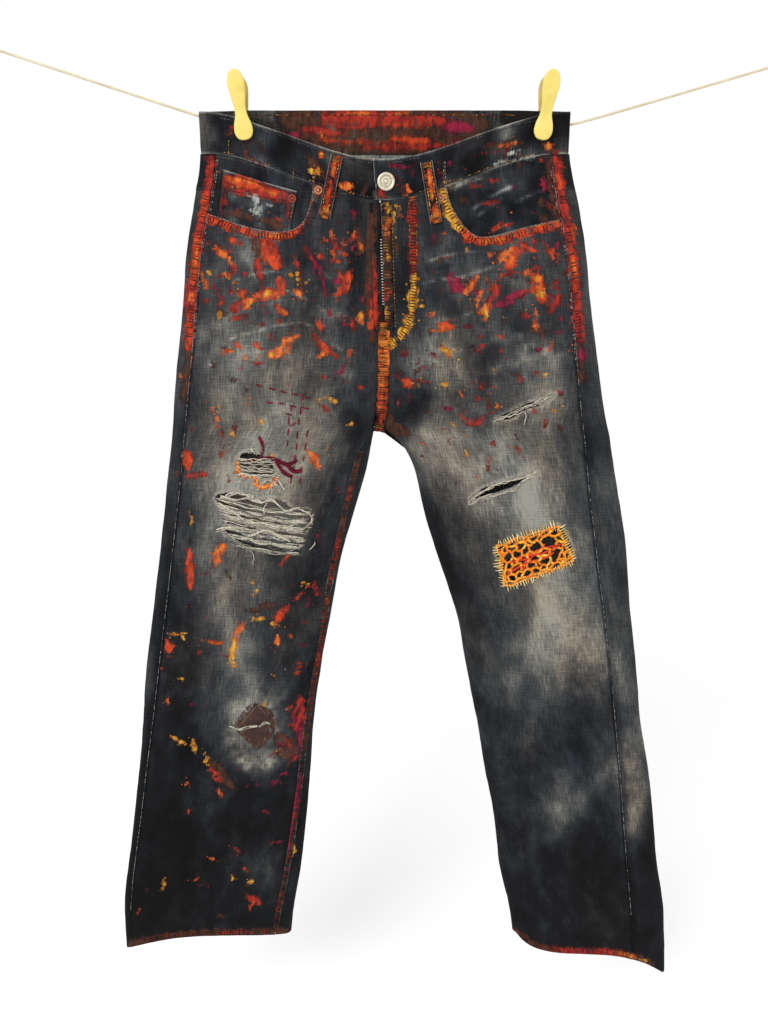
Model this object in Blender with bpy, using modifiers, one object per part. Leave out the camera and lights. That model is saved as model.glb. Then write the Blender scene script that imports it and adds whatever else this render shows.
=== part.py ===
"""Five-pocket denim jeans, worn and mended, hung from a taut clothesline by two pegs.

Metres, +Z up. The front of the jeans faces -Y and the wearer's right is at -X.
The origin is on the clothesline, midway along it, just behind the back of the waistband.
"""
import math

import bmesh
import bpy
from mathutils import Matrix, Vector
from mathutils.bvhtree import BVHTree

MM = 0.001

# ---- driving sizes -------------------------------------------------------------------------
CLOTH = 1.4 * MM            # denim wall
BAND = 2.6 * MM             # waistband wall, two layers sewn together
GAP = 0.35 * MM             # half the space left between two pieces at a cross seam
PANEL_GAP = 0.45 * MM       # and at the long seams, which bend round the legs' edges
CROTCH_GAP = 0.7 * MM       # added to that where all four panels meet
LAY = 0.5 * MM              # space under a piece that lies on another
LINE_RADIUS = 1.3 * MM
PEG_X = {-1: -148 * MM, 1: 167 * MM}
PEG_TOP = 53 * MM
PEG_LENGTH = 64 * MM
PEG_THICK = 4.0 * MM

WAIST_SEAM = -23 * MM       # height where the waistband meets the back and the sides
SAG = -48 * MM              # how far the middle of the front hangs below that
SAG_HALF = 180 * MM         # half the width over which it hangs
BAND_FRONT = 37.5 * MM      # waistband height seen at the front, and at the back
BAND_BACK = 41 * MM
LENS_MIDDLE = 9 * MM        # the waist gapes between the pegs like a lens
LENS_HALF = 139 * MM
LENS_DEPTH = 36 * MM
PINCH_HALF = 165 * MM       # outside this, measured from the lens's middle, the fold opens
FRONT_AT_PEG = -10.0 * MM
BACK_AT_PEG = -4.2 * MM
CROTCH = -298 * MM
CENTRE_X = -4 * MM         # centre front and centre back seams

# Outline of each half, seen from the front, all in millimetres.
# The centre seam is the inner edge down to the crotch, and the leg's inner edge below it.
# wrap is how far the inseam lies in front of the inner edge; below 0 it lies behind.
OUTLINE_COLUMNS = ("height", "inner", "wrap", "outseam", "outer")
OUTLINE = {
    -1: (
        (25, -4.3, 0, -169, -186),
        (-22, -4.3, 0, -171, -187),
        (-60, -4.3, 0, -176, -193),
        (-110, -4.3, 0, -184, -203),
        (-170, -4.8, 0, -194, -212),
        (-225, -5.8, 0, -203, -221),
        (-270, -7.3, 0, -211, -228),
        (-298, -10, 0, -216, -232),
        (-325, -15, 10, -220, -236),
        (-350, -20, 14, -224, -241),
        (-400, -35, 12, -233, -250),
        (-450, -49, 8, -242, -259),
        (-520, -62, 6, -255, -272),
        (-590, -76, 5, -268, -285),
        (-660, -86, 8, -281, -295),
        (-730, -92, 10, -295, -306),
        (-800, -98.5, 13, -308, -318),
        (-870, -107, 18, -322, -331.5),
        (-940, -119, 21, -333, -343),
        (-1000, -126, 19, -337, -346),
    ),
    1: (
        (25, -3.7, 0, 170, 188),
        (-22, -3.7, 0, 172, 189),
        (-60, -3.7, 0, 176, 197),
        (-110, -3.7, 0, 184.5, 208),
        (-170, -4, 0, 194, 218),
        (-225, -4.8, 0, 203, 229),
        (-270, -5.8, 0, 210, 238),
        (-286, -5.5, 0, 213, 242),
        (-298, -3, 0, 215, 245),
        (-312, 12, -3, 218, 249),
        (-325, 23, -6, 220, 252),
        (-350, 34, -7, 224, 258),
        (-400, 46, -8, 233, 270),
        (-450, 62, -8, 242, 280),
        (-520, 84, -8, 256, 290),
        (-590, 99, -8, 269, 303),
        (-660, 113, -8, 280, 314),
        (-730, 126, -8, 291, 330),
        (-800, 140, -8, 301, 343),
        (-870, 149, -8, 312, 354),
        (-940, 165, -8, 323, 369),
        (-1040, 181, -8, 332, 380),
    ),
}

# Depth from front to back, in millimetres. side is the depth at the outer edges, open says how
# far front and back stand apart at the inner edge, and round how square the folds are.
DEPTH_COLUMNS = ("height", "front", "back", "side", "open", "round")
DEPTH = (
    (25, -47, -4, -7.5, 1.0, 7.0),
    (-22, -48, -2, -8, 1.0, 6.0),
    (-60, -50, 3, -10, 1.0, 4.2),
    (-110, -50, 7, -13, 1.0, 3.2),
    (-170, -49, 10, -15, 0.95, 2.8),
    (-225, -46, 12, -15, 0.8, 2.6),
    (-270, -43, 14, -15, 0.5, 2.5),
    (-298, -41, 14, -14, 0.0, 2.5),
    (-350, -38, 14, -13, 0.0, 2.5),
    (-450, -36, 13, -12, 0.0, 2.5),
    (-600, -32, 11, -11, 0.0, 2.5),
    (-800, -28, 9, -9, 0.0, 2.5),
    (-1040, -25, 8, -8, 0.0, 2.5),
)

# Hem line of each leg: its level, how much the inner end rises and the outer end drops.
HEM_COLUMNS = ("level", "inner_rise", "inner_power", "outer_drop", "outer_power")
HEM = {-1: (-968, -9, 4, 34, 4), 1: (-999, 24, 11, 42, 5)}
HEM_HEIGHT = 12 * MM

# Largest folds: where each is, how long and wide, which way it leans from upright, and how far
# it stands out (below 0: a trough). face is 1 on the front and -1 on the back.
FOLD_COLUMNS = ("face", "x", "height", "length", "width", "lean", "depth")
FOLDS = (
    (1, -70, -205, 150, 34, 62, 3.0),
    (1, -60, -250, 120, 30, 70, -2.5),
    (1, 75, -190, 150, 34, -62, 3.0),
    (1, 70, -240, 130, 30, -68, -2.5),
    (1, -120, -560, 330, 46, -12, 3.5),
    (1, -250, -800, 300, 44, -10, 3.0),
    (1, 130, -560, 300, 44, 14, 4.0),
    (1, 205, -640, 340, 46, 12, -3.0),
    (1, 270, -860, 260, 44, 10, 3.5),
    (-1, -90, -250, 150, 36, 60, 3.0),
    (-1, 90, -250, 150, 36, -60, 3.0),
    (-1, -150, -600, 320, 46, -12, 3.0),
    (-1, 190, -620, 320, 46, 12, 3.0),
)

# Heights of the panels' rows before the sagging waist and the hem line shift them, in mm.
ROW_HEIGHTS = (
    -23, -34, -46, -60, -75, -92, -110, -130, -152, -176, -200, -228, -256, -280, -298, -311,
    -325, -342, -365, -395, -435, -480, -530, -585, -640, -695, -750, -805, -860, -910, -950,
)
TOP_REACH = 170 * MM        # how far down the sag shifts the rows, and how far up the hem does
HEM_REACH = 140 * MM
FRONT_COLUMNS = 11
BACK_COLUMNS = 16

# Front pocket mouths, from the waist seam round to the outseam, in millimetres (x, height).
POCKET_MOUTH = {
    -1: ((-70, -20), (-71, -45), (-72, -62), (-77, -81), (-86, -94), (-102, -99),
         (-122, -98), (-145, -93), (-165, -86), (-215, -70)),
    1: ((60, -20), (61, -48), (65, -70), (73, -84), (83, -97), (94, -104), (108, -104),
        (128, -99), (152, -93), (215, -80)),
}
FACING_BOTTOM = -114 * MM

# Pieces sewn on the front: corners in turn (x, height) in millimetres.
COIN_POCKET = ((-88, -61), (-161, -42), (-164, -82), (-95, -94))
SHIN_PATCH = ((-150, -629), (-176, -661), (-154, -690), (-134, -653))
KNEE_MEND = ((194, -409), (127, -431), (138, -479), (212, -449))
LOOP_COLUMNS = ("name", "face", "top_x", "top_height", "foot_x", "foot_height", "arch")
BELT_LOOPS = (
    ("belt_loop_front_right", 1, -46, -28, -60, -87, 2.2),
    ("belt_loop_front_left", 1, 41, -34, 52, -92, 2.2),
    ("belt_loop_back_right", -1, -112, 16, -112, -42, 0),
    ("belt_loop_back_left", -1, 112, 16, 112, -42, 0),
    ("belt_loop_back_middle", -1, -4, 16, -4, -42, 0),
)
LOOP_WIDTH = 12 * MM
LOOP_WALL = 1.8 * MM

BACK_POCKET_TOP = -98
BACK_POCKET_SIDE = -214
BACK_POCKET_POINT = -236
BACK_POCKET_X = {-1: -104, 1: 98}
BACK_POCKET_WIDTH = (146, 128)      # at the mouth and above the point
YOKE_SIDE = -58 * MM                # foot of the yoke at the sides and at the centre back
YOKE_MIDDLE = -86 * MM

BUTTON_AT = (2 * MM, -54 * MM)
BUTTON_RADIUS = 8.6 * MM
BUTTON_THICK = 2.6 * MM
RIVET_COLUMNS = ("name", "x", "height", "lift")
RIVETS = (
    ("rivet_pocket_right", -65.5, -60, 0.4),
    ("rivet_pocket_left", 55.5, -68, 0.4),
    ("rivet_pocket_end_left", 168, -95, 0.4),
    ("rivet_coin_pocket", -93, -67, 0.15),
)
RIVET_RADIUS = 4.5 * MM
RIVET_THICK = 1.5 * MM

FLY_TOP = -77 * MM
FLY_FOOT = -205 * MM
TAPE_INSET = CLOTH + LAY + 0.3 * MM     # from the cloth's outer side to the tape's
TAPE_WALL = 0.9 * MM
SLIDER_SIZE = (8 * MM, 2.4 * MM, 11 * MM)
SLIDER_CLEAR = 0.35 * MM                # between the slider and the tape or the shield
SLIDER_BELOW = 9 * MM                   # from the fly's top to the slider's middle
SHIELD_INSET = TAPE_INSET + TAPE_WALL + SLIDER_SIZE[1] + 2 * SLIDER_CLEAR

# Route of the clothesline, left to right, in millimetres: it drops to the pegs, which press it
# to the waistband, and passes behind the belt loops between them.
LINE_COLUMNS = ("x", "y", "height")
LINE_ROUTE = (
    (-402, 0, 79.7), (-330, -0.6, 57.5), (-250, -1.4, 32.9), (-192, -2.0, 15.3),
    (-158, -2.4, 5.6), (-138, -2.4, 1.6), (-122, -1.0, 0.7), (-104, 0, 0.4), (-50, 0, 0.1),
    (0, 0, 0.0), (60, 0, 0.1), (104, 0, 0.3), (132, -0.8, 0.6), (158, -2.6, 1.4),
    (178, -2.4, 4.0), (205, -2.0, 9.6), (270, -1.2, 27.0), (335, -0.6, 44.8), (402, 0, 63.2),
)
LINE_POINTS = 78
EYE_RADIUS = 8 * MM
EYE_WIRE = 2 * MM
LOOP_RADIUS = 5 * MM
PLATE_RADIUS = 16 * MM
PLATE_THICK = 4 * MM
WALL_Y = 24 * MM

COLOURS = {
    "denim": ((0.030, 0.040, 0.052), 0.88, 0.0),
    "denim_back": ((0.026, 0.036, 0.050), 0.88, 0.0),
    "denim_inside": ((0.16, 0.17, 0.16), 0.9, 0.0),
    "band": ((0.05, 0.04, 0.04), 0.86, 0.0),
    "shin_patch": ((0.075, 0.035, 0.02), 0.9, 0.0),
    "mend_thread": ((0.80, 0.30, 0.03), 0.7, 0.0),
    "button": ((0.62, 0.58, 0.52), 0.35, 0.9),
    "rivet": ((0.45, 0.19, 0.11), 0.4, 0.9),
    "zip": ((0.30, 0.24, 0.12), 0.4, 0.8),
    "zip_tape": ((0.03, 0.03, 0.035), 0.9, 0.0),
    "peg": ((0.88, 0.74, 0.26), 0.35, 0.0),
    "line": ((0.66, 0.60, 0.47), 0.8, 0.0),
    "eye": ((0.55, 0.55, 0.56), 0.35, 1.0),
}


# ---- the form of the garment ---------------------------------------------------------------
def smooth(value):
    """0 below 0, 1 above 1, and an even S between."""
    value = min(max(value, 0.0), 1.0)
    return value * value * (3 - 2 * value)


def mix(first, second, share):
    return first + (second - first) * share


def read_rows(rows, column, height):
    """A column's value at a height, on a smooth curve through the rows; heights in mm."""
    last = len(rows) - 2
    index = 0
    while index < last and height < rows[index + 1][0]:
        index += 1
    upper, lower = rows[index], rows[index + 1]
    before = rows[max(index - 1, 0)]
    after = rows[min(index + 2, len(rows) - 1)]
    span = lower[0] - upper[0]
    share = min(max((height - upper[0]) / span, 0.0), 1.0)
    slope_in = (lower[column] - before[column]) / (lower[0] - before[0]) * span
    slope_out = (after[column] - upper[column]) / (after[0] - upper[0]) * span
    square, cube = share ** 2, share ** 3
    return (
        (2 * cube - 3 * square + 1) * upper[column]
        + (cube - 2 * square + share) * slope_in
        + (3 * square - 2 * cube) * lower[column]
        + (cube - square) * slope_out
    )


def outline(side, name, z):
    return read_rows(OUTLINE[side], OUTLINE_COLUMNS.index(name), z / MM) * MM


def depth(name, z):
    scale = 1.0 if name in ("open", "round") else MM
    return read_rows(DEPTH, DEPTH_COLUMNS.index(name), z / MM) * scale


def sag(x):
    """How far the front hangs down at x, between the pegs."""
    return SAG * (1 - smooth(abs(x) / SAG_HALF))


def waist_depth(x, face):
    """Y of the waist at x: a lens between the pegs, a narrow fold outside them."""
    across = abs(x - LENS_MIDDLE)
    bulge = (1 - min(across / LENS_HALF, 1.0) ** 2) ** 1.4
    outside = smooth((across - PINCH_HALF) / (20 * MM))
    if face > 0:
        return FRONT_AT_PEG - LENS_DEPTH * bulge - 2.6 * MM * outside
    return BACK_AT_PEG


def fold_lift(x, z, face):
    """How far the largest folds stand out at a place on one face."""
    lift = 0.0
    for fold_face, fold_x, height, length, width, lean, fold_depth in FOLDS:
        if fold_face != face:
            continue
        angle = math.radians(lean)
        dx = x / MM - fold_x
        dz = z / MM - height
        along = dz * math.cos(angle) + dx * math.sin(angle)
        across = dx * math.cos(angle) - dz * math.sin(angle)
        lift += fold_depth * math.exp(-((along / length * 2) ** 2) - (across / width) ** 2)
    return lift * MM


def cloth_y(side, x, z, face):
    """Y of the outer side of the cloth at x and height z."""
    inner = outline(side, "inner", z)
    outer = outline(side, "outer", z)
    across = (2 * x - inner - outer) / (outer - inner)
    across = min(max(across, -1.0), 1.0)
    power = depth("round", z)
    rest = max(1 - abs(across) ** power, 0.0)
    if across < 0:
        open_share = max(depth("open", z), 0.0) ** power
        rest = open_share + (1 - open_share) * rest
    fullness = rest ** (1 / power)
    below = WAIST_SEAM + (sag(x) if face > 0 else 0) - z
    loose = smooth(below / (115 * MM))
    deep = mix(waist_depth(x, face), depth("front" if face > 0 else "back", z), loose)
    middle = depth("side", z)
    return middle + (deep - face * fold_lift(x, z, face) - middle) * fullness


class Section:
    """One half's cut at a height: centre front, round the outer edge, to centre back."""

    HALF = 60
    TURN = 14 * MM           # how much a turn through one radian counts as length

    def __init__(self, side, z):
        self.side, self.z = side, z
        inner = outline(side, "inner", z)
        outer = outline(side, "outer", z)
        steps = [0.5 - 0.5 * math.cos(math.pi * i / self.HALF) for i in range(self.HALF + 1)]
        front = [(mix(inner, outer, s), 1) for s in steps]
        back = [(mix(inner, outer, s), -1) for s in reversed(steps[:-1])]
        self.points = [(x, cloth_y(side, x, z, face)) for x, face in front + back]
        self.reach = [0.0]
        self.length = [0.0]
        heading = None
        for (x0, y0), (x1, y1) in zip(self.points, self.points[1:]):
            turn = 0.0
            new_heading = math.atan2(y1 - y0, x1 - x0)
            if heading is not None:
                turn = abs((new_heading - heading + math.pi) % (2 * math.pi) - math.pi)
            heading = new_heading
            span = math.hypot(x1 - x0, y1 - y0)
            self.length.append(self.length[-1] + span)
            self.reach.append(self.reach[-1] + span + self.TURN * turn)
        self.total = self.reach[-1]

    def reach_at_x(self, x, face=1):
        """How far along the cut the cloth passes x, on its front or its back."""
        count = self.HALF
        pairs = range(count) if face > 0 else range(2 * count - 1, count - 1, -1)
        for i in pairs:
            x0, x1 = self.points[i][0], self.points[i + 1][0]
            if (x0 - x) * (x1 - x) <= 0 and x0 != x1:
                return mix(self.reach[i], self.reach[i + 1], (x - x0) / (x1 - x0))
        return self.reach[count]

    def inseam(self):
        """How far along the cut the inseam lies; below 0 it is just behind the inner edge."""
        wrap = outline(self.side, "wrap", self.z)
        if self.z > CROTCH or abs(wrap) < 0.5 * MM:
            return 0.0
        x = outline(self.side, "inner", self.z) + self.side * abs(wrap)
        if wrap > 0:
            return self.reach_at_x(x)
        return self.reach_at_x(x, -1) - self.total

    def outseam(self):
        return self.reach_at_x(outline(self.side, "outseam", self.z))

    def piece_at(self, reach):
        """Which stretch of the cut holds that reach, and how far along it."""
        low, high = 0, len(self.reach) - 1
        while high - low > 1:
            middle = (low + high) // 2
            if self.reach[middle] <= reach:
                low = middle
            else:
                high = middle
        return low, (reach - self.reach[low]) / (self.reach[high] - self.reach[low])

    def at(self, reach):
        """The point that far along; past either end it goes on round the leg."""
        low, share = self.piece_at(reach % self.total if reach != self.total else reach)
        (x0, y0), (x1, y1) = self.points[low], self.points[low + 1]
        return mix(x0, x1, share), mix(y0, y1, share)

    def beyond(self, reach, distance):
        """The reach a true distance further on, for the space left at a seam."""
        low, _ = self.piece_at(reach % self.total if reach != self.total else reach)
        span = self.reach[low + 1] - self.reach[low]
        return reach + distance * span / (self.length[low + 1] - self.length[low])


SECTIONS = {}
SHEETS = {1: [], -1: []}


def section(side, z):
    key = (side, round(z / MM, 2))
    if key not in SECTIONS:
        SECTIONS[key] = Section(side, key[1] * MM)
    return SECTIONS[key]


def hem_height(side, x):
    level, inner_rise, inner_power, outer_drop, outer_power = HEM[side]
    inner = outline(side, "inner", level * MM)
    outer = outline(side, "outer", level * MM)
    share = min(max((x - inner) / (outer - inner), 0.0), 1.0)
    rise = inner_rise * (1 - share) ** inner_power
    return (level + rise - outer_drop * share ** outer_power) * MM


def front_top(x):
    return WAIST_SEAM + sag(x) - GAP


def yoke_foot(x):
    return mix(YOKE_MIDDLE, YOKE_SIDE, smooth(abs(x) / (185 * MM)))


# ---- making solids -------------------------------------------------------------------------
def clear_scene():
    for item in list(bpy.data.objects):
        bpy.data.objects.remove(item, do_unlink=True)


def new_collection(name):
    made = bpy.data.collections.new(name)
    bpy.context.scene.collection.children.link(made)
    return made


def material(name):
    found = bpy.data.materials.get(name)
    if found:
        return found
    made = bpy.data.materials.new(name)
    made.use_nodes = True
    shader = made.node_tree.nodes["Principled BSDF"]
    colour, roughness, metallic = COLOURS[name]
    shader.inputs["Base Color"].default_value = (*colour, 1)
    shader.inputs["Roughness"].default_value = roughness
    shader.inputs["Metallic"].default_value = metallic
    return made


def add_object(name, mesh, finish, collection):
    made = bpy.data.objects.new(name, mesh)
    made.data.materials.clear()
    made.data.materials.append(material(finish))
    collection.objects.link(made)
    return made


def grid_mesh(name, rows, closed=False, outward=None):
    """A sheet through rows of points. It faces outward, or away from its own middle."""
    mesh = bpy.data.meshes.new(name)
    form = bmesh.new()
    made = [[form.verts.new(point) for point in row] for row in rows]
    for upper, lower in zip(made, made[1:]):
        count = len(upper)
        for i in range(count if closed else count - 1):
            j = (i + 1) % count
            form.faces.new((upper[i], lower[i], lower[j], upper[j]))
    form.normal_update()
    middle = sum((vert.co for vert in form.verts), Vector()) / len(form.verts)
    facing = 0.0
    for face in form.faces:
        way = outward or face.calc_center_median() - middle
        facing += face.normal.dot(way) * face.calc_area()
    if facing < 0:
        bmesh.ops.reverse_faces(form, faces=form.faces)
    form.to_mesh(mesh)
    form.free()
    for face in mesh.polygons:
        face.use_smooth = True
    return mesh


def cloth_piece(name, rows, finish, collection, wall=CLOTH, closed=False,
                outward=Vector((0, -1, 0))):
    """A sheet through rows of points on its outer side, given its wall inward."""
    made = add_object(name, grid_mesh(name, rows, closed, outward), finish, collection)
    wall_maker = made.modifiers.new("wall", "SOLIDIFY")
    wall_maker.thickness = wall
    wall_maker.offset = -1
    return made


def seam_gap(z):
    """Half the space at a long seam; it is wider at the crotch, where four panels meet."""
    return PANEL_GAP + CROTCH_GAP * (1 - smooth(abs(z - CROTCH) / (45 * MM)))


def panel_rows(side, start, end, top, columns):
    """Rows of points on a half of the garment between two seams, from top to the hem.

    start and end give how far along a section the seams lie, and top gives a height at x.
    """
    level = HEM[side][0] * MM
    rows = []
    for height in (*ROW_HEIGHTS, level / MM):
        near_top = 1 - smooth((WAIST_SEAM - height * MM) / TOP_REACH)
        near_hem = 1 - smooth((height * MM - level) / HEM_REACH)
        row = []
        for i in range(columns + 1):
            z = height * MM
            for _ in range(4):
                cut = section(side, z)
                gap = seam_gap(z)
                first = cut.beyond(start(cut), gap)
                last = cut.beyond(end(cut), -gap)
                x, y = cut.at(mix(first, last, i / columns))
                z = height * MM + (top(x) - WAIST_SEAM) * near_top
                z += (hem_height(side, x) - level) * near_hem
            row.append((x, y, z))
        rows.append(row)
    return rows


def make_panels(collection):
    for side, name in ((-1, "right"), (1, "left")):
        rows = panel_rows(side, Section.inseam, Section.outseam, front_top, FRONT_COLUMNS)
        cloth_piece(f"front_panel_{name}", rows, "denim", collection)
        remember_sheet(rows, 1)
        rows = panel_rows(
            side, Section.outseam, lambda cut: cut.total + cut.inseam(),
            lambda x: yoke_foot(x) - GAP, BACK_COLUMNS)
        cloth_piece(f"back_panel_{name}", rows, "denim_back", collection,
                    outward=Vector((0, 1, 0)))
        remember_sheet(rows, -1)


def make_yokes(collection):
    for side, name in ((-1, "right"), (1, "left")):
        rows = []
        for level in range(4):
            row = []
            for i in range(BACK_COLUMNS + 1):
                z = WAIST_SEAM
                for _ in range(4):
                    cut = section(side, z)
                    first = cut.beyond(cut.outseam(), PANEL_GAP)
                    last = cut.beyond(cut.total, -PANEL_GAP)
                    x, y = cut.at(mix(first, last, i / BACK_COLUMNS))
                    z = mix(WAIST_SEAM - GAP, yoke_foot(x) + GAP, level / 3)
                row.append((x, y, z))
            rows.append(row)
        cloth_piece(f"yoke_{name}", rows, "denim_back", collection, outward=Vector((0, 1, 0)))
        remember_sheet(rows, -1)


def make_waistband(collection):
    """One strip from its right end, round the back, to the left end that laps over it."""
    stations = []
    for side in (-1, 1):
        cut = section(side, 0.0)
        count = 26
        half = [(cut.at(mix(0.5 * MM, cut.total - 0.5 * MM, i / count)), i / count)
                for i in range(count + 1)]
        stations += half if side < 0 else list(reversed(half))
    stations = [((19 * MM, FRONT_AT_PEG - LENS_DEPTH), 0)] + stations
    stations += [((-11 * MM, FRONT_AT_PEG - LENS_DEPTH), 0)]
    rows = [[], [], []]
    for place, ((x, y), share) in enumerate(stations):
        to_back = smooth((share - 0.35) / 0.3)
        foot = WAIST_SEAM + GAP + sag(x) * (1 - to_back)
        height = mix(BAND_FRONT, BAND_BACK, to_back)
        under = smooth((x + 42 * MM) / (26 * MM)) if place < 20 else 0.0
        for level, row in enumerate(rows):
            slant = 4 * MM if place == len(stations) - 1 else 0.0
            row.append((
                x + slant * (1 - level),
                y + under * (BAND + LAY),
                foot + height * level / 2,
            ))
    cloth_piece("waistband", rows, "band", collection, wall=BAND, outward=None)


def remember_sheet(rows, face):
    """Keeps a panel's outer side, so that what lies on it can follow it."""
    verts = [Vector(point) for row in rows for point in row]
    count = len(rows[0])
    faces = []
    for level in range(len(rows) - 1):
        for i in range(count - 1):
            first = level * count + i
            faces.append((first, first + count, first + count + 1, first + 1))
    SHEETS[face].append(BVHTree.FromPolygons(verts, faces))


def sheet_y(side, x, z, face):
    """Y of the panel that lies outermost at x, z, or of the cloth's form where none does."""
    start = Vector((x, -face * 0.3, z))
    hits = [tree.ray_cast(start, Vector((0, face, 0)))[0] for tree in SHEETS[face]]
    found = [spot.y * face for spot in hits if spot is not None]
    return min(found) * face if found else cloth_y(side, x, z, face)


def face_point(side, x, z, face, lift):
    """A point on the front or back of the cloth at x, z, moved out by lift."""
    step = 0.5 * MM
    slope_x = (cloth_y(side, x + step, z, face) - cloth_y(side, x - step, z, face)) / (2 * step)
    slope_z = (cloth_y(side, x, z + step, face) - cloth_y(side, x, z - step, face)) / (2 * step)
    normal = Vector((slope_x, -1, slope_z)).normalized() * face
    return Vector((x, sheet_y(side, x, z, face), z)) + normal * lift


def make_patch(name, corners, finish, collection, lift, wall, face=1, columns=6, rows=6,
               arch=0.0):
    """A piece with four corners (x, height in mm), laid on the cloth lift away from it."""
    top_a, top_b, foot_b, foot_a = [Vector((x, z)) * MM for x, z in corners]
    points = []
    for level in range(rows + 1):
        down = level / rows
        row = []
        for i in range(columns + 1):
            spot = top_a.lerp(top_b, i / columns).lerp(foot_a.lerp(foot_b, i / columns), down)
            side = -1 if spot.x < CENTRE_X else 1
            out = lift + wall + arch * math.sin(math.pi * down)
            row.append(face_point(side, spot.x, spot.y, face, out))
        points.append(row)
    return cloth_piece(name, points, finish, collection, wall=wall,
                       outward=Vector((0, -face, 0)))


def make_loops(collection):
    for name, face, top_x, top_height, foot_x, foot_height, arch in BELT_LOOPS:
        half = LOOP_WIDTH / MM / 2
        corners = ((top_x - half, top_height), (top_x + half, top_height),
                   (foot_x + half, foot_height), (foot_x - half, foot_height))
        make_patch(name, corners, "denim", collection, LAY, LOOP_WALL, face,
                   columns=2, rows=8, arch=arch * MM)


def smooth_line(points, step):
    """Points at even steps on a smooth curve through the given ones."""
    result = []
    count = len(points)
    for i in range(count - 1):
        before = points[max(i - 1, 0)]
        start, end = points[i], points[i + 1]
        after = points[min(i + 2, count - 1)]
        parts = max(1, round(math.dist(start, end) / step))
        for part in range(parts):
            t = part / parts
            result.append(tuple(
                0.5 * (2 * b + (c - a) * t + (2 * a - 5 * b + 4 * c - d) * t ** 2
                       + (3 * b - a - 3 * c + d) * t ** 3)
                for a, b, c, d in zip(before, start, end, after)))
    return result + [tuple(points[-1])]


def cut_pocket_mouths(cutters):
    """Cuts the front pocket mouths out of the front panels' upper corners."""
    for side, name in ((-1, "right"), (1, "left")):
        mouth = smooth_line(POCKET_MOUTH[side], 7)
        corner = [(mouth[-1][0], 0), (mouth[0][0], 0)]
        form = bmesh.new()
        ring = [form.verts.new((x * MM, -80 * MM, z * MM)) for x, z in mouth + corner]
        flat = form.faces.new(ring)
        reach = bmesh.ops.extrude_face_region(form, geom=[flat])
        moved = [item for item in reach["geom"] if isinstance(item, bmesh.types.BMVert)]
        bmesh.ops.translate(form, verts=moved, vec=(0, 92 * MM, 0))
        bmesh.ops.recalc_face_normals(form, faces=form.faces)
        mesh = bpy.data.meshes.new(f"mouth_cutter_{name}")
        form.to_mesh(mesh)
        form.free()
        cutter = bpy.data.objects.new(mesh.name, mesh)
        cutters.objects.link(cutter)
        cutter.hide_render = True
        cutter.display_type = "WIRE"
        cut = bpy.data.objects[f"front_panel_{name}"].modifiers.new("mouth", "BOOLEAN")
        cut.operation = "DIFFERENCE"
        cut.object = cutter


def make_facings(collection):
    """The cloth that shows in each pocket mouth, just inside the front panel."""
    inset = CLOTH + LAY + 0.25 * MM
    for side, name in ((-1, "right"), (1, "left")):
        start = POCKET_MOUTH[side][2][0] * MM - side * 8 * MM
        rows = []
        for level in range(8):
            row = []
            for i in range(13):
                x = start
                z = WAIST_SEAM
                for _ in range(4):
                    x = mix(start, outline(side, "outseam", z) - side * 1.5 * MM, i / 12)
                    z = mix(front_top(x) - 0.3 * MM, FACING_BOTTOM, level / 7)
                row.append(face_point(side, x, z, 1, -inset))
            rows.append(row)
        cloth_piece(f"pocket_facing_{name}", rows, "denim", collection)


def make_fly(collection):
    """The zip tape behind the centre front edges, and the shield behind that."""
    for name, half, inset, wall, finish in (
            ("zip_tape", 13, TAPE_INSET, TAPE_WALL, "zip_tape"),
            ("fly_shield", 20, SHIELD_INSET, CLOTH, "denim")):
        rows = []
        for level in range(9):
            z = mix(FLY_TOP, FLY_FOOT, level / 8)
            row = []
            for i in range(5):
                x = CENTRE_X + mix(-half, half, i / 4) * MM
                side = -1 if x < CENTRE_X else 1
                y = cloth_y(side, x, z, 1) + inset
                row.append((x, y, z))
            rows.append(row)
        cloth_piece(name, rows, finish, collection, wall=wall)


def make_hems(collection):
    """The cloth turned up inside each leg's foot."""
    for side, name in ((-1, "right"), (1, "left")):
        count = 36
        inset = CLOTH + 2 * LAY
        rows = []
        for level in (1.5 * MM, HEM_HEIGHT):
            loop = []
            for i in range(count):
                z = HEM[side][0] * MM
                for _ in range(3):
                    cut = section(side, z)
                    x, y = cut.at(cut.total * i / count)
                    z = hem_height(side, x) + level
                loop.append(Vector((x, y, z)))
            ring = []
            for i, point in enumerate(loop):
                tangent = loop[(i + 1) % count] - loop[i - 1]
                normal = Vector((tangent.y, -tangent.x, 0)).normalized() * side
                ring.append(point - normal * inset)
            rows.append(ring)
        cloth_piece(f"hem_{name}", rows, "denim_inside", collection, closed=True, outward=None)


def make_back_pockets(collection):
    for side, name in ((-1, "right"), (1, "left")):
        middle = BACK_POCKET_X[side]
        mouth, foot = [width / 2 for width in BACK_POCKET_WIDTH]
        rows = []
        for level in range(13):
            down = level / 12
            row = []
            for i in range(15):
                across = i / 7 - 1
                width = mix(mouth, foot, min(down, 0.85) / 0.85)
                bottom = mix(BACK_POCKET_POINT, BACK_POCKET_SIDE, abs(across))
                x = (middle + across * width) * MM
                z = mix(BACK_POCKET_TOP, bottom, down) * MM
                row.append(face_point(side, x, z, -1, LAY + CLOTH))
            rows.append(row)
        cloth_piece(f"back_pocket_{name}", rows, "denim_back", collection,
                    outward=Vector((0, 1, 0)))


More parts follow.
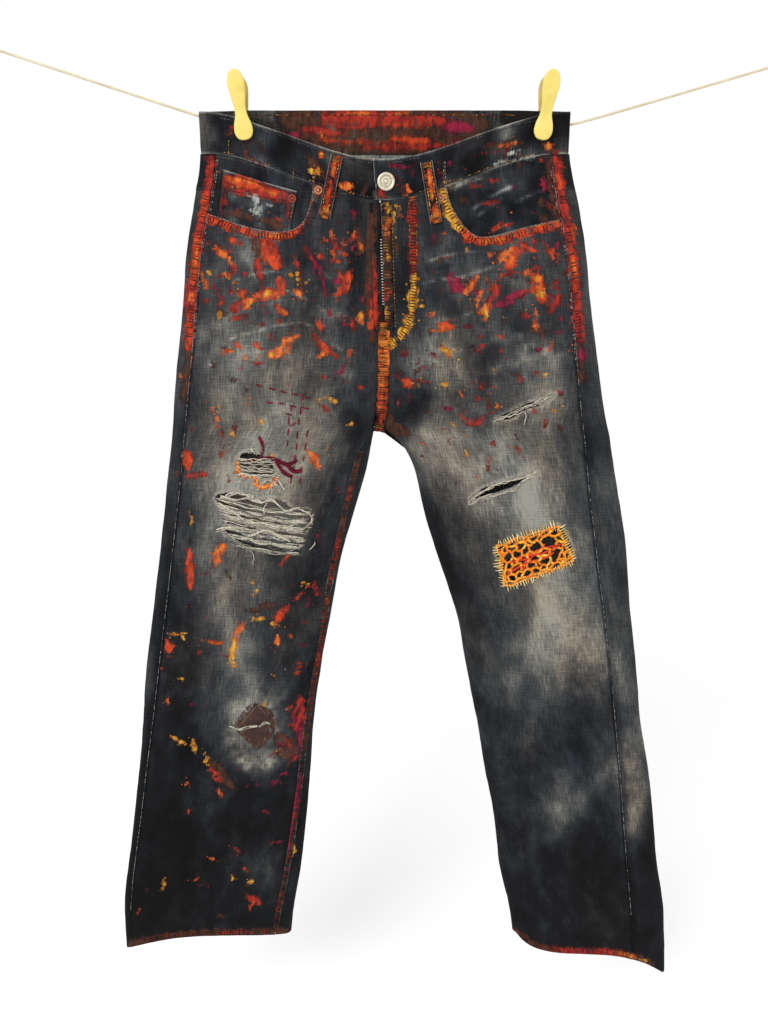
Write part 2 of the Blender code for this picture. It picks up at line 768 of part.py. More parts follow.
# ---- hard pieces ---------------------------------------------------------------------------
def make_disc(name, centre, normal, radius, thick, finish, collection):
    """A round stud that stands on its spot, with a softened front edge."""
    form = bmesh.new()
    bmesh.ops.create_cone(form, cap_ends=True, segments=20, radius1=radius,
                          radius2=radius * 0.86, depth=thick)
    turn = normal.to_track_quat("Z", "Y").to_matrix().to_4x4()
    place = Matrix.Translation(centre + normal * thick / 2) @ turn
    bmesh.ops.transform(form, matrix=place, verts=form.verts)
    mesh = bpy.data.meshes.new(name)
    form.to_mesh(mesh)
    form.free()
    return add_object(name, mesh, finish, collection)


def make_studs(collection):
    x, z = BUTTON_AT
    spot = Vector((x, FRONT_AT_PEG - LENS_DEPTH - 0.9 * MM, z))
    make_disc("button", spot, Vector((0, -1, 0)), BUTTON_RADIUS, BUTTON_THICK, "button",
              collection)
    for name, rivet_x, height, lift in RIVETS:
        side = -1 if rivet_x * MM < CENTRE_X else 1
        base = face_point(side, rivet_x * MM, height * MM, 1, lift * MM)
        above = face_point(side, rivet_x * MM, height * MM, 1, (lift + 1) * MM)
        make_disc(name, base, (above - base).normalized(), RIVET_RADIUS, RIVET_THICK, "rivet",
                  collection)


def make_slider(collection):
    """The zip's slider, closed at the top of the fly, between the tape and the shield."""
    z = FLY_TOP - SLIDER_BELOW
    behind = TAPE_INSET + TAPE_WALL + SLIDER_CLEAR + SLIDER_SIZE[1] / 2
    y = cloth_y(1, CENTRE_X, z, 1) + behind
    bpy.ops.mesh.primitive_cube_add(size=1, location=(CENTRE_X, y, z))
    made = bpy.context.object
    made.name = "zip_slider"
    made.scale = SLIDER_SIZE
    bpy.ops.object.transform_apply(location=False, rotation=False, scale=True)
    edge = made.modifiers.new("edge", "BEVEL")
    edge.width = 0.8 * MM
    edge.segments = 2
    made.data.materials.append(material("zip"))
    for home in list(made.users_collection):
        home.objects.unlink(made)
    collection.objects.link(made)


def peg_outline():
    """Half of a peg's spoon outline: half-width at each share of its length from the top."""
    stations = ((0.0, 0.2), (0.04, 5.2), (0.12, 8.0), (0.22, 8.6), (0.36, 7.4), (0.52, 5.9),
                (0.64, 6.3), (0.76, 8.7), (0.87, 9.4), (0.95, 7.2), (1.0, 0.2))
    return [(width * MM, -share * PEG_LENGTH) for share, width in stations]


def make_pegs(collection):
    """Each peg: a front and a back half that pinch the waistband and the line, and a pivot."""
    half = peg_outline()
    ring = half + [(-x, z) for x, z in reversed(half)]
    front_face = FRONT_AT_PEG - 0.9 * MM
    back_face = LINE_ROUTE[4][1] * MM + LINE_RADIUS + 0.95 * MM
    for side, name in ((-1, "right"), (1, "left")):
        lean = math.radians(-8 if side < 0 else 8)
        turn = Matrix.Rotation(lean * 0.9, 4, "Y")
        for part, face_y, out in (("front", front_face, -1), ("back", back_face, 1)):
            form = bmesh.new()
            ring_verts = [form.verts.new((x, 0, z)) for x, z in ring]
            flat = form.faces.new(ring_verts)
            made = bmesh.ops.extrude_face_region(form, geom=[flat])
            moved = [item for item in made["geom"] if isinstance(item, bmesh.types.BMVert)]
            bmesh.ops.translate(form, verts=moved, vec=(0, out * PEG_THICK, 0))
            for vert in form.verts:
                rise = max(vert.co.z + 0.62 * PEG_LENGTH, 0.0)
                vert.co.y += out * rise * 0.12
            bmesh.ops.recalc_face_normals(form, faces=form.faces)
            top = Matrix.Translation((PEG_X[side], face_y, PEG_TOP))
            bmesh.ops.transform(form, matrix=top @ turn, verts=form.verts)
            mesh = bpy.data.meshes.new(f"peg_{name}_{part}")
            form.to_mesh(mesh)
            form.free()
            piece = add_object(mesh.name, mesh, "peg", collection)
            edge = piece.modifiers.new("edge", "BEVEL")
            edge.width = 0.9 * MM
            edge.segments = 2
            edge.limit_method = "ANGLE"
            edge.angle_limit = math.radians(50)
        make_peg_pivot(name, side, turn, front_face, back_face, collection)


def make_peg_pivot(name, side, turn, front_face, back_face, collection):
    """The rocking block between a peg's two halves, just above the waistband."""
    down = 0.42 * PEG_LENGTH
    open_by = (0.62 * PEG_LENGTH - down) * 0.12
    gap = back_face - front_face + 2 * open_by
    form = bmesh.new()
    bmesh.ops.create_cone(form, cap_ends=True, segments=20, radius1=3.4 * MM,
                          radius2=3.4 * MM, depth=gap - 1.8 * MM)
    lie = Matrix.Rotation(math.radians(90), 4, "X")
    place = Matrix.Translation((PEG_X[side], (front_face + back_face) / 2, PEG_TOP))
    place = place @ turn @ Matrix.Translation((0, 0, -down)) @ lie
    bmesh.ops.transform(form, matrix=place, verts=form.verts)
    mesh = bpy.data.meshes.new(f"peg_{name}_pivot")
    form.to_mesh(mesh)
    form.free()
    add_object(mesh.name, mesh, "peg", collection)


def make_line(collection):
    route = smooth_line(LINE_ROUTE, 2)
    total = sum(math.dist(a, b) for a, b in zip(route, route[1:]))
    step = total / (LINE_POINTS - 1)
    points = [route[0]]
    travelled = 0.0
    for start, end in zip(route, route[1:]):
        span = math.dist(start, end)
        while len(points) < LINE_POINTS - 1 and step * len(points) <= travelled + span:
            share = (step * len(points) - travelled) / span
            points.append(tuple(mix(a, b, share) for a, b in zip(start, end)))
        travelled += span
    points.append(route[-1])
    curve = bpy.data.curves.new("clothesline", "CURVE")
    curve.dimensions = "3D"
    curve.bevel_depth = LINE_RADIUS
    curve.bevel_resolution = 2
    curve.use_fill_caps = True
    spline = curve.splines.new("POLY")
    spline.points.add(len(points) - 1)
    for spot, (x, y, z) in zip(spline.points, points):
        spot.co = (x * MM, y * MM, z * MM, 1)
    made = bpy.data.objects.new("clothesline", curve)
    curve.materials.append(material("line"))
    collection.objects.link(made)


def torus_mesh(name, major, minor, matrix, around=28, section_sides=10):
    bpy.ops.mesh.primitive_torus_add(
        major_segments=around, minor_segments=section_sides, major_radius=major,
        minor_radius=minor, location=(0, 0, 0))
    made = bpy.context.object
    made.name = name
    made.data.transform(matrix)
    return made


def join_solids(first, others):
    """Unites solids into the first one."""
    for other in others:
        union = first.modifiers.new("join", "BOOLEAN")
        union.operation = "UNION"
        union.object = other
        bpy.context.view_layer.objects.active = first
        bpy.ops.object.modifier_apply(modifier=union.name)
        bpy.data.objects.remove(other, do_unlink=True)


def round_bar(radius, length, matrix, segments=20):
    form = bmesh.new()
    bmesh.ops.create_cone(form, cap_ends=True, segments=segments, radius1=radius,
                          radius2=radius, depth=length)
    bmesh.ops.transform(form, matrix=matrix, verts=form.verts)
    mesh = bpy.data.meshes.new("bar")
    form.to_mesh(mesh)
    form.free()
    made = bpy.data.objects.new("bar", mesh)
    bpy.context.scene.collection.objects.link(made)
    return made


def take_into(made, finish, collection):
    made.data.materials.clear()
    made.data.materials.append(material(finish))
    for home in list(made.users_collection):
        home.objects.unlink(made)
    collection.objects.link(made)


def make_line_ends(collection):
    """At each end a knotted loop of line, hooked in a wall eye on a round plate."""
    for side, name, end in ((-1, "right", LINE_ROUTE[0]), (1, "left", LINE_ROUTE[-1])):
        before = LINE_ROUTE[1] if side < 0 else LINE_ROUTE[-2]
        way = (Vector(end) - Vector(before)).normalized()
        tip = Vector(end) * MM
        knot_length = 7 * MM
        turn = way.to_track_quat("Z", "Y").to_matrix().to_4x4()
        knot_at = tip + way * (0.3 * MM + knot_length / 2)
        knot = round_bar(2.8 * MM, knot_length, Matrix.Translation(knot_at) @ turn, 12)
        loop_at = tip + way * (knot_length + LOOP_RADIUS)
        loop = torus_mesh(
            f"line_loop_{name}", LOOP_RADIUS, LINE_RADIUS,
            Matrix.Translation(loop_at) @ Matrix.Rotation(math.radians(90), 4, "X"))
        join_solids(loop, [knot])
        take_into(loop, "line", collection)
        reach = LOOP_RADIUS - LINE_RADIUS - 0.3 * MM + EYE_RADIUS - EYE_WIRE
        eye_at = loop_at + way * reach
        tilt = Matrix.Rotation(-math.atan2(way.z, way.x), 4, "Y")
        eye = torus_mesh(f"wall_eye_{name}", EYE_RADIUS, EYE_WIRE,
                         Matrix.Translation(eye_at) @ tilt)
        lie = Matrix.Rotation(math.radians(90), 4, "X")
        shank_start = EYE_RADIUS - 1 * MM
        plate_front = WALL_Y - PLATE_THICK
        shank_length = plate_front - shank_start + 1 * MM
        shank = round_bar(2.4 * MM, shank_length, Matrix.Translation(
            (eye_at.x, shank_start + shank_length / 2, eye_at.z)) @ lie)
        plate = round_bar(PLATE_RADIUS, PLATE_THICK, Matrix.Translation(
            (eye_at.x, plate_front + PLATE_THICK / 2, eye_at.z)) @ lie, 32)
        join_solids(eye, [shank, plate])
        take_into(eye, "eye", collection)


def main():
    clear_scene()
    parts = new_collection("pegged_jeans")
    cutters = new_collection("cutters")
    make_panels(parts)
    cut_pocket_mouths(cutters)
    make_yokes(parts)
    make_waistband(parts)
    make_facings(parts)
    make_patch("coin_pocket", COIN_POCKET, "denim", parts, -CLOTH - LAY + 0.35 * MM, 1.1 * MM)
    make_fly(parts)
    make_slider(parts)
    make_loops(parts)
    make_back_pockets(parts)
    make_hems(parts)
    make_patch("shin_patch", SHIN_PATCH, "shin_patch", parts, LAY, 1.0 * MM)
    make_patch("knee_mend", KNEE_MEND, "mend_thread", parts, LAY, 1.2 * MM)
    make_studs(parts)
    make_pegs(parts)
    make_line(parts)
    make_line_ends(parts)


main()
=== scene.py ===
"""Looks for the pegged, paint-spattered jeans: cloth, paint, rips, mends, stitches and pegs."""
import math
import random

import bmesh
import bpy
import numpy as np
from mathutils import Matrix, Vector
from mathutils.bvhtree import BVHTree
from mathutils.geometry import delaunay_2d_cdt


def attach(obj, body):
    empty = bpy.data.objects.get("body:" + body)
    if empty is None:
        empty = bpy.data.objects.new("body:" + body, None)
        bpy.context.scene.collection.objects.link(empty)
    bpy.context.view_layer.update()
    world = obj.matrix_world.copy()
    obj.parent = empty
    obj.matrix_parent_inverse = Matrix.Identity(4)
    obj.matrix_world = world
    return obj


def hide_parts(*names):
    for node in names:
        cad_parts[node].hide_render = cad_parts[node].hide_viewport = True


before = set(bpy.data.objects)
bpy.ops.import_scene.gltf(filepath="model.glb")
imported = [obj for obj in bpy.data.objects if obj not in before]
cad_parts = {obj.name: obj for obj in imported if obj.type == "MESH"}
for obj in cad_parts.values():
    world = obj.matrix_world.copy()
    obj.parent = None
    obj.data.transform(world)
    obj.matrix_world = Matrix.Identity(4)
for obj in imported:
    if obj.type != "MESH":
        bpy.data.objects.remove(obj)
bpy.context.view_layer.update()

MM = 0.001
CLOTH = 1.4 * MM
BAND = 2.6 * MM
BODY = "root"

# ---- the garment's own form, as in the solids ----------------------------------------------
WAIST_SEAM = -23 * MM
SAG = -48 * MM
SAG_HALF = 180 * MM
BAND_FRONT = 37.5 * MM
BAND_BACK = 41 * MM
LENS_MIDDLE = 9 * MM
LENS_HALF = 139 * MM
LENS_DEPTH = 36 * MM
PINCH_HALF = 165 * MM
FRONT_AT_PEG = -10.0 * MM
BACK_AT_PEG = -4.2 * MM
CROTCH = -298 * MM
CENTRE_X = -4 * MM
PEG_X = {-1: -148 * MM, 1: 167 * MM}

OUTLINE_COLUMNS = ("height", "inner", "wrap", "outseam", "outer")
OUTLINE = {
    -1: np.array((
        (25, -4.3, 0, -169, -186),
        (-22, -4.3, 0, -171, -187),
        (-60, -4.3, 0, -176, -193),
        (-110, -4.3, 0, -184, -203),
        (-170, -4.8, 0, -194, -212),
        (-225, -5.8, 0, -203, -221),
        (-270, -7.3, 0, -211, -228),
        (-298, -10, 0, -216, -232),
        (-325, -15, 10, -220, -236),
        (-350, -20, 14, -224, -241),
        (-400, -35, 12, -233, -250),
        (-450, -49, 8, -242, -259),
        (-520, -62, 6, -255, -272),
        (-590, -76, 5, -268, -285),
        (-660, -86, 8, -281, -295),
        (-730, -92, 10, -295, -306),
        (-800, -98.5, 13, -308, -318),
        (-870, -107, 18, -322, -331.5),
        (-940, -119, 21, -333, -343),
        (-1000, -126, 19, -337, -346),
    ), float),
    1: np.array((
        (25, -3.7, 0, 170, 188),
        (-22, -3.7, 0, 172, 189),
        (-60, -3.7, 0, 176, 197),
        (-110, -3.7, 0, 184.5, 208),
        (-170, -4, 0, 194, 218),
        (-225, -4.8, 0, 203, 229),
        (-270, -5.8, 0, 210, 238),
        (-286, -5.5, 0, 213, 242),
        (-298, -3, 0, 215, 245),
        (-312, 12, -3, 218, 249),
        (-325, 23, -6, 220, 252),
        (-350, 34, -7, 224, 258),
        (-400, 46, -8, 233, 270),
        (-450, 62, -8, 242, 280),
        (-520, 84, -8, 256, 290),
        (-590, 99, -8, 269, 303),
        (-660, 113, -8, 280, 314),
        (-730, 126, -8, 291, 330),
        (-800, 140, -8, 301, 343),
        (-870, 149, -8, 312, 354),
        (-940, 165, -8, 323, 369),
        (-1040, 181, -8, 332, 380),
    ), float),
}
DEPTH_COLUMNS = ("height", "front", "back", "side", "open", "round")
DEPTH = np.array((
    (25, -47, -4, -7.5, 1.0, 7.0),
    (-22, -48, -2, -8, 1.0, 6.0),
    (-60, -50, 3, -10, 1.0, 4.2),
    (-110, -50, 7, -13, 1.0, 3.2),
    (-170, -49, 10, -15, 0.95, 2.8),
    (-225, -46, 12, -15, 0.8, 2.6),
    (-270, -43, 14, -15, 0.5, 2.5),
    (-298, -41, 14, -14, 0.0, 2.5),
    (-350, -38, 14, -13, 0.0, 2.5),
    (-450, -36, 13, -12, 0.0, 2.5),
    (-600, -32, 11, -11, 0.0, 2.5),
    (-800, -28, 9, -9, 0.0, 2.5),
    (-1040, -25, 8, -8, 0.0, 2.5),
), float)
HEM = {-1: (-968, -9, 4, 34, 4), 1: (-999, 24, 11, 42, 5)}
TOP_REACH = 170 * MM
HEM_REACH = 140 * MM
FOLDS = (
    (1, -70, -205, 150, 34, 62, 3.0),
    (1, -60, -250, 120, 30, 70, -2.5),
    (1, 75, -190, 150, 34, -62, 3.0),
    (1, 70, -240, 130, 30, -68, -2.5),
    (1, -120, -560, 330, 46, -12, 3.5),
    (1, -250, -800, 300, 44, -10, 3.0),
    (1, 130, -560, 300, 44, 14, 4.0),
    (1, 205, -640, 340, 46, 12, -3.0),
    (1, 270, -860, 260, 44, 10, 3.5),
    (-1, -90, -250, 150, 36, 60, 3.0),
    (-1, 90, -250, 150, 36, -60, 3.0),
    (-1, -150, -600, 320, 46, -12, 3.0),
    (-1, 190, -620, 320, 46, 12, 3.0),
)


def smooth(value):
    value = np.clip(value, 0.0, 1.0)
    return value * value * (3 - 2 * value)


def mix(first, second, share):
    return first + (second - first) * share


def read_rows(rows, column, height):
    """A column's values at heights in millimetres, on a smooth curve through the rows."""
    heights = rows[:, 0]
    count = len(heights)
    place = np.clip(np.searchsorted(-heights, -np.asarray(height, float), "right") - 1, 0,
                    count - 2)
    before, after = np.maximum(place - 1, 0), np.minimum(place + 2, count - 1)
    upper, lower = heights[place], heights[place + 1]
    span = lower - upper
    share = np.clip((height - upper) / span, 0, 1)
    values = rows[:, column]
    slope_in = (values[place + 1] - values[before]) / (lower - heights[before]) * span
    slope_out = (values[after] - values[place]) / (heights[after] - upper) * span
    square, cube = share ** 2, share ** 3
    return ((2 * cube - 3 * square + 1) * values[place]
            + (cube - 2 * square + share) * slope_in
            + (3 * square - 2 * cube) * values[place + 1]
            + (cube - square) * slope_out)


def outline(side, name, z):
    return read_rows(OUTLINE[side], OUTLINE_COLUMNS.index(name), np.asarray(z) / MM) * MM


def depth(name, z):
    scale = 1.0 if name in ("open", "round") else MM
    return read_rows(DEPTH, DEPTH_COLUMNS.index(name), np.asarray(z) / MM) * scale


def sag(x):
    return SAG * (1 - smooth(np.abs(x) / SAG_HALF))


def waist_depth(x, face):
    across = np.abs(x - LENS_MIDDLE)
    bulge = (1 - np.minimum(across / LENS_HALF, 1.0) ** 2) ** 1.4
    outside = smooth((across - PINCH_HALF) / (20 * MM))
    if face > 0:
        return FRONT_AT_PEG - LENS_DEPTH * bulge - 2.6 * MM * outside
    return BACK_AT_PEG + 0 * bulge


def soft_ridges(table, x, z):
    """Sum of soft ridges and troughs: rows of x, height, length, width, lean and depth."""
    lift = np.zeros(np.broadcast(x, z).shape)
    for ridge_x, height, length, width, lean, ridge_depth in table:
        angle = math.radians(lean)
        dx = x / MM - ridge_x
        dz = z / MM - height
        along = dz * math.cos(angle) + dx * math.sin(angle)
        across = dx * math.cos(angle) - dz * math.sin(angle)
        lift = lift + ridge_depth * np.exp(-((along / length * 2) ** 2) - (across / width) ** 2)
    return lift * MM


def cloth_y(side, x, z, face):
    """Y of the outer side of the cloth at x and height z."""
    inner = outline(side, "inner", z)
    outer = outline(side, "outer", z)
    across = np.clip((2 * x - inner - outer) / (outer - inner), -1, 1)
    power = depth("round", z)
    rest = np.maximum(1 - np.abs(across) ** power, 0)
    open_share = np.maximum(depth("open", z), 0) ** power
    rest = np.where(across < 0, open_share + (1 - open_share) * rest, rest)
    fullness = rest ** (1 / power)
    below = WAIST_SEAM + (sag(x) if face > 0 else 0) - z
    deep = mix(waist_depth(x, face), depth("front" if face > 0 else "back", z),
               smooth(below / (115 * MM)))
    middle = depth("side", z)
    table = [fold[1:] for fold in FOLDS if fold[0] == face]
    return middle + (deep - face * soft_ridges(table, x, z) - middle) * fullness


def hem_height(side, x):
    level, inner_rise, inner_power, outer_drop, outer_power = HEM[side]
    inner = outline(side, "inner", level * MM)
    outer = outline(side, "outer", level * MM)
    share = np.clip((x - inner) / (outer - inner), 0, 1)
    rise = inner_rise * (1 - share) ** inner_power
    return (level + rise - outer_drop * share ** outer_power) * MM


def front_top(x):
    return WAIST_SEAM + sag(x)


YOKE_SIDE = -58 * MM
YOKE_MIDDLE = -86 * MM


def yoke_foot(x):
    return mix(YOKE_MIDDLE, YOKE_SIDE, smooth(np.abs(x) / (185 * MM)))


def layer_grid(side, x, z, face, lift=0.0):
    """Points on one face of the garment at x and z (arrays), moved out along its normal."""
    step = 0.5 * MM
    y = cloth_y(side, x, z, face)
    slope_x = (cloth_y(side, x + step, z, face) - cloth_y(side, x - step, z, face)) / (2 * step)
    slope_z = (cloth_y(side, x, z + step, face) - cloth_y(side, x, z - step, face)) / (2 * step)
    slope_x = np.clip(slope_x, -3, 3)
    normal = np.stack([slope_x, -np.ones_like(slope_x), slope_z], -1) * face
    normal /= np.linalg.norm(normal, axis=-1, keepdims=True)
    return np.stack([x, y, z], -1) + normal * np.asarray(lift)[..., None]


def grid_normals(points, closed=False):
    """Normals of a grid of points, by its two directions."""
    if closed:
        across = np.roll(points, -1, 1) - np.roll(points, 1, 1)
    else:
        across = np.gradient(points, axis=1)
    down = np.gradient(points, axis=0)
    normal = np.cross(across, down)
    return normal / np.maximum(np.linalg.norm(normal, axis=-1, keepdims=True), 1e-12)


# ---- even randomness -----------------------------------------------------------------------
def lattice_noise(u, v, cell, seed):
    """Smooth random hills between -1 and 1, about a cell across, on any two coordinates."""
    values = np.random.RandomState(seed).uniform(-1, 1, (257, 257))
    a, b = np.asarray(u) / cell + 400, np.asarray(v) / cell + 400
    i, j = np.floor(a).astype(int), np.floor(b).astype(int)
    s, t = smooth(a - i), smooth(b - j)
    i0, i1, j0, j1 = i % 257, (i + 1) % 257, j % 257, (j + 1) % 257
    top = mix(values[i0, j0], values[i1, j0], s)
    foot = mix(values[i0, j1], values[i1, j1], s)
    return mix(top, foot, t)


def layered_noise(u, v, cell, seed, layers=3):
    total, weight, size = 0.0, 0.0, 1.0
    for layer in range(layers):
        total = total + size * lattice_noise(u, v, cell / 2 ** layer, seed + layer)
        weight += size
        size *= 0.5
    return total / weight


# ---- panel grids ---------------------------------------------------------------------------
SECTION_STEP = 3 * MM
SETTLE_ROUNDS = 5            # passes that bring a panel's rows onto its sections
SECTION_TOP = 24 * MM
SECTION_FOOT = -1046 * MM


def section_points(side, z):
    """One half's cut at a height, from centre front round the outer edge to centre back."""
    steps = 0.5 - 0.5 * np.cos(np.pi * np.arange(81) / 80)
    x = mix(outline(side, "inner", z), outline(side, "outer", z), steps)
    front = np.stack([x, cloth_y(side, x, np.full_like(x, z), 1)], -1)
    back = np.stack([x, cloth_y(side, x, np.full_like(x, z), -1)], -1)[::-1][1:]
    points = np.concatenate([front, back])
    length = np.concatenate([[0], np.cumsum(np.linalg.norm(np.diff(points, axis=0), axis=1))])
    return points, length


def seam_lengths(side, z, points, length):
    """How far round the cut the inseam and the outseam lie."""
    front_x = points[:81, 0] * side
    outseam = np.interp(outline(side, "outseam", z) * side, front_x, length[:81])
    wrap = float(outline(side, "wrap", z))
    inner = float(outline(side, "inner", z))
    if z > CROTCH or abs(wrap) < 0.1 * MM:
        return 0.0, float(outseam)
    reach = (inner + side * abs(wrap)) * side
    if wrap > 0:
        return float(np.interp(reach, front_x, length[:81])), float(outseam)
    back_x = points[80:, 0][::-1] * side
    return float(np.interp(reach, back_x, length[80:][::-1]) - length[-1]), float(outseam)


def strip_sections(side, part, columns, gap=0.25 * MM):
    """Sections of a front, back or whole strip at every level: points and true widths."""
    levels = np.arange(SECTION_TOP, SECTION_FOOT, -SECTION_STEP)
    strips, widths = [], []
    for z in levels:
        points, length = section_points(side, z)
        inseam, outseam = seam_lengths(side, z, points, length)
        if part == "front":
            start, end = inseam + gap, outseam - gap
        elif part == "back":
            start, end = outseam + gap, length[-1] + inseam - gap
        else:
            start, end = 0.0, length[-1]
        reach = np.linspace(start, end, columns + 1)
        widths.append(end - start)
        reach = np.where(reach < 0, reach + length[-1], reach)
        reach = np.where(reach > length[-1], reach - length[-1], reach)
        strips.append(np.stack([np.interp(reach, length, points[:, 0]),
                                np.interp(reach, length, points[:, 1])], -1))
    return levels, np.array(strips), np.array(widths)


def on_sections(levels, strips, z):
    """Where a panel's sections put each column at its height: x and y, section and share."""
    rows, columns = z.shape
    column = np.arange(columns)[None, :] * np.ones((rows, 1), int)
    place = np.clip((levels[0] - z) / SECTION_STEP, 0, len(levels) - 1.001)
    low = place.astype(int)
    share = place - low
    return mix(strips[low, column], strips[low + 1, column], share[..., None]), low, share


def panel_grid(side, part, columns, rows, top):
    """Points (rows, columns, xyz) of a panel from top(x) to the hem, and its flat u, v."""
    levels, strips, widths = strip_sections(side, part, columns)
    level = HEM[side][0] * MM
    heights = np.linspace(WAIST_SEAM, level, rows + 1)[:, None] * np.ones(columns + 1)
    near_top = 1 - smooth((WAIST_SEAM - heights) / TOP_REACH)
    near_hem = 1 - smooth((heights - level) / HEM_REACH)
    z = heights.copy()
    for _ in range(SETTLE_ROUNDS):
        flat, low, share = on_sections(levels, strips, z)
        x = flat[..., 0]
        z = heights + (top(x) - WAIST_SEAM) * near_top + (hem_height(side, x) - level) * near_hem
    width = mix(widths[low], widths[low + 1], share)
    u = (np.arange(columns + 1) / columns - 0.5) * width
    points = np.stack([x, flat[..., 1], z], -1)
    return points, u, z.copy()


# ---- making meshes from grids --------------------------------------------------------------
def deselect_all():
    bpy.ops.object.select_all(action="DESELECT")


def grid_object(name, points):
    """A primitive grid whose vertices are set to a grid of points (rows, columns)."""
    deselect_all()
    rows, columns = points.shape[0] - 1, points.shape[1] - 1
    bpy.ops.mesh.primitive_grid_add(x_subdivisions=columns, y_subdivisions=rows, size=2)
    made = bpy.context.object
    made.name = name
    made.data.name = name
    made.data.vertices.foreach_set("co", points.reshape(-1))
    made.data.update()
    return made


def set_values(made, name, values):
    """Keeps a value for each vertex of a mesh, for its material to read."""
    layer = made.data.attributes.new(name, "FLOAT", "POINT")
    layer.data.foreach_set("value", np.asarray(values, np.float32).reshape(-1))


def set_colours(made, name, values):
    layer = made.data.attributes.new(name, "FLOAT_COLOR", "POINT")
    full = np.concatenate([values.reshape(-1, 3), np.ones((values.size // 3, 1))], 1)
    layer.data.foreach_set("color", full.astype(np.float32).reshape(-1))


def set_flat_map(made, u, v):
    """Writes the cloth's flat place in metres into its UV map."""
    mesh = made.data
    corner = np.empty(len(mesh.loops), np.int32)
    mesh.loops.foreach_get("vertex_index", corner)
    flat = np.stack([np.asarray(u).reshape(-1), np.asarray(v).reshape(-1)], -1)[corner]
    mesh.uv_layers.active.data.foreach_set("uv", flat.astype(np.float32).reshape(-1))


def face_outward(made, outward):
    """Turns a sheet so that its faces look outward, taken over the whole sheet."""
    normals = np.empty(len(made.data.polygons) * 3)
    made.data.polygons.foreach_get("normal", normals)
    if (normals.reshape(-1, 3) @ np.array(outward, float)).sum() < 0:
        made.data.flip_normals()


def give_wall(made, wall, inner_slot=1, rim_slot=0):
    """Gives a sheet its wall, inward from its outer side."""
    wall_maker = made.modifiers.new("wall", "SOLIDIFY")
    wall_maker.thickness = wall
    wall_maker.offset = -1
    wall_maker.material_offset = inner_slot
    wall_maker.material_offset_rim = rim_slot
    apply_modifiers(made)


def pick_only(made):
    deselect_all()
    made.select_set(True)
    bpy.context.view_layer.objects.active = made


def apply_modifiers(made):
    pick_only(made)
    for modifier in list(made.modifiers):
        bpy.ops.object.modifier_apply(modifier=modifier.name)


def shade_smooth(made, angle=None):
    pick_only(made)
    if angle is None:
        bpy.ops.object.shade_smooth()
    else:
        bpy.ops.object.shade_smooth_by_angle(angle=math.radians(angle))


def set_finishes(made, finishes):
    made.data.materials.clear()
    for finish in finishes:
        made.data.materials.append(finish)


def finish_piece(made, replaced=(), finishes=()):
    """Rides the piece on the body and gives it its materials."""
    if finishes:
        set_finishes(made, finishes)
    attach(made, BODY)
    if replaced:
        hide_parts(*replaced)
    return made


# ---- outlines drawn on the cloth -----------------------------------------------------------
def inside_distance(ring, x, z):
    """How far each place lies inside a closed outline (below 0 outside it), in metres."""
    ring = np.asarray(ring, float) * MM
    ends = np.roll(ring, -1, 0)
    nearest = np.full(x.shape, 1e9)
    inside = np.zeros(x.shape, bool)
    for (ax, az), (bx, bz) in zip(ring, ends):
        dx, dz = bx - ax, bz - az
        share = np.clip(((x - ax) * dx + (z - az) * dz) / (dx * dx + dz * dz), 0, 1)
        nearest = np.minimum(nearest, np.hypot(x - ax - share * dx, z - az - share * dz))
        crosses = (az > z) != (bz > z)
        at = ax + (z - az) * dx / (dz if dz else 1e-12)
        inside ^= crosses & (x < at)
    return np.where(inside, nearest, -nearest)


def smooth_ring(points, step=4.0, closed=True):
    """Points at even steps on a smooth curve through the given ones, in millimetres."""
    points = [np.array(point, float) for point in points]
    count = len(points)
    result = []
    for i in range(count if closed else count - 1):
        def pick(k):
            return points[k % count] if closed else points[min(max(k, 0), count - 1)]
        a, b, c, d = pick(i - 1), pick(i), pick(i + 1), pick(i + 2)
        parts = max(1, int(round(np.linalg.norm(c - b) / step)))
        for part in range(parts):
            t = part / parts
            result.append(0.5 * (2 * b + (c - a) * t + (2 * a - 5 * b + 4 * c - d) * t ** 2
                                 + (3 * b - a - 3 * c + d) * t ** 3))
    if not closed:
        result.append(points[-1])
    return np.array(result)


# ---- shader helpers ------------------------------------------------------------------------
def feed(tree, made, inputs):
    """Sets a node's inputs from values, or links them from other nodes' sockets."""
    for key, value in (inputs or {}).items():
        if isinstance(value, bpy.types.NodeSocket):
            tree.links.new(value, made.inputs[key])
        else:
            made.inputs[key].default_value = value


def put(tree, kind, inputs=None, **settings):
    """Adds a node with its settings; inputs are values or other nodes' sockets."""
    made = tree.nodes.new(kind)
    for name, value in settings.items():
        setattr(made, name, value)
    feed(tree, made, inputs)
    return made


def arith(tree, operation, first, second=0.0, clamp=False):
    made = put(tree, "ShaderNodeMath", {0: first, 1: second}, operation=operation)
    made.use_clamp = clamp
    return made.outputs[0]


def between(tree, value, low, high, to_low=0.0, to_high=1.0):
    """A value carried smoothly from one range to another and held there."""
    made = put(tree, "ShaderNodeMapRange",
               {"Value": value, "From Min": low, "From Max": high,
                "To Min": to_low, "To Max": to_high}, interpolation_type="SMOOTHSTEP")
    return made.outputs["Result"]


def blend_colours(tree, share, first, second, way="MIX"):
    made = put(tree, "ShaderNodeMix", {0: share, 6: first, 7: second},
               data_type="RGBA", blend_type=way)
    return made.outputs[2]


def colour_ramp(tree, value, stops):
    made = put(tree, "ShaderNodeValToRGB", {"Fac": value})
    ramp = made.color_ramp
    while len(ramp.elements) < len(stops):
        ramp.elements.new(0.5)
    for element, (place, colour) in zip(ramp.elements, stops):
        element.position = place
        element.color = (*colour, 1)
    return made.outputs["Color"]


def vertex_value(tree, name):
    return put(tree, "ShaderNodeAttribute", attribute_name=name).outputs["Fac"]


def vertex_colour(tree, name):
    return put(tree, "ShaderNodeAttribute", attribute_name=name).outputs["Color"]


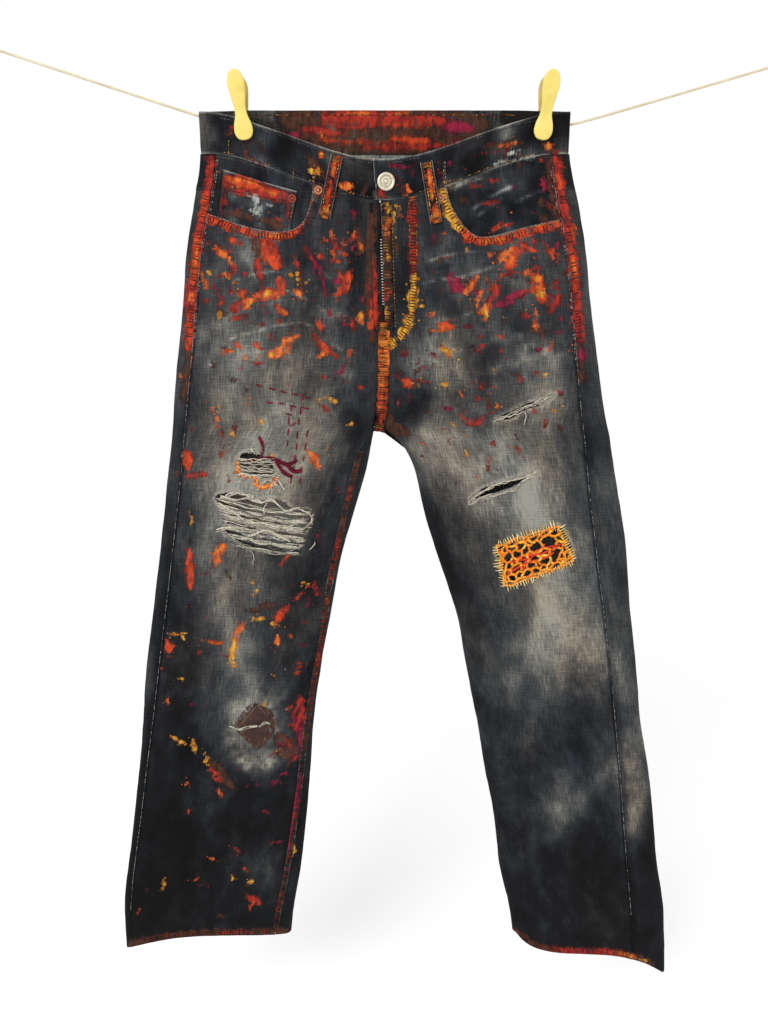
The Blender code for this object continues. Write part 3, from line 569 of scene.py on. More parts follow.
def stretched(tree, place, scale):
    return put(tree, "ShaderNodeMapping", {"Vector": place, "Scale": scale}).outputs[0]


def noise(tree, place, scale, detail=2.0, roughness=0.5):
    return put(tree, "ShaderNodeTexNoise",
               {"Vector": place, "Scale": scale, "Detail": detail,
                "Roughness": roughness}).outputs[0]


def flat_place(tree):
    """The cloth's own flat place in metres, from its UV map."""
    return put(tree, "ShaderNodeTexCoord").outputs["UV"]


def own_place(tree):
    return put(tree, "ShaderNodeTexCoord").outputs["Object"]


def new_group(name, inputs, outputs):
    """A shader node group with named sockets, each a float or a colour."""
    tree = bpy.data.node_groups.new(name, "ShaderNodeTree")
    kinds = {"value": "NodeSocketFloat", "colour": "NodeSocketColor",
             "vector": "NodeSocketVector"}
    for socket, kind, default in inputs:
        made = tree.interface.new_socket(socket, in_out="INPUT", socket_type=kinds[kind])
        if default is not None:
            made.default_value = default
    for socket, kind in outputs:
        tree.interface.new_socket(socket, in_out="OUTPUT", socket_type=kinds[kind])
    entry = tree.nodes.new("NodeGroupInput")
    leave = tree.nodes.new("NodeGroupOutput")
    return tree, entry.outputs, leave.inputs


def use_group(tree, group, inputs=None):
    made = tree.nodes.new("ShaderNodeGroup")
    made.node_tree = group
    feed(tree, made, inputs)
    return made.outputs


def new_finish(name, roughness=0.8, metallic=0.0, **constants):
    """A material with a Principled shader whose constant values are on its own sockets."""
    finish = bpy.data.materials.new(name)
    finish.use_nodes = True
    shader = finish.node_tree.nodes["Principled BSDF"]
    shader.inputs["Roughness"].default_value = roughness
    shader.inputs["Metallic"].default_value = metallic
    for socket, value in constants.items():
        shader.inputs[socket.replace("_", " ")].default_value = value
    return finish, finish.node_tree, shader.inputs


def set_bump(tree, sockets, height, strength, distance):
    bump = put(tree, "ShaderNodeBump",
               {"Height": height, "Strength": strength, "Distance": distance})
    tree.links.new(bump.outputs["Normal"], sockets["Normal"])


# ---- shared effects ------------------------------------------------------------------------
def twill_weave():
    """Denim's diagonal twill with slubby warp and weft threads."""
    tree, _, result = new_group(
        "twill_weave", [], [("Height", "value"), ("Thread", "value")])
    place = flat_place(tree)
    warp = noise(tree, stretched(tree, place, (1, 0.075, 1)), 900, 2)
    weft = noise(tree, stretched(tree, place, (0.08, 1, 1)), 800, 2)
    fine = noise(tree, place, 1400, 1)
    diagonal = put(tree, "ShaderNodeTexWave",
                   {"Vector": stretched(tree, place, (1, 0.8, 1)), "Scale": 330,
                    "Distortion": 0.6, "Detail": 1.0, "Detail Scale": 0.2},
                   wave_type="BANDS", bands_direction="DIAGONAL").outputs["Fac"]
    thread = arith(tree, "ADD", arith(tree, "MULTIPLY", warp, 0.5),
                   arith(tree, "MULTIPLY", weft, 0.3))
    thread = arith(tree, "ADD", thread, arith(tree, "MULTIPLY", fine, 0.2))
    height = arith(tree, "ADD", arith(tree, "MULTIPLY", diagonal, 0.35), thread)
    tree.links.new(height, result["Height"])
    tree.links.new(thread, result["Thread"])
    return tree


def paint_edge():
    """Turns a stroke's depth field into paint that catches on the raised threads."""
    tree, given, result = new_group(
        "paint_edge", [("Field", "value", 0.0), ("Thread", "value", 0.5),
                       ("Ragged", "value", 2.2), ("Dryness", "value", 1.0)],
        [("Mask", "value")])
    place = flat_place(tree)
    coarse = arith(tree, "SUBTRACT", noise(tree, place, 170, 3, 0.62), 0.5)
    broken = arith(tree, "SUBTRACT", given["Thread"], 0.5)
    broad = arith(tree, "SUBTRACT", noise(tree, place, 75, 2, 0.5), 0.5)
    coarse = arith(tree, "ADD", arith(tree, "MULTIPLY", coarse, 5.0),
                   arith(tree, "MULTIPLY", broad, 4.0))
    field = arith(tree, "ADD", given["Field"],
                  arith(tree, "MULTIPLY", coarse, given["Ragged"]))
    field = arith(tree, "ADD", field,
                  arith(tree, "MULTIPLY", arith(tree, "MULTIPLY", broken, 9.0),
                        given["Dryness"]))
    tree.links.new(between(tree, field, -0.6, 1.3), result["Mask"])
    return tree


TWILL = twill_weave()
PAINT_EDGE = paint_edge()


# ---- paints --------------------------------------------------------------------------------
def linear(code):
    """A colour given as six hex digits, as the linear values that a shader takes."""
    parts = [int(code[i:i + 2], 16) / 255 for i in (0, 2, 4)]
    return tuple(p / 12.92 if p <= 0.04045 else ((p + 0.055) / 1.055) ** 2.4 for p in parts)


PAINTS = {
    "brown": (linear("4a2c1f"), linear("291a16"), 1.3),
    "crimson": (linear("861a36"), linear("44121e"), 1.1),
    "red": (linear("9c2a20"), linear("4c1815"), 1.1),
    "red_orange": (linear("b8401f"), linear("682016"), 1.0),
    "orange": (linear("cf6a2a"), linear("8a3618"), 1.0),
    "yellow": (linear("d8a63a"), linear("965e1e"), 0.9),
    "pale": (linear("b0afa4"), linear("7d817d"), 0.9),
}


def denim_finish(name, stops, fields="paint", fade_name="fade", cloudy=0.5):
    """Faded twill under paint: the fade and each paint's field come from the piece."""
    finish, tree, sockets = new_finish(name, 0.9, Specular_IOR_Level=0.12)
    weave = use_group(tree, TWILL)
    place = flat_place(tree)
    smeared = stretched(tree, place, (1, 0.5, 1))
    clouds = arith(tree, "SUBTRACT", noise(tree, smeared, 24, 5, 0.6), 0.5)
    blots = between(tree, noise(tree, smeared, 48, 3, 0.55), 0.36, 0.66, -0.05, 0.05)
    fade = arith(tree, "ADD", vertex_value(tree, fade_name),
                 arith(tree, "MULTIPLY", clouds, cloudy))
    fade = arith(tree, "ADD", fade, blots)
    threads = arith(tree, "MULTIPLY", arith(tree, "SUBTRACT", weave["Thread"], 0.5), 0.95)
    threads = arith(tree, "MULTIPLY", threads, between(tree, fade, 0.0, 0.8, 0.5, 1.3))
    fade = arith(tree, "ADD", fade, threads, clamp=True)
    colour = colour_ramp(tree, fade, stops)
    hue = noise(tree, smeared, 11, 2, 0.5)
    colour = blend_colours(tree, between(tree, hue, 0.52, 0.72), colour,
                           (0.94, 0.99, 1.06, 1), "MULTIPLY")
    colour = blend_colours(tree, between(tree, hue, 0.32, 0.54, 1, 0), colour,
                           (1.10, 1.0, 0.90, 1), "MULTIPLY")
    dots = put(tree, "ShaderNodeTexVoronoi", {"Vector": place, "Scale": 200}).outputs
    size = between(tree, dots["Color"], 0.45, 0.8, 0.0, 0.24)
    spatter = between(tree, arith(tree, "SUBTRACT", size, dots["Distance"]), 0.0, 0.04)
    for paint, (bright, deep, dryness) in PAINTS.items():
        depth_in = vertex_value(tree, f"{fields}_{paint}")
        mask = use_group(tree, PAINT_EDGE, {
            "Field": depth_in, "Thread": weave["Thread"], "Dryness": dryness})["Mask"]
        worn = between(tree, noise(tree, smeared, 190, 4, 0.6), 0.34, 0.52, 0.2, 0.95)
        mask = arith(tree, "MULTIPLY", mask, worn)
        if paint not in ("brown", "pale"):
            near = between(tree, depth_in, -6.0, -5.0, 0.0, 0.9)
            mask = arith(tree, "MAXIMUM", mask, arith(tree, "MULTIPLY", spatter, near))
        core = arith(tree, "ADD", between(tree, depth_in, 0.0, 3.5, 0.05, 0.7),
                     between(tree, noise(tree, smeared, 130, 4, 0.65), 0.34, 0.66, -0.5, 0.6),
                     clamp=True)
        tint = blend_colours(tree, core, (*deep, 1), (*bright, 1))
        colour = blend_colours(tree, mask, colour, tint)
    tree.links.new(colour, sockets["Base Color"])
    set_bump(tree, sockets, weave["Height"], 0.6, 0.0006)
    return finish


DENIM_STOPS = ((0.0, linear("060607")), (0.2, linear("121316")), (0.4, linear("25272a")),
               (0.6, linear("3e3f3f")), (0.8, linear("605f59")), (1.0, linear("88867c")))
INSIDE_STOPS = ((0.0, linear("171413")), (0.4, linear("6a6b66")), (1.0, linear("b9b6a8")))


# ---- camera, line, floor and light ---------------------------------------------------------
LINE_RADIUS = 1.3 * MM
LINE_ROUTE = (
    (-402, 0, 79.7), (-330, -0.6, 57.5), (-250, -1.4, 32.9), (-192, -2.0, 15.3),
    (-158, -2.4, 5.6), (-138, -2.4, 1.6), (-122, -1.0, 0.7), (-104, 0, 0.4), (-50, 0, 0.1),
    (0, 0, 0.0), (60, 0, 0.1), (104, 0, 0.3), (132, -0.8, 0.6), (158, -2.6, 1.4),
    (178, -2.4, 4.0), (205, -2.0, 9.6), (270, -1.2, 27.0), (335, -0.6, 44.8), (402, 0, 63.2),
)


def make_camera():
    data = bpy.data.cameras.new("camera")
    data.sensor_width = 36
    data.lens = 27.42
    camera = bpy.data.objects.new("camera", data)
    camera.location = (0, -0.870, -0.169)
    camera.rotation_euler = (math.radians(75), 0, 0)
    bpy.context.scene.collection.objects.link(camera)
    bpy.context.scene.camera = camera


def tube_frames(route):
    """For each point of a route, two directions square to it."""
    way = np.gradient(route, axis=0)
    way /= np.linalg.norm(way, axis=1, keepdims=True)
    aside = np.cross(way, np.broadcast_to((0.0, 0.0, 1.0), way.shape))
    aside /= np.linalg.norm(aside, axis=1, keepdims=True)
    return aside, np.cross(aside, way)


def line_finish():
    finish, tree, sockets = new_finish("line_cord", 0.85, Sheen_Weight=0.3)
    fibres = noise(tree, stretched(tree, flat_place(tree), (1, 0.2, 1)), 2600, 3)
    patches = noise(tree, own_place(tree), 60, 2)
    colour = colour_ramp(tree, arith(tree, "ADD", arith(tree, "MULTIPLY", fibres, 0.7),
                                     arith(tree, "MULTIPLY", patches, 0.3)),
                         ((0.25, linear("8f8468")), (0.5, linear("c4b897")),
                          (0.75, linear("e8dfc4"))))
    tree.links.new(colour, sockets["Base Color"])
    set_bump(tree, sockets, fibres, 0.5, 0.0004)
    return finish


def make_line():
    """A cord of three strands laid up together, pulled almost straight between its eyes."""
    route = smooth_ring(LINE_ROUTE, 1.3, closed=False) * MM
    steps = np.linalg.norm(np.diff(route, axis=0), axis=1)
    travelled = np.concatenate([[0], np.cumsum(steps)])
    aside, up = tube_frames(route)
    sides = 15
    turn = np.arange(sides + 1) / sides * 2 * math.pi
    strand_lay = 9 * MM
    strands = np.abs(np.cos(1.5 * (turn[None] - 2 * math.pi * travelled[:, None] / strand_lay)))
    radius = LINE_RADIUS * (0.80 + 0.20 * strands)
    points = (route[:, None] + aside[:, None] * (radius * np.cos(turn))[..., None]
              + up[:, None] * (radius * np.sin(turn))[..., None])
    line = grid_object("clothesline_cord", points)
    set_flat_map(line, travelled[:, None] * np.ones(sides + 1), turn * LINE_RADIUS
                 * np.ones((len(route), 1)))
    weld(line)
    shade_smooth(line)
    finish = line_finish()
    finish_piece(line, ["clothesline"], [finish])
    for side in ("right", "left"):
        dress_node(f"line_loop_{side}", finish)


def weld(made, close_ends=True, distance=1e-6):
    """Merges doubled vertices, closes open ends and turns every face outward."""
    form = bmesh.new()
    form.from_mesh(made.data)
    bmesh.ops.remove_doubles(form, verts=form.verts, dist=distance)
    if close_ends:
        edges = [edge for edge in form.edges if edge.is_boundary]
        bmesh.ops.holes_fill(form, edges=edges, sides=0)
    bmesh.ops.recalc_face_normals(form, faces=form.faces)
    form.to_mesh(made.data)
    form.free()


def dress_node(name, finish):
    """Gives a solid that stays visible a better material."""
    node = bpy.data.objects[name]
    node.data.materials.clear()
    node.data.materials.append(finish)


def make_floor():
    """A pale round floor whose rim fades out into the light behind it."""
    deselect_all()
    bpy.ops.mesh.primitive_circle_add(vertices=96, radius=2.6, fill_type="NGON",
                                      location=(0, 0, -1.19))
    floor = bpy.context.object
    floor.name = "floor"
    finish, tree, sockets = new_finish("floor_paint", 0.9)
    sockets["Base Color"].default_value = (0.92, 0.92, 0.92, 1)
    away = put(tree, "ShaderNodeVectorMath", {0: own_place(tree)}, operation="LENGTH")
    alpha = between(tree, away.outputs["Value"], 0.7, 2.2, 1.0, 0.0)
    tree.links.new(alpha, sockets["Alpha"])
    floor.data.materials.append(finish)


def make_light():
    world = bpy.data.worlds.new("studio")
    world.use_nodes = True
    background = world.node_tree.nodes["Background"]
    background.inputs["Color"].default_value = (1, 1, 1, 1)
    background.inputs["Strength"].default_value = 1.0
    bpy.context.scene.world = world
    for name, place, size, power in (("key", (-1.3, -2.0, 1.3), 1.4, 42),
                                     ("fill", (1.8, -1.6, 0.2), 2.0, 10)):
        data = bpy.data.lights.new(name, "AREA")
        data.size = size
        data.energy = power
        lamp = bpy.data.objects.new(name, data)
        lamp.location = place
        aim = Vector((0, 0, -0.5)) - Vector(place)
        lamp.rotation_euler = aim.to_track_quat("-Z", "Y").to_euler()
        bpy.context.scene.collection.objects.link(lamp)
    bpy.context.scene.view_settings.view_transform = "Standard"


make_camera()
make_line()
make_floor()
make_light()


# ---- the trouser fronts --------------------------------------------------------------------
FRONT_CELL = 2.3 * MM
BACK_CELL = 4.4 * MM
NAMES = {-1: "right", 1: "left"}
POCKET_MOUTH = {
    -1: ((-70, -20), (-71, -45), (-72, -62), (-77, -81), (-86, -94), (-102, -99),
         (-122, -98), (-145, -93), (-165, -86), (-215, -70)),
    1: ((60, -20), (61, -48), (65, -70), (73, -84), (83, -97), (94, -104), (108, -104),
        (128, -99), (152, -93), (215, -80)),
}
# Soft ridges (above 0) and troughs on each face, over and above the garment's own folds: x,
# height, length, width, lean and depth.
FRONT_CREASES = (
    (-150, -135, 90, 6, 80, 0.9), (-140, -152, 110, 7, 76, -0.8),
    (-105, -178, 120, 7, 78, 0.9), (-120, -205, 100, 8, 70, 0.8),
    (-80, -215, 90, 7, 60, -0.8), (-60, -195, 80, 7, 35, 0.8),
    (-52, -235, 90, 8, 52, 0.9), (-70, -262, 80, 8, 64, -0.7),
    (-95, -300, 110, 14, 72, 0.9), (-40, -290, 60, 9, 40, 0.9),
    (65, -140, 90, 6, -80, 0.9), (75, -166, 120, 7, -77, -0.9),
    (95, -172, 110, 7, -72, 0.9), (90, -205, 110, 8, -66, 0.8),
    (60, -215, 80, 7, -50, -0.8), (35, -250, 90, 8, -38, 0.9),
    (50, -280, 90, 9, -52, 0.8), (120, -240, 120, 12, -60, -0.8),
    (-30, -330, 90, 10, 30, -1.0), (-70, -350, 130, 16, 55, 0.9),
    (45, -345, 100, 12, -30, -1.0), (80, -330, 120, 14, -50, 0.9),
    (-190, -330, 130, 14, 20, -0.9), (-205, -470, 150, 15, -8, 1.0),
    (-120, -480, 90, 12, 70, 0.8), (-100, -520, 100, 14, 62, -0.9),
    (-215, -560, 120, 12, 10, -0.8), (-160, -600, 170, 18, -15, 0.9),
    (-120, -700, 150, 16, -10, 0.9), (-190, -740, 90, 12, 60, -0.7),
    (-250, -690, 150, 16, -6, 0.9), (-285, -830, 170, 14, -6, -0.9),
    (-230, -880, 120, 15, -14, 0.8), (-170, -860, 150, 16, -6, 0.9),
    (100, -440, 110, 12, -64, 0.8), (95, -500, 130, 14, 18, -0.9),
    (230, -480, 160, 15, 12, 0.9), (150, -560, 120, 14, 30, 0.8),
    (125, -640, 150, 14, 16, -0.9), (240, -620, 160, 16, 10, -0.8),
    (190, -720, 170, 17, 14, 0.9), (280, -760, 170, 15, 10, 0.9),
    (160, -800, 130, 13, 14, -0.9), (220, -880, 140, 16, 12, 0.9),
    (310, -900, 150, 14, 9, -0.9),
)
BACK_CREASES = (
    (-110, -265, 120, 12, 70, 1.2), (-90, -300, 130, 13, 60, -1.1),
    (110, -262, 120, 12, -70, 1.2), (90, -298, 130, 13, -60, -1.1),
    (-60, -340, 110, 12, 40, 1.1), (60, -345, 110, 12, -40, 1.1),
    (-150, -440, 90, 11, 80, 1.0), (-140, -470, 110, 11, 74, -1.1),
    (-155, -495, 100, 12, 82, 1.0), (140, -450, 100, 12, -80, 1.0),
    (150, -482, 110, 12, -76, -1.1), (-200, -640, 160, 16, -10, 1.0),
    (-240, -800, 170, 16, -8, -1.0), (-170, -860, 140, 15, -6, 1.0),
    (210, -640, 160, 16, 12, 1.0), (250, -800, 170, 16, 10, -1.0),
    (300, -900, 140, 15, 8, 1.0), (180, -900, 140, 15, 12, 1.0),
)


def seam_puckers(u, half_width, z, seed):
    """Ripples along both long seams, as washing draws them up."""
    lift = 0
    for way in (-1, 1):
        away = np.abs(u - way * half_width) / (7 * MM)
        beat = lattice_noise(z, z * 0, 7 * MM, seed + way)
        lift = lift + 0.45 * MM * beat * np.exp(-away ** 2)
    return lift


def sheet_lift(table, points, u, seed):
    """How far the worn cloth stands off its plain form at each point."""
    x, z = points[..., 0], points[..., 2]
    half_width = np.abs(u).max(axis=1, keepdims=True)
    lift = soft_ridges(table, x, z)
    lift = lift + 0.9 * MM * layered_noise(u, z, 60 * MM, seed)
    lift = lift + 0.28 * MM * layered_noise(u, z, 13 * MM, seed + 9, 2)
    return lift + seam_puckers(u, half_width, z, seed + 20)


def path_distance(path, x, z):
    """Distance of each place from an open path given in millimetres."""
    nearest = np.full(x.shape, 1e9)
    path = np.asarray(path, float) * MM
    for (ax, az), (bx, bz) in zip(path, path[1:]):
        dx, dz = bx - ax, bz - az
        share = np.clip(((x - ax) * dx + (z - az) * dz) / (dx * dx + dz * dz + 1e-12), 0, 1)
        nearest = np.minimum(nearest, np.hypot(x - ax - share * dx, z - az - share * dz))
    return nearest


def outward_normals(points, face):
    normal = grid_normals(points)
    middle = points.shape[1] // 2
    way = np.sign((normal[:, middle, 1] * -face).sum())
    return normal * way


def shift(values, row, column):
    """The neighbour's values, with the border repeated."""
    rolled = np.roll(values, (-row, -column), (0, 1))
    if row == 1:
        rolled[-1] = values[-1]
    if row == -1:
        rolled[0] = values[0]
    if column == 1:
        rolled[:, -1] = values[:, -1]
    if column == -1:
        rolled[:, 0] = values[:, 0]
    return rolled


def open_holes(points, inside):
    """Draws the grid to the edges of the holes and says which faces are left."""
    hole = inside > 0
    best = np.full(inside.shape, 2.0)
    moved = points.copy()
    for row in (-1, 0, 1):
        for column in (-1, 0, 1):
            outside = shift(inside, row, column)
            crossing = hole & (outside <= 0)
            share = np.where(crossing, inside / np.maximum(inside - outside, 1e-9), 2.0)
            nearer = share < best
            best = np.where(nearer, share, best)
            target = points + (shift(points, row, column) - points) * share[..., None]
            moved = np.where(nearer[..., None], target, moved)
    deep = hole & (best > 1)
    corners = (slice(None, -1), slice(1, None))
    any_deep = sum(deep[a, b] for a in corners for b in corners) > 0
    all_hole = sum(hole[a, b].astype(int) for a in corners for b in corners) == 4
    return moved, ~(any_deep | all_hole)


def drop_faces(made, kept):
    """Deletes a grid's faces where kept is false, and the vertices left on their own."""
    form = bmesh.new()
    form.from_mesh(made.data)
    form.faces.ensure_lookup_table()
    gone = [form.faces[i] for i in np.nonzero(~kept.reshape(-1))[0]]
    bmesh.ops.delete(form, geom=gone, context="FACES")
    loose = [vert for vert in form.verts if not vert.link_faces]
    bmesh.ops.delete(form, geom=loose, context="VERTS")
    form.to_mesh(made.data)
    form.free()


# ---- paint, wear and holes -----------------------------------------------------------------
def by_paint(table):
    """One row a stroke, paint first, from a table kept paint by paint."""
    return tuple((paint, *row) for paint, rows in table.items() for row in rows)


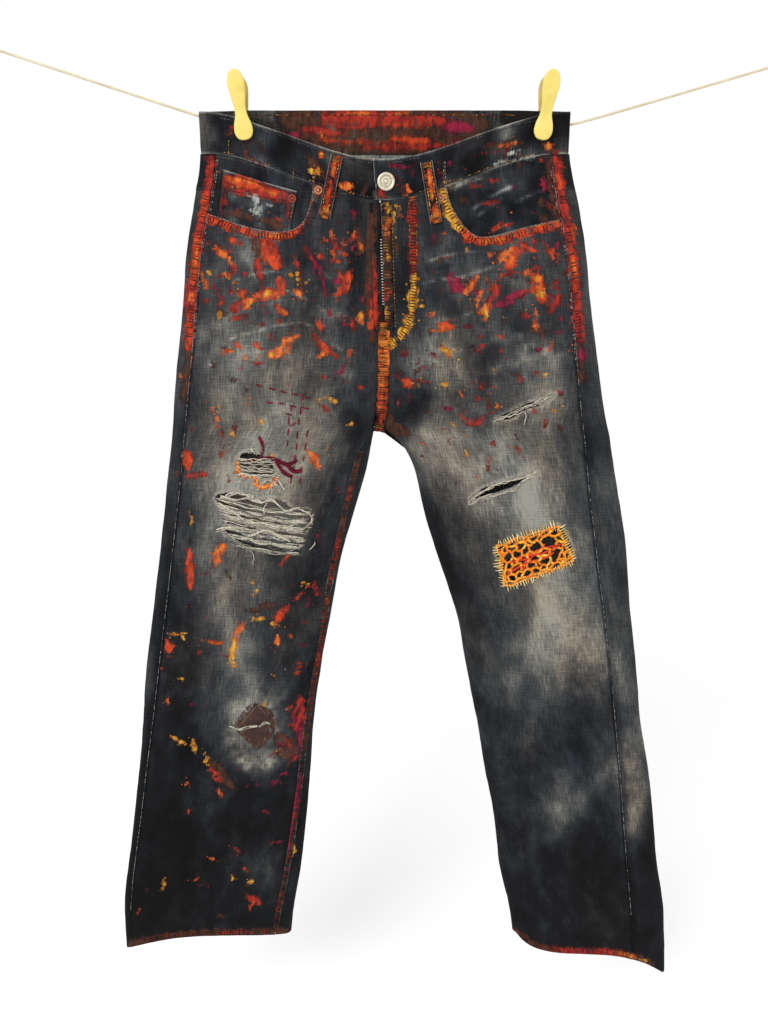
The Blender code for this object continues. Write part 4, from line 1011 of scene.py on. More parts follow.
# Strokes of paint on the front, in millimetres: x and height of both ends, width and, where a
# stroke bows out, how far as a share of its length.
FRONT_STROKES = by_paint({
    "brown": (
        (-154, -631, -131, -652, 9), (-131, -653, -152, -688, 9), (-154, -688, -175, -663, 9),
        (-176, -660, -155, -632, 9), (-164, -643, -143, -672, 14), (-112, -680, -103, -710, 7),
        (104, -21, 137, -12, 6), (160, -12, 175, -23, 6), (-76, -30, -61, -47, 8),
        (-128, -678, -117, -708, 13), (-214, -708, -188, -746, 9), (-159, -510, -124, -500, 5),
        (-28, -97, -20, -120, 7), (-85, -136, -82, -166, 5), (160, -162, 169, -172, 9),
        (-130, -107, -124, -128, 8), (-30, -98, -22, -123, 4), (-22, -66, -17, -56, 3),
        (-159, -3, -157, -5, 3), (100, -20, 131, -12, 6), (114, -27, 129, -26, 3),
        (12, -111, 13, -126, 5), (-170, -112, -165, -120, 6), (-87, -183, -77, -202, 3),
        (-148, -254, -141, -262, 2), (-203, -204, -203, -213, 3), (118, -121, 113, -130, 6),
        (91, -148, 80, -162, 4), (151, -196, 165, -198, 6), (-178, -461, -174, -472, 3),
        (-154, -513, -118, -503, 3), (-218, -425, -218, -432, 2), (-206, -709, -192, -732, 6),
        (-127, -673, -114, -696, 12), (-128, -673, -123, -684, 4), (-218, -857, -193, -846, 2),
        (-306, -900, -306, -900, 4),
    ),
    "red": (
        (-104, -630, -97, -678, 7, 0.12), (-122, -672, -115, -691, 4),
        (-116, -713, -101, -702, 4), (-101, -622, -109, -668, 6, 0.1),
        (-212, -716, -201, -738, 5), (-175, -909, -161, -921, 9), (153, -99, 165, -94, 6),
        (105, -170, 117, -152, 6), (177, -162, 171, -178, 7), (-122, -96, -105, -128, 8),
        (-80, -115, -73, -127, 4), (-56, -110, -49, -111, 5), (-179, -110, -172, -111, 3),
        (-4, -61, 0, -68, 5), (95, -26, 102, -24, 3), (175, -20, 175, -20, 4),
        (100, -72, 116, -69, 3), (152, -78, 152, -78, 1), (16, -62, 22, -65, 2),
        (166, -68, 169, -75, 3), (-128, -125, -123, -152, 5), (-156, -177, -141, -166, 7),
        (-159, -185, -139, -182, 4), (-124, -168, -124, -177, 3), (-172, -144, -154, -140, 2),
        (-44, -124, -32, -139, 2, 0.2), (-53, -109, -46, -117, 6), (-117, -202, -112, -206, 5),
        (-140, -228, -126, -229, 3), (-179, -195, -179, -195, 2), (-178, -297, -171, -312, 3),
        (-160, -291, -160, -309, 2), (-178, -330, -170, -322, 3), (-208, -300, -208, -300, 2),
        (-124, -172, -107, -172, 1), (-132, -190, -122, -189, 2), (-183, -166, -180, -167, 2),
        (119, -142, 138, -138, 3), (152, -133, 154, -139, 6), (180, -143, 170, -155, 4),
        (141, -182, 149, -182, 4), (164, -199, 163, -211, 3), (59, -205, 60, -216, 3),
        (31, -246, 50, -251, 3), (114, -254, 120, -262, 2), (159, -239, 165, -240, 3),
        (80, -284, 92, -293, 3), (89, -293, 103, -292, 7), (101, -289, 114, -282, 2),
        (70, -313, 75, -307, 2), (142, -318, 145, -322, 2), (98, -200, 100, -203, 2),
        (62, -125, 66, -124, 2), (69, -332, 75, -328, 1), (111, -275, 118, -273, 2),
        (-220, -354, -195, -349, 5), (-170, -351, -168, -361, 2), (-189, -454, -204, -467, 2),
        (-100, -495, -113, -507, 1), (-112, -506, -124, -520, 6), (-79, -479, -77, -496, 5),
        (-223, -506, -222, -515, 2), (-50, -366, -50, -366, 3), (-71, -397, -71, -397, 2),
        (143, -317, 146, -327, 2), (115, -328, 114, -346, 3), (53, -324, 58, -321, 1),
        (71, -314, 71, -314, 2), (-94, -630, -109, -647, 4, -0.1),
    ),
    "crimson": (
        (-100, -648, -102, -708, 5), (-105, -678, -101, -697, 4), (-97, -638, -104, -691, 5),
        (67, -148, 80, -158, 9), (-31, -80, -30, -85, 3), (-70, -106, -70, -106, 1),
        (-141, -26, -113, -38, 2), (65, -37, 65, -37, 3), (78, -37, 78, -37, 2),
        (133, -53, 133, -53, 5), (162, -48, 164, -60, 6), (49, -104, 50, -111, 3),
        (7, -38, 29, -42, 3), (26, -45, 32, -51, 2), (-175, -151, -164, -166, 3),
        (-79, -116, -59, -160, 4, 0.06), (-22, -163, -21, -172, 3), (-63, -196, -56, -205, 2),
        (-48, -186, -37, -195, 3, 0.1), (-42, -231, -44, -239, 3), (-59, -268, -49, -273, 1),
        (65, -143, 78, -146, 5, -0.2), (169, -160, 168, -168, 3), (106, -173, 132, -168, 5),
        (123, -164, 145, -158, 6), (16, -222, 26, -221, 2), (50, -221, 53, -224, 4),
        (42, -234, 42, -234, 3), (62, -276, 71, -278, 2), (121, -217, 133, -225, 1),
        (177, -198, 186, -197, 3), (82, -192, 104, -193, 2), (78, -173, 97, -172, 2),
        (21, -299, 23, -305, 2), (-86, -495, -89, -506, 3), (-75, -419, -73, -426, 1),
        (-204, -517, -204, -524, 2), (34, -336, 43, -331, 1), (126, -346, 126, -346, 2),
        (75, -356, 75, -356, 2), (-231, -632, -225, -632, 2), (-127, -602, -127, -602, 2),
        (-109, -647, -103, -681, 5), (-111, -700, -107, -692, 3), (-170, -744, -170, -744, 3),
        (-156, -743, -156, -743, 3), (-139, -744, -130, -737, 3), (-128, -730, -120, -727, 3),
        (-190, -734, -190, -734, 2), (-146, -826, -132, -829, 3), (-238, -890, -227, -886, 2),
    ),
    "orange": (
        (118, -18, 133, -12, 2.6), (-166, -528, -176, -558, 6), (-122, -542, -124, -555, 5),
        (-26, -107, -22, -119, 2.5), (127, -130, 132, -120, 4), (94, -172, 100, -158, 5),
        (154, -152, 160, -160, 5), (-170, -115, -152, -132, 5), (-42, -57, -33, -58, 7),
        (-69, -52, -63, -55, 2), (115, -17, 122, -14, 3), (136, -23, 136, -23, 4),
        (163, -16, 169, -15, 5), (133, -82, 139, -80, 1), (16, -86, 16, -86, 2),
        (22, -56, 25, -62, 2), (191, -91, 196, -115, 3), (-129, -162, -108, -160, 5),
        (-142, -168, -133, -166, 6), (-166, -117, -154, -128, 5), (-185, -140, -181, -153, 5),
        (-24, -179, -23, -188, 6), (-105, -208, -88, -202, 5), (-117, -222, -100, -214, 9),
        (-146, -224, -141, -226, 5), (-130, -221, -130, -221, 3), (-166, -219, -157, -217, 3),
        (-201, -191, -201, -191, 3), (-141, -262, -145, -272, 2),
        (-187, -274, -178, -297, 3, 0.08), (-84, -309, -85, -314, 3),
        (-217, -242, -218, -248, 3), (128, -116, 116, -128, 6), (95, -143, 82, -160, 4),
        (150, -144, 159, -146, 6), (154, -154, 160, -155, 6), (99, -177, 108, -172, 6),
        (103, -185, 103, -185, 3), (154, -176, 156, -185, 4), (155, -189, 156, -196, 4),
        (49, -196, 62, -196, 3), (42, -178, 51, -181, 2), (79, -258, 83, -264, 2),
        (113, -255, 117, -255, 2), (188, -218, 195, -217, 2), (195, -112, 197, -117, 3),
        (98, -248, 97, -254, 1), (37, -311, 41, -317, 2), (-81, -325, -72, -340, 7, 0.1),
        (-179, -430, -189, -454, 7, -0.14), (-122, -526, -121, -531, 3),
        (-161, -525, -170, -541, 4), (-204, -550, -188, -551, 3), (-123, -545, -121, -554, 3),
        (103, -353, 103, -353, 2), (45, -319, 45, -319, 2), (-258, -625, -259, -633, 2),
        (-204, -550, -187, -551, 3), (-256, -675, -245, -686, 3), (-204, -748, -202, -758, 3),
        (-246, -884, -235, -876, 1),
    ),
    "pale": (
        (111, -35, 127, -30, 2.4), (125, -24, 137, -21, 3), (114, -32, 153, -25, 2),
        (-182, -230, -182, -230, 2), (146, -242, 146, -242, 2), (-117, -585, -117, -585, 1),
        (-117, -638, -117, -638, 1),
    ),
    "yellow": (
        (-74, -40, -63, -43, 3.5), (-218, -698, -215, -713, 3), (-177, -555, -176, -580, 5),
        (-153, -518, -135, -520, 4), (-255, -676, -242, -684, 4), (-231, -680, -229, -697, 4.5),
        (-46, -110, -39, -112, 1), (-73, -39, -71, -45, 3), (-65, -42, -62, -43, 2),
        (66, -56, 66, -56, 3), (11, -77, 16, -77, 2), (10, -82, 9, -103, 1),
        (83, -117, 83, -117, 3), (-123, -160, -115, -159, 2), (-138, -170, -136, -169, 2),
        (-168, -179, -168, -186, 3), (-179, -138, -174, -141, 3), (-152, -148, -152, -148, 3),
        (-148, -150, -148, -150, 1), (-94, -141, -94, -141, 3), (-88, -140, -88, -140, 2),
        (-86, -146, -86, -146, 2), (-80, -149, -80, -149, 2), (-25, -180, -24, -185, 2),
        (-119, -222, -113, -220, 3), (-145, -224, -145, -224, 2), (-209, -195, -209, -195, 2),
        (-61, -319, -61, -329, 1), (-61, -265, -49, -272, 3), (82, -117, 84, -118, 3),
        (154, -146, 154, -146, 3), (153, -161, 163, -159, 5), (102, -176, 105, -182, 3),
        (145, -175, 145, -175, 2), (55, -199, 55, -199, 2), (38, -172, 38, -172, 3),
        (42, -249, 42, -249, 1), (84, -257, 84, -257, 1), (165, -241, 175, -240, 2),
        (177, -279, 187, -278, 2), (74, -294, 74, -294, 3), (86, -307, 86, -307, 2),
        (56, -287, 56, -287, 1), (117, -241, 117, -241, 1), (77, -217, 77, -217, 1),
        (81, -225, 81, -225, 1), (121, -182, 127, -183, 1), (-214, -393, -215, -411, 2),
        (-148, -472, -148, -478, 2), (-144, -484, -150, -490, 2), (-153, -521, -153, -521, 3),
        (-146, -515, -134, -520, 2), (-173, -546, -178, -571, 6), (-249, -543, -228, -539, 2),
        (-124, -545, -124, -545, 1), (-94, -476, -85, -479, 1), (-218, -360, -215, -362, 1),
        (89, -324, 90, -333, 2), (-244, -599, -239, -598, 3), (-178, -558, -176, -579, 5),
        (-131, -588, -128, -595, 2), (-252, -680, -245, -686, 1), (-232, -683, -229, -698, 3),
        (-221, -701, -216, -717, 1), (-132, -695, -124, -693, 1), (-265, -718, -265, -718, 1),
        (-281, -880, -284, -898, 3), (-115, -838, -115, -853, 4),
    ),
    "red_orange": (
        (-253, -553, -251, -564, 8), (-114, -508, -124, -523, 8), (-205, -550, -187, -551, 4),
        (125, -134, 134, -117, 9), (152, -146, 161, -166, 11), (137, -112, 153, -119, 4),
        (164, -115, 175, -130, 4), (-156, -107, -145, -111, 4), (-123, -112, -116, -119, 7),
        (108, -98, 131, -89, 4), (-120, -114, -108, -132, 13), (-131, -162, -103, -160, 8),
        (-106, -144, -103, -155, 8), (-107, -171, -106, -178, 3), (-102, -173, -102, -179, 2),
        (-35, -141, -48, -161, 8, 0.1), (-13, -176, -14, -196, 7), (-66, -185, -64, -195, 3),
        (-71, -203, -55, -219, 6), (-134, -210, -128, -215, 5), (-154, -205, -153, -213, 3),
        (139, -118, 151, -117, 3), (159, -107, 164, -113, 2), (169, -116, 178, -129, 3),
        (113, -147, 103, -160, 3), (116, -148, 119, -138, 3), (58, -189, 72, -193, 5),
        (20, -248, 27, -252, 7), (-215, -328, -215, -343, 10), (-232, -351, -220, -352, 2),
        (-219, -439, -221, -483, 8), (-106, -439, -116, -453, 4), (-85, -480, -100, -495, 3),
        (-256, -559, -250, -564, 6), (-253, -561, -253, -561, 9), (-262, -586, -262, -586, 5),
        (-180, -567, -176, -582, 2), (-213, -720, -206, -737, 4, 0.1),
        (-178, -865, -174, -870, 2), (-181, -911, -173, -909, 2), (-169, -917, -169, -917, 7),
        (-171, -920, -175, -930, 4), (-164, -920, -158, -920, 2), (-323, -941, -319, -933, 2),
    ),
})
SCATTER_PAINTS = {
    "thigh": ("brown", "red", "brown", "red", "red_orange", "crimson", "orange", "brown"),
    "crotch": ("crimson", "red", "brown", "crimson", "yellow", "red", "brown"),
    "dark": ("brown", "brown", "red", "brown", "red_orange", "crimson"),
    "bright": ("red", "orange", "yellow", "brown", "red_orange"),
}
# Where small loose dabs fall: from x and height, to x and height, how many and which paints.
SCATTER = (
    (-170, -96, -25, -218, 64, "thigh"),
    (46, -96, 190, -218, 54, "thigh"),
    (2, -211, 103, -309, 24, "crotch"),
    (90, -239, 190, -322, 14, "crotch"),
    (-137, -448, -67, -564, 12, "dark"),
    (-263, -448, -100, -648, 12, "bright"),
    (-187, -221, -20, -311, 18, "crotch"),
    (-83, -41, -10, -196, 22, "dark"),
    (61, -37, 178, -83, 9, "dark"),
    (-174, 5, -82, -32, 6, "dark"),
    (54, -1, 178, -32, 12, "crotch"),
    (-134, -622, -96, -758, 10, "dark"),
    (-280, -675, -147, -950, 10, "bright"),
)


def scattered_dabs():
    """Small strokes flicked over the stretches in the scatter table."""
    pick = random.Random(77)
    dabs = []
    for left, top, right, foot, count, kind in SCATTER:
        for _ in range(count):
            x, z = pick.uniform(left, right), pick.uniform(top, foot)
            lean = pick.gauss(-1.0, 0.9)
            reach = pick.uniform(1.0, 8.0) ** 1.15
            dabs.append((pick.choice(SCATTER_PAINTS[kind]), x, z, x + reach * math.cos(lean),
                         z + reach * math.sin(lean), pick.uniform(1.8, 5.0),
                         pick.uniform(-0.15, 0.15)))
    return tuple(dabs)


FRONT_STROKES += scattered_dabs()
# Paint worked along seams and edges: paint, width in millimetres, and its path.
FRONT_BANDS = (
    ("red_orange", 5.5, ((-84, -92), (-91, -100), (-103, -104), (-122, -103), (-146, -98),
                         (-166, -91), (-184, -84))),
    ("orange", 3, ((-100, -104), (-122, -103), (-138, -100))),
    ("red", 5, ((-75, -66), (-79, -80), (-86, -94))),
    ("yellow", 5.5, ((57, -52), (59, -68), (67, -86), (76, -97))),
    ("red_orange", 5.5, ((77, -99), (92, -109), (109, -109), (129, -104), (152, -98),
                         (182, -90))),
    ("orange", 3, ((96, -109), (109, -109), (122, -106))),
    ("red", 5, ((28, -64), (29, -100), (30, -143))),
    ("yellow", 5, ((30, -143), (28, -178), (23, -194), (12, -207), (4, -213))),
    ("orange", 3.5, ((28, -178), (23, -194), (12, -207), (4, -213))),
    ("brown", 4, ((-15, -84), (-15, -130), (-12, -180))),
    ("brown", 7, ((-14, -120), (-13, -205))),
    ("red", 2.5, ((-14, -158), (-12, -180), (-11, -198))),
    ("brown", 9, ((-5, -276), (8, -298), (22, -306))),
)


def stroke_field(field, x, z, start, end, width, bend):
    """Raises a field to how deep each place lies inside a bent, tapered stroke, in mm."""
    (ax, az), (bx, bz) = start, end
    length = math.hypot(bx - ax, bz - az)
    if length < 0.5:
        ax, bx, length = ax - 0.5, bx + 0.5, 1.0
    way_x, way_z = (bx - ax) / length, (bz - az) / length
    near = ((np.abs(x - (ax + bx) / 2) < length / 2 + width * 2 + 6)
            & (np.abs(z - (az + bz) / 2) < length / 2 + width * 2 + 6))
    if not near.any():
        return
    dx, dz = x[near] - ax, z[near] - az
    along = np.clip((dx * way_x + dz * way_z) / length, 0, 1)
    bow = 4 * along * (1 - along) * bend * length
    across = -dx * way_z + dz * way_x - bow
    beyond = dx * way_x + dz * way_z - along * length
    taper = 0.45 + 0.6 * np.sin(math.pi * (0.1 + 0.8 * along))
    depth_in = width / 2 * taper - np.hypot(across, beyond)
    field[near] = np.maximum(field[near], depth_in)


STROKE_SPREAD = 1.42         # how much wider paint spreads than its stroke
BAND_SPREAD = 1.95
BARE = -9.0                  # a paint field where there is no paint


def paint_fields(x, z, strokes, bands=()):
    """One field a paint: how deep each place lies inside that paint, in millimetres."""
    x, z = x / MM, z / MM
    fields = {paint: np.full(x.shape, BARE) for paint in PAINTS}
    for paint, ax, az, bx, bz, width, *bend in strokes:
        stroke_field(fields[paint], x, z, (ax, az), (bx, bz), width * STROKE_SPREAD,
                     bend[0] if bend else 0)
    for paint, width, path in bands:
        for start, end in zip(path, path[1:]):
            stroke_field(fields[paint], x, z, start, end, width * BAND_SPREAD, 0)
    return fields


# Faded (above 0) and dark patches of the front: x, height, length, width, lean, strength.
FRONT_FADES = (
    (-118, -255, 150, 46, 12, 0.17), (-150, -215, 70, 26, 60, 0.20),
    (-112, -305, 150, 50, 8, 0.25), (-95, -345, 120, 34, -14, 0.07),
    (-170, -300, 130, 24, 0, 0.24), (-130, -380, 130, 48, 0, 0.34),
    (-150, -480, 180, 40, -8, 0.30), (-122, -470, 100, 30, 10, -0.22),
    (-170, -560, 160, 26, -10, 0.28), (-142, -560, 190, 22, -8, -0.21),
    (-136, -640, 80, 46, 60, 0.17), (-160, -665, 90, 22, 90, 0.18),
    (-140, -700, 70, 16, 88, 0.30), (-205, -730, 90, 30, 30, 0.10),
    (-190, -800, 130, 34, 0, 0.08), (-150, -870, 90, 24, -10, 0.18),
    (-60, -190, 60, 24, 70, 0.08), (-100, -160, 110, 14, 76, 0.11),
    (-140, -125, 70, 10, 60, 0.19), (-45, -250, 70, 16, 30, 0.06), (-170, -190, 60, 12, 70, 0.24),
    (65, -225, 110, 28, 0, 0.36), (160, -215, 90, 30, 30, 0.06), (172, -255, 110, 22, 0, 0.26),
    (40, -310, 60, 22, 60, 0.27), (90, -345, 170, 50, 60, 0.41), (60, -365, 90, 26, 20, -0.07),
    (170, -330, 110, 24, 0, 0.08), (125, -400, 90, 34, 30, 0.08), (160, -400, 110, 24, 0, 0.49),
    (188, -500, 170, 28, 8, 0.49), (215, -560, 150, 30, 10, 0.41), (228, -600, 60, 34, 60, -0.10),
    (225, -760, 70, 26, 0, 0.53), (262, -740, 60, 10, 30, 0.18), (305, -700, 130, 20, 10, 0.45),
    (315, -790, 110, 18, 8, 0.56), (90, -135, 110, 10, -74, 0.18),
    (75, -175, 120, 12, -80, -0.16), (110, -190, 100, 14, -60, 0.15), (25, -235, 70, 18, 0, 0.18),
    (-30, -110, 90, 10, 0, -0.19), (20, -120, 80, 8, 0, -0.13), (-48, -330, 160, 26, 20, -0.19),
    (-70, -430, 190, 26, 10, -0.12), (-210, -420, 170, 18, -6, 0.08),
    (48, -420, 130, 20, -20, -0.37), (86, -500, 190, 24, -10, -0.05),
    (130, -640, 160, 26, -10, -0.09), (-90, -610, 150, 22, 8, -0.21),
    (-240, -640, 200, 22, -8, -0.25), (-260, -820, 230, 40, -8, -0.17),
    (170, -830, 120, 30, -10, 0.09), (100, -240, 110, 22, 40, -0.07),
    (30, -270, 60, 26, 20, -0.27), (-150, -152, 60, 14, 70, 0.08),
    (-150, -430, 60, 26, 60, -0.07), (-235, -520, 120, 16, -8, -0.10),
    (-75, -150, 60, 20, 40, -0.05), (-60, -330, 80, 18, 10, 0.25), (250, -600, 160, 14, -8, 0.19),
    (-170, -800, 60, 40, 60, -0.15), (120, -580, 120, 16, -12, 0.05),
    (225, -650, 50, 40, 80, -0.18), (264, -562, 110, 16, -12, 0.28),
    (202, -778, 130, 30, -60, 0.13), (-131, -94, 110, 16, -12, 0.19),
    (-182, -377, 110, 16, -12, 0.19), (131, -121, 110, 16, -12, 0.17),
    (250, -377, 130, 30, 45, 0.16), (144, -607, 70, 18, -12, 0.19),
    (129, -248, 70, 18, -12, 0.15), (65, -393, 110, 16, -60, -0.16),
    (111, -385, 40, 14, 10, 0.19), (-229, -768, 70, 18, 10, 0.17),
    (142, -211, 110, 16, 75, -0.12), (-249, -459, 110, 16, 10, -0.16),
    (64, -330, 40, 14, 10, 0.18), (-130, -434, 40, 14, -60, -0.22), (-80, -315, 70, 18, 10, 0.15),
    (11, -292, 40, 14, -12, -0.13), (292, -607, 110, 16, -12, 0.13),
    (-158, -719, 40, 14, -60, 0.16), (295, -643, 130, 30, -60, -0.10),
    (-4, -155, 110, 16, -12, -0.12), (194, -219, 40, 14, -12, -0.14),
    (-155, -300, 70, 18, -60, -0.11), (205, -818, 40, 14, 45, 0.15),
    (-118, -553, 70, 18, 10, -0.11), (-192, -729, 110, 16, -60, -0.12),
    (-19, -233, 70, 18, 75, 0.10), (204, -155, 110, 16, -12, 0.12),
    (190, -270, 40, 14, -12, 0.13), (210, -758, 70, 18, 75, -0.12), (294, -634, 40, 14, 10, 0.14),
    (215, -315, 110, 16, -60, -0.10), (293, -729, 110, 16, -60, 0.10),
    (113, -219, 110, 16, -12, 0.08), (92, -255, 110, 16, -12, -0.07),
    (55, -240, 40, 14, -60, 0.11), (-102, -300, 110, 16, 10, -0.09),
    (189, -385, 70, 18, -12, 0.10), (-114, -671, 70, 18, 45, -0.12),
    (-282, -681, 110, 16, -12, -0.18), (203, -788, 70, 18, -60, 0.10),
    (-310, -923, 130, 30, -12, -0.19), (303, -849, 130, 30, 75, -0.13),
    (39, -128, 110, 16, 10, -0.07),
    (-152, -651, 74, 30, 0, 0.14), (-171, -638, 40, 24, 90, 0.10),
)
BACK_FADES = (
    (-110, -250, 190, 70, 0, 0.22), (105, -250, 190, 70, 0, 0.22),
    (-120, -330, 150, 60, 0, 0.16), (120, -330, 150, 60, 0, 0.16),
    (-150, -470, 60, 90, 0, 0.14), (150, -470, 60, 90, 0, 0.14),
    (-190, -640, 220, 46, -8, 0.16), (200, -640, 220, 46, 10, 0.16),
    (-250, -860, 120, 40, -8, 0.10), (270, -840, 120, 50, 10, 0.14),
    (0, -200, 200, 24, 0, -0.10), (-40, -330, 120, 24, 20, -0.12),
    (45, -330, 120, 24, -20, -0.12),
)
BASE_FADE = 0.41


# Thin worn lines (strength above 0) and painted shade in the folds beside them (below 0): x and
# height of both ends, width, strength.
FRONT_WEAR_AND_FOLD_SHADE = (
    (92, -76, 130, -54, 2.2, 0.4),
    (63, -61, 101, -47, 2, 0.35),
    (96, -83, 120, -66, 2, 0.3),
    (135, -69, 163, -56, 2, 0.3),
    (-168, -80, -144, -90, 2, 0.3),
    (-181, -703, -168, -716, 9, 0.5), (-168, -716, -134, -712, 9, 0.5),
    (-178, -690, -134, -690, 6, -0.3), (-190, -690, -186, -668, 7, 0.3),
    (-180, -640, -140, -630, 12, 0.35), (-134, -640, -128, -668, 8, 0.3),
    (-150, -147, -112, -138, 1.6, 0.5), (-112, -138, -96, -142, 1.4, 0.35),
    (-158, -205, -126, -196, 1.5, 0.55), (-126, -196, -92, -189, 1.6, 0.5),
    (-100, -157, -78, -166, 1.6, 0.5), (-78, -166, -62, -176, 1.5, 0.45),
    (-72, -178, -42, -181, 5.0, 0.28), (-66, -136, -52, -148, 1.5, 0.4),
    (-52, -148, -44, -162, 1.3, 0.4), (-88, -188, -74, -192, 1.5, 0.45),
    (-62, -206, -44, -216, 1.8, 0.4), (-150, -110, -136, -128, 5, 0.25),
    (-136, -128, -130, -146, 5, 0.28), (-50, -113, -38, -130, 2.0, 0.4),
    (-35, -126, -33, -176, 4.0, -0.2), (-70, -152, -40, -158, 6, -0.22),
    (-146, -182, -100, -178, 7, -0.2), (-110, -125, -60, -136, 7, -0.18),
    (-60, -226, -24, -236, 7, -0.2), (-132, -218, -70, -224, 6, 0.2),
    (-100, -236, -34, -240, 9, 0.14), (-70, -300, -36, -268, 5, 0.22),
    (-48, -300, -40, -340, 6, 0.2), (-58, -340, -62, -400, 7, -0.18),
    (46, -128, 84, -119, 1.5, 0.5), (84, -119, 124, -124, 1.3, 0.35),
    (40, -150, 80, -144, 1.6, 0.6), (80, -144, 120, -132, 1.5, 0.45),
    (52, -187, 76, -184, 1.4, 0.4), (76, -184, 100, -176, 1.5, 0.4),
    (68, -164, 98, -158, 4, 0.28), (44, -136, 100, -134, 5, -0.22),
    (44, -160, 64, -166, 5, -0.22), (90, -190, 150, -196, 6, -0.2),
    (100, -210, 150, -200, 4, 0.25), (60, -108, 84, -112, 6, 0.22),
    (116, -236, 150, -226, 5, 0.24), (104, -250, 150, -244, 8, -0.2),
    (60, -214, 84, -252, 13, 0.26), (150, -214, 180, -222, 12, 0.28),
    (46, -262, 100, -292, 10, -0.22), (40, -302, 120, -318, 8, 0.2),
    (-18, -250, -34, -300, 7, -0.15), (12, -236, 34, -300, 7, -0.12),
    (190, -330, 200, -460, 4, 0.14), (216, -500, 232, -640, 5, 0.16),
    (-214, -380, -226, -520, 5, -0.12), (-150, -612, -120, -622, 7, 0.2),
)


def wear_and_fold_shade(x, z):
    """Fades from the thin worn lines and painted shade of the folds beside them, with a ragged
    strength along them.
    """
    total = np.zeros(x.shape)
    for start_x, start_z, end_x, end_z, width, strength in FRONT_WEAR_AND_FOLD_SHADE:
        field = np.full(x.shape, -60.0)
        stroke_field(field, x / MM, z / MM, (start_x, start_z), (end_x, end_z), width, 0.03)
        away = np.maximum(width / 2 - field, 0)
        total = total + strength * np.exp(-(away / width) ** 2) * (field > -50)
    return total * (0.42 + 0.8 * layered_noise(x, z, 7 * MM, 55))


def fade_value(table, x, z):
    """How worn the blue is, from 0 (dark) to 1 (almost white)."""
    fade = BASE_FADE * np.ones(x.shape)
    for patch_x, height, length, width, lean, strength in table:
        angle = math.radians(lean)
        dx, dz = x / MM - patch_x, z / MM - height
        along = dz * math.cos(angle) + dx * math.sin(angle)
        across = dx * math.cos(angle) - dz * math.sin(angle)
        spread = (along / length * 2) ** 2 + (across / width) ** 2
        fade = fade + strength * np.exp(-spread * 0.9)
    return fade - 0.25 * smooth((-z / MM - 620) / 180)


# Holes worn and torn through the front, as outlines in millimetres.
HOLES = {
    "knee_hole": ((-156, -329), (-142, -325), (-128, -331), (-119, -344), (-124, -353),
                  (-138, -352), (-153, -346)),
    "knee_rip": ((-186, -376), (-165, -370), (-140, -378), (-118, -377), (-100, -388),
                 (-84, -391), (-82, -402), (-94, -424), (-112, -436), (-140, -436),
                 (-160, -428), (-178, -414), (-170, -396)),
    "thigh_slit": ((118, -290), (134, -281), (150, -273), (168, -268), (181, -262),
                   (168, -272), (150, -279), (136, -287)),
    "knee_slit": ((96, -380), (108, -366), (128, -358), (148, -352), (165, -348),
                  (152, -357), (136, -365), (120, -371)),
    "net_hole": ((127, -434), (160, -421), (186, -409), (196, -410), (208, -428),
                 (211, -447), (196, -456), (170, -463), (145, -473), (136, -470),
                 (130, -452)),
}
HOLE_SIDE = {"knee_hole": -1, "knee_rip": -1, "thigh_slit": 1, "knee_slit": 1, "net_hole": 1}


def mouth_ring(side):
    """The pocket mouth's corner that is cut out of the front, as an outline."""
    curve = smooth_ring(POCKET_MOUTH[side], 5.0, closed=False)
    corner = [(curve[-1][0] + side * 30, curve[-1][1]), (curve[-1][0] + side * 30, 40),
              (curve[0][0], 40)]
    return np.array([*curve, *corner])


def hole_depth(side, x, z):
    """How far each place lies inside one of the openings (below 0 outside them all)."""
    ragged = 1.1 * MM * layered_noise(x, z, 6 * MM, 77, 2)
    deepest = inside_distance(mouth_ring(side), x, z)
    for name, ring in HOLES.items():
        if HOLE_SIDE[name] == side:
            depth_in = inside_distance(smooth_ring(ring, 5.0), x, z) + ragged
            deepest = np.maximum(deepest, depth_in)
    return deepest


def wear_on_edges(inside):
    """Pale wear at the edges of openings."""
    edge = np.exp(-((inside + 1.4 * MM) / (1.6 * MM)) ** 2)
    return 0.3 * edge


# ---- the denim panels ----------------------------------------------------------------------
def dress_sheet(made, u, points, fade, fields):
    set_flat_map(made, u, points[..., 2])
    set_values(made, "fade", fade)
    for paint, field in fields.items():
        set_values(made, f"paint_{paint}", field)


DENIM = denim_finish("worn_denim", DENIM_STOPS)
DENIM_BACK = denim_finish("worn_denim_back", DENIM_STOPS, cloudy=0.4)
# its fade also carries the painted light behind the knee rip
DENIM_INSIDE = denim_finish("denim_inside", INSIDE_STOPS, "inner_paint", "inner_fade_and_light")
PANELS = {}


def hem_line(side, rise, start, end):
    """A path beside a hem's edge, rise millimetres above it."""
    return [(x, float(hem_height(side, x * MM)) / MM + rise)
            for x in np.linspace(start, end, 14)]


def seam_line(side, name, top, foot, inset):
    """A path down one of the leg's edges, inset towards its middle."""
    return [(float(outline(side, name, z * MM)) / MM - side * inset, z)
            for z in np.linspace(top, foot, 20)]


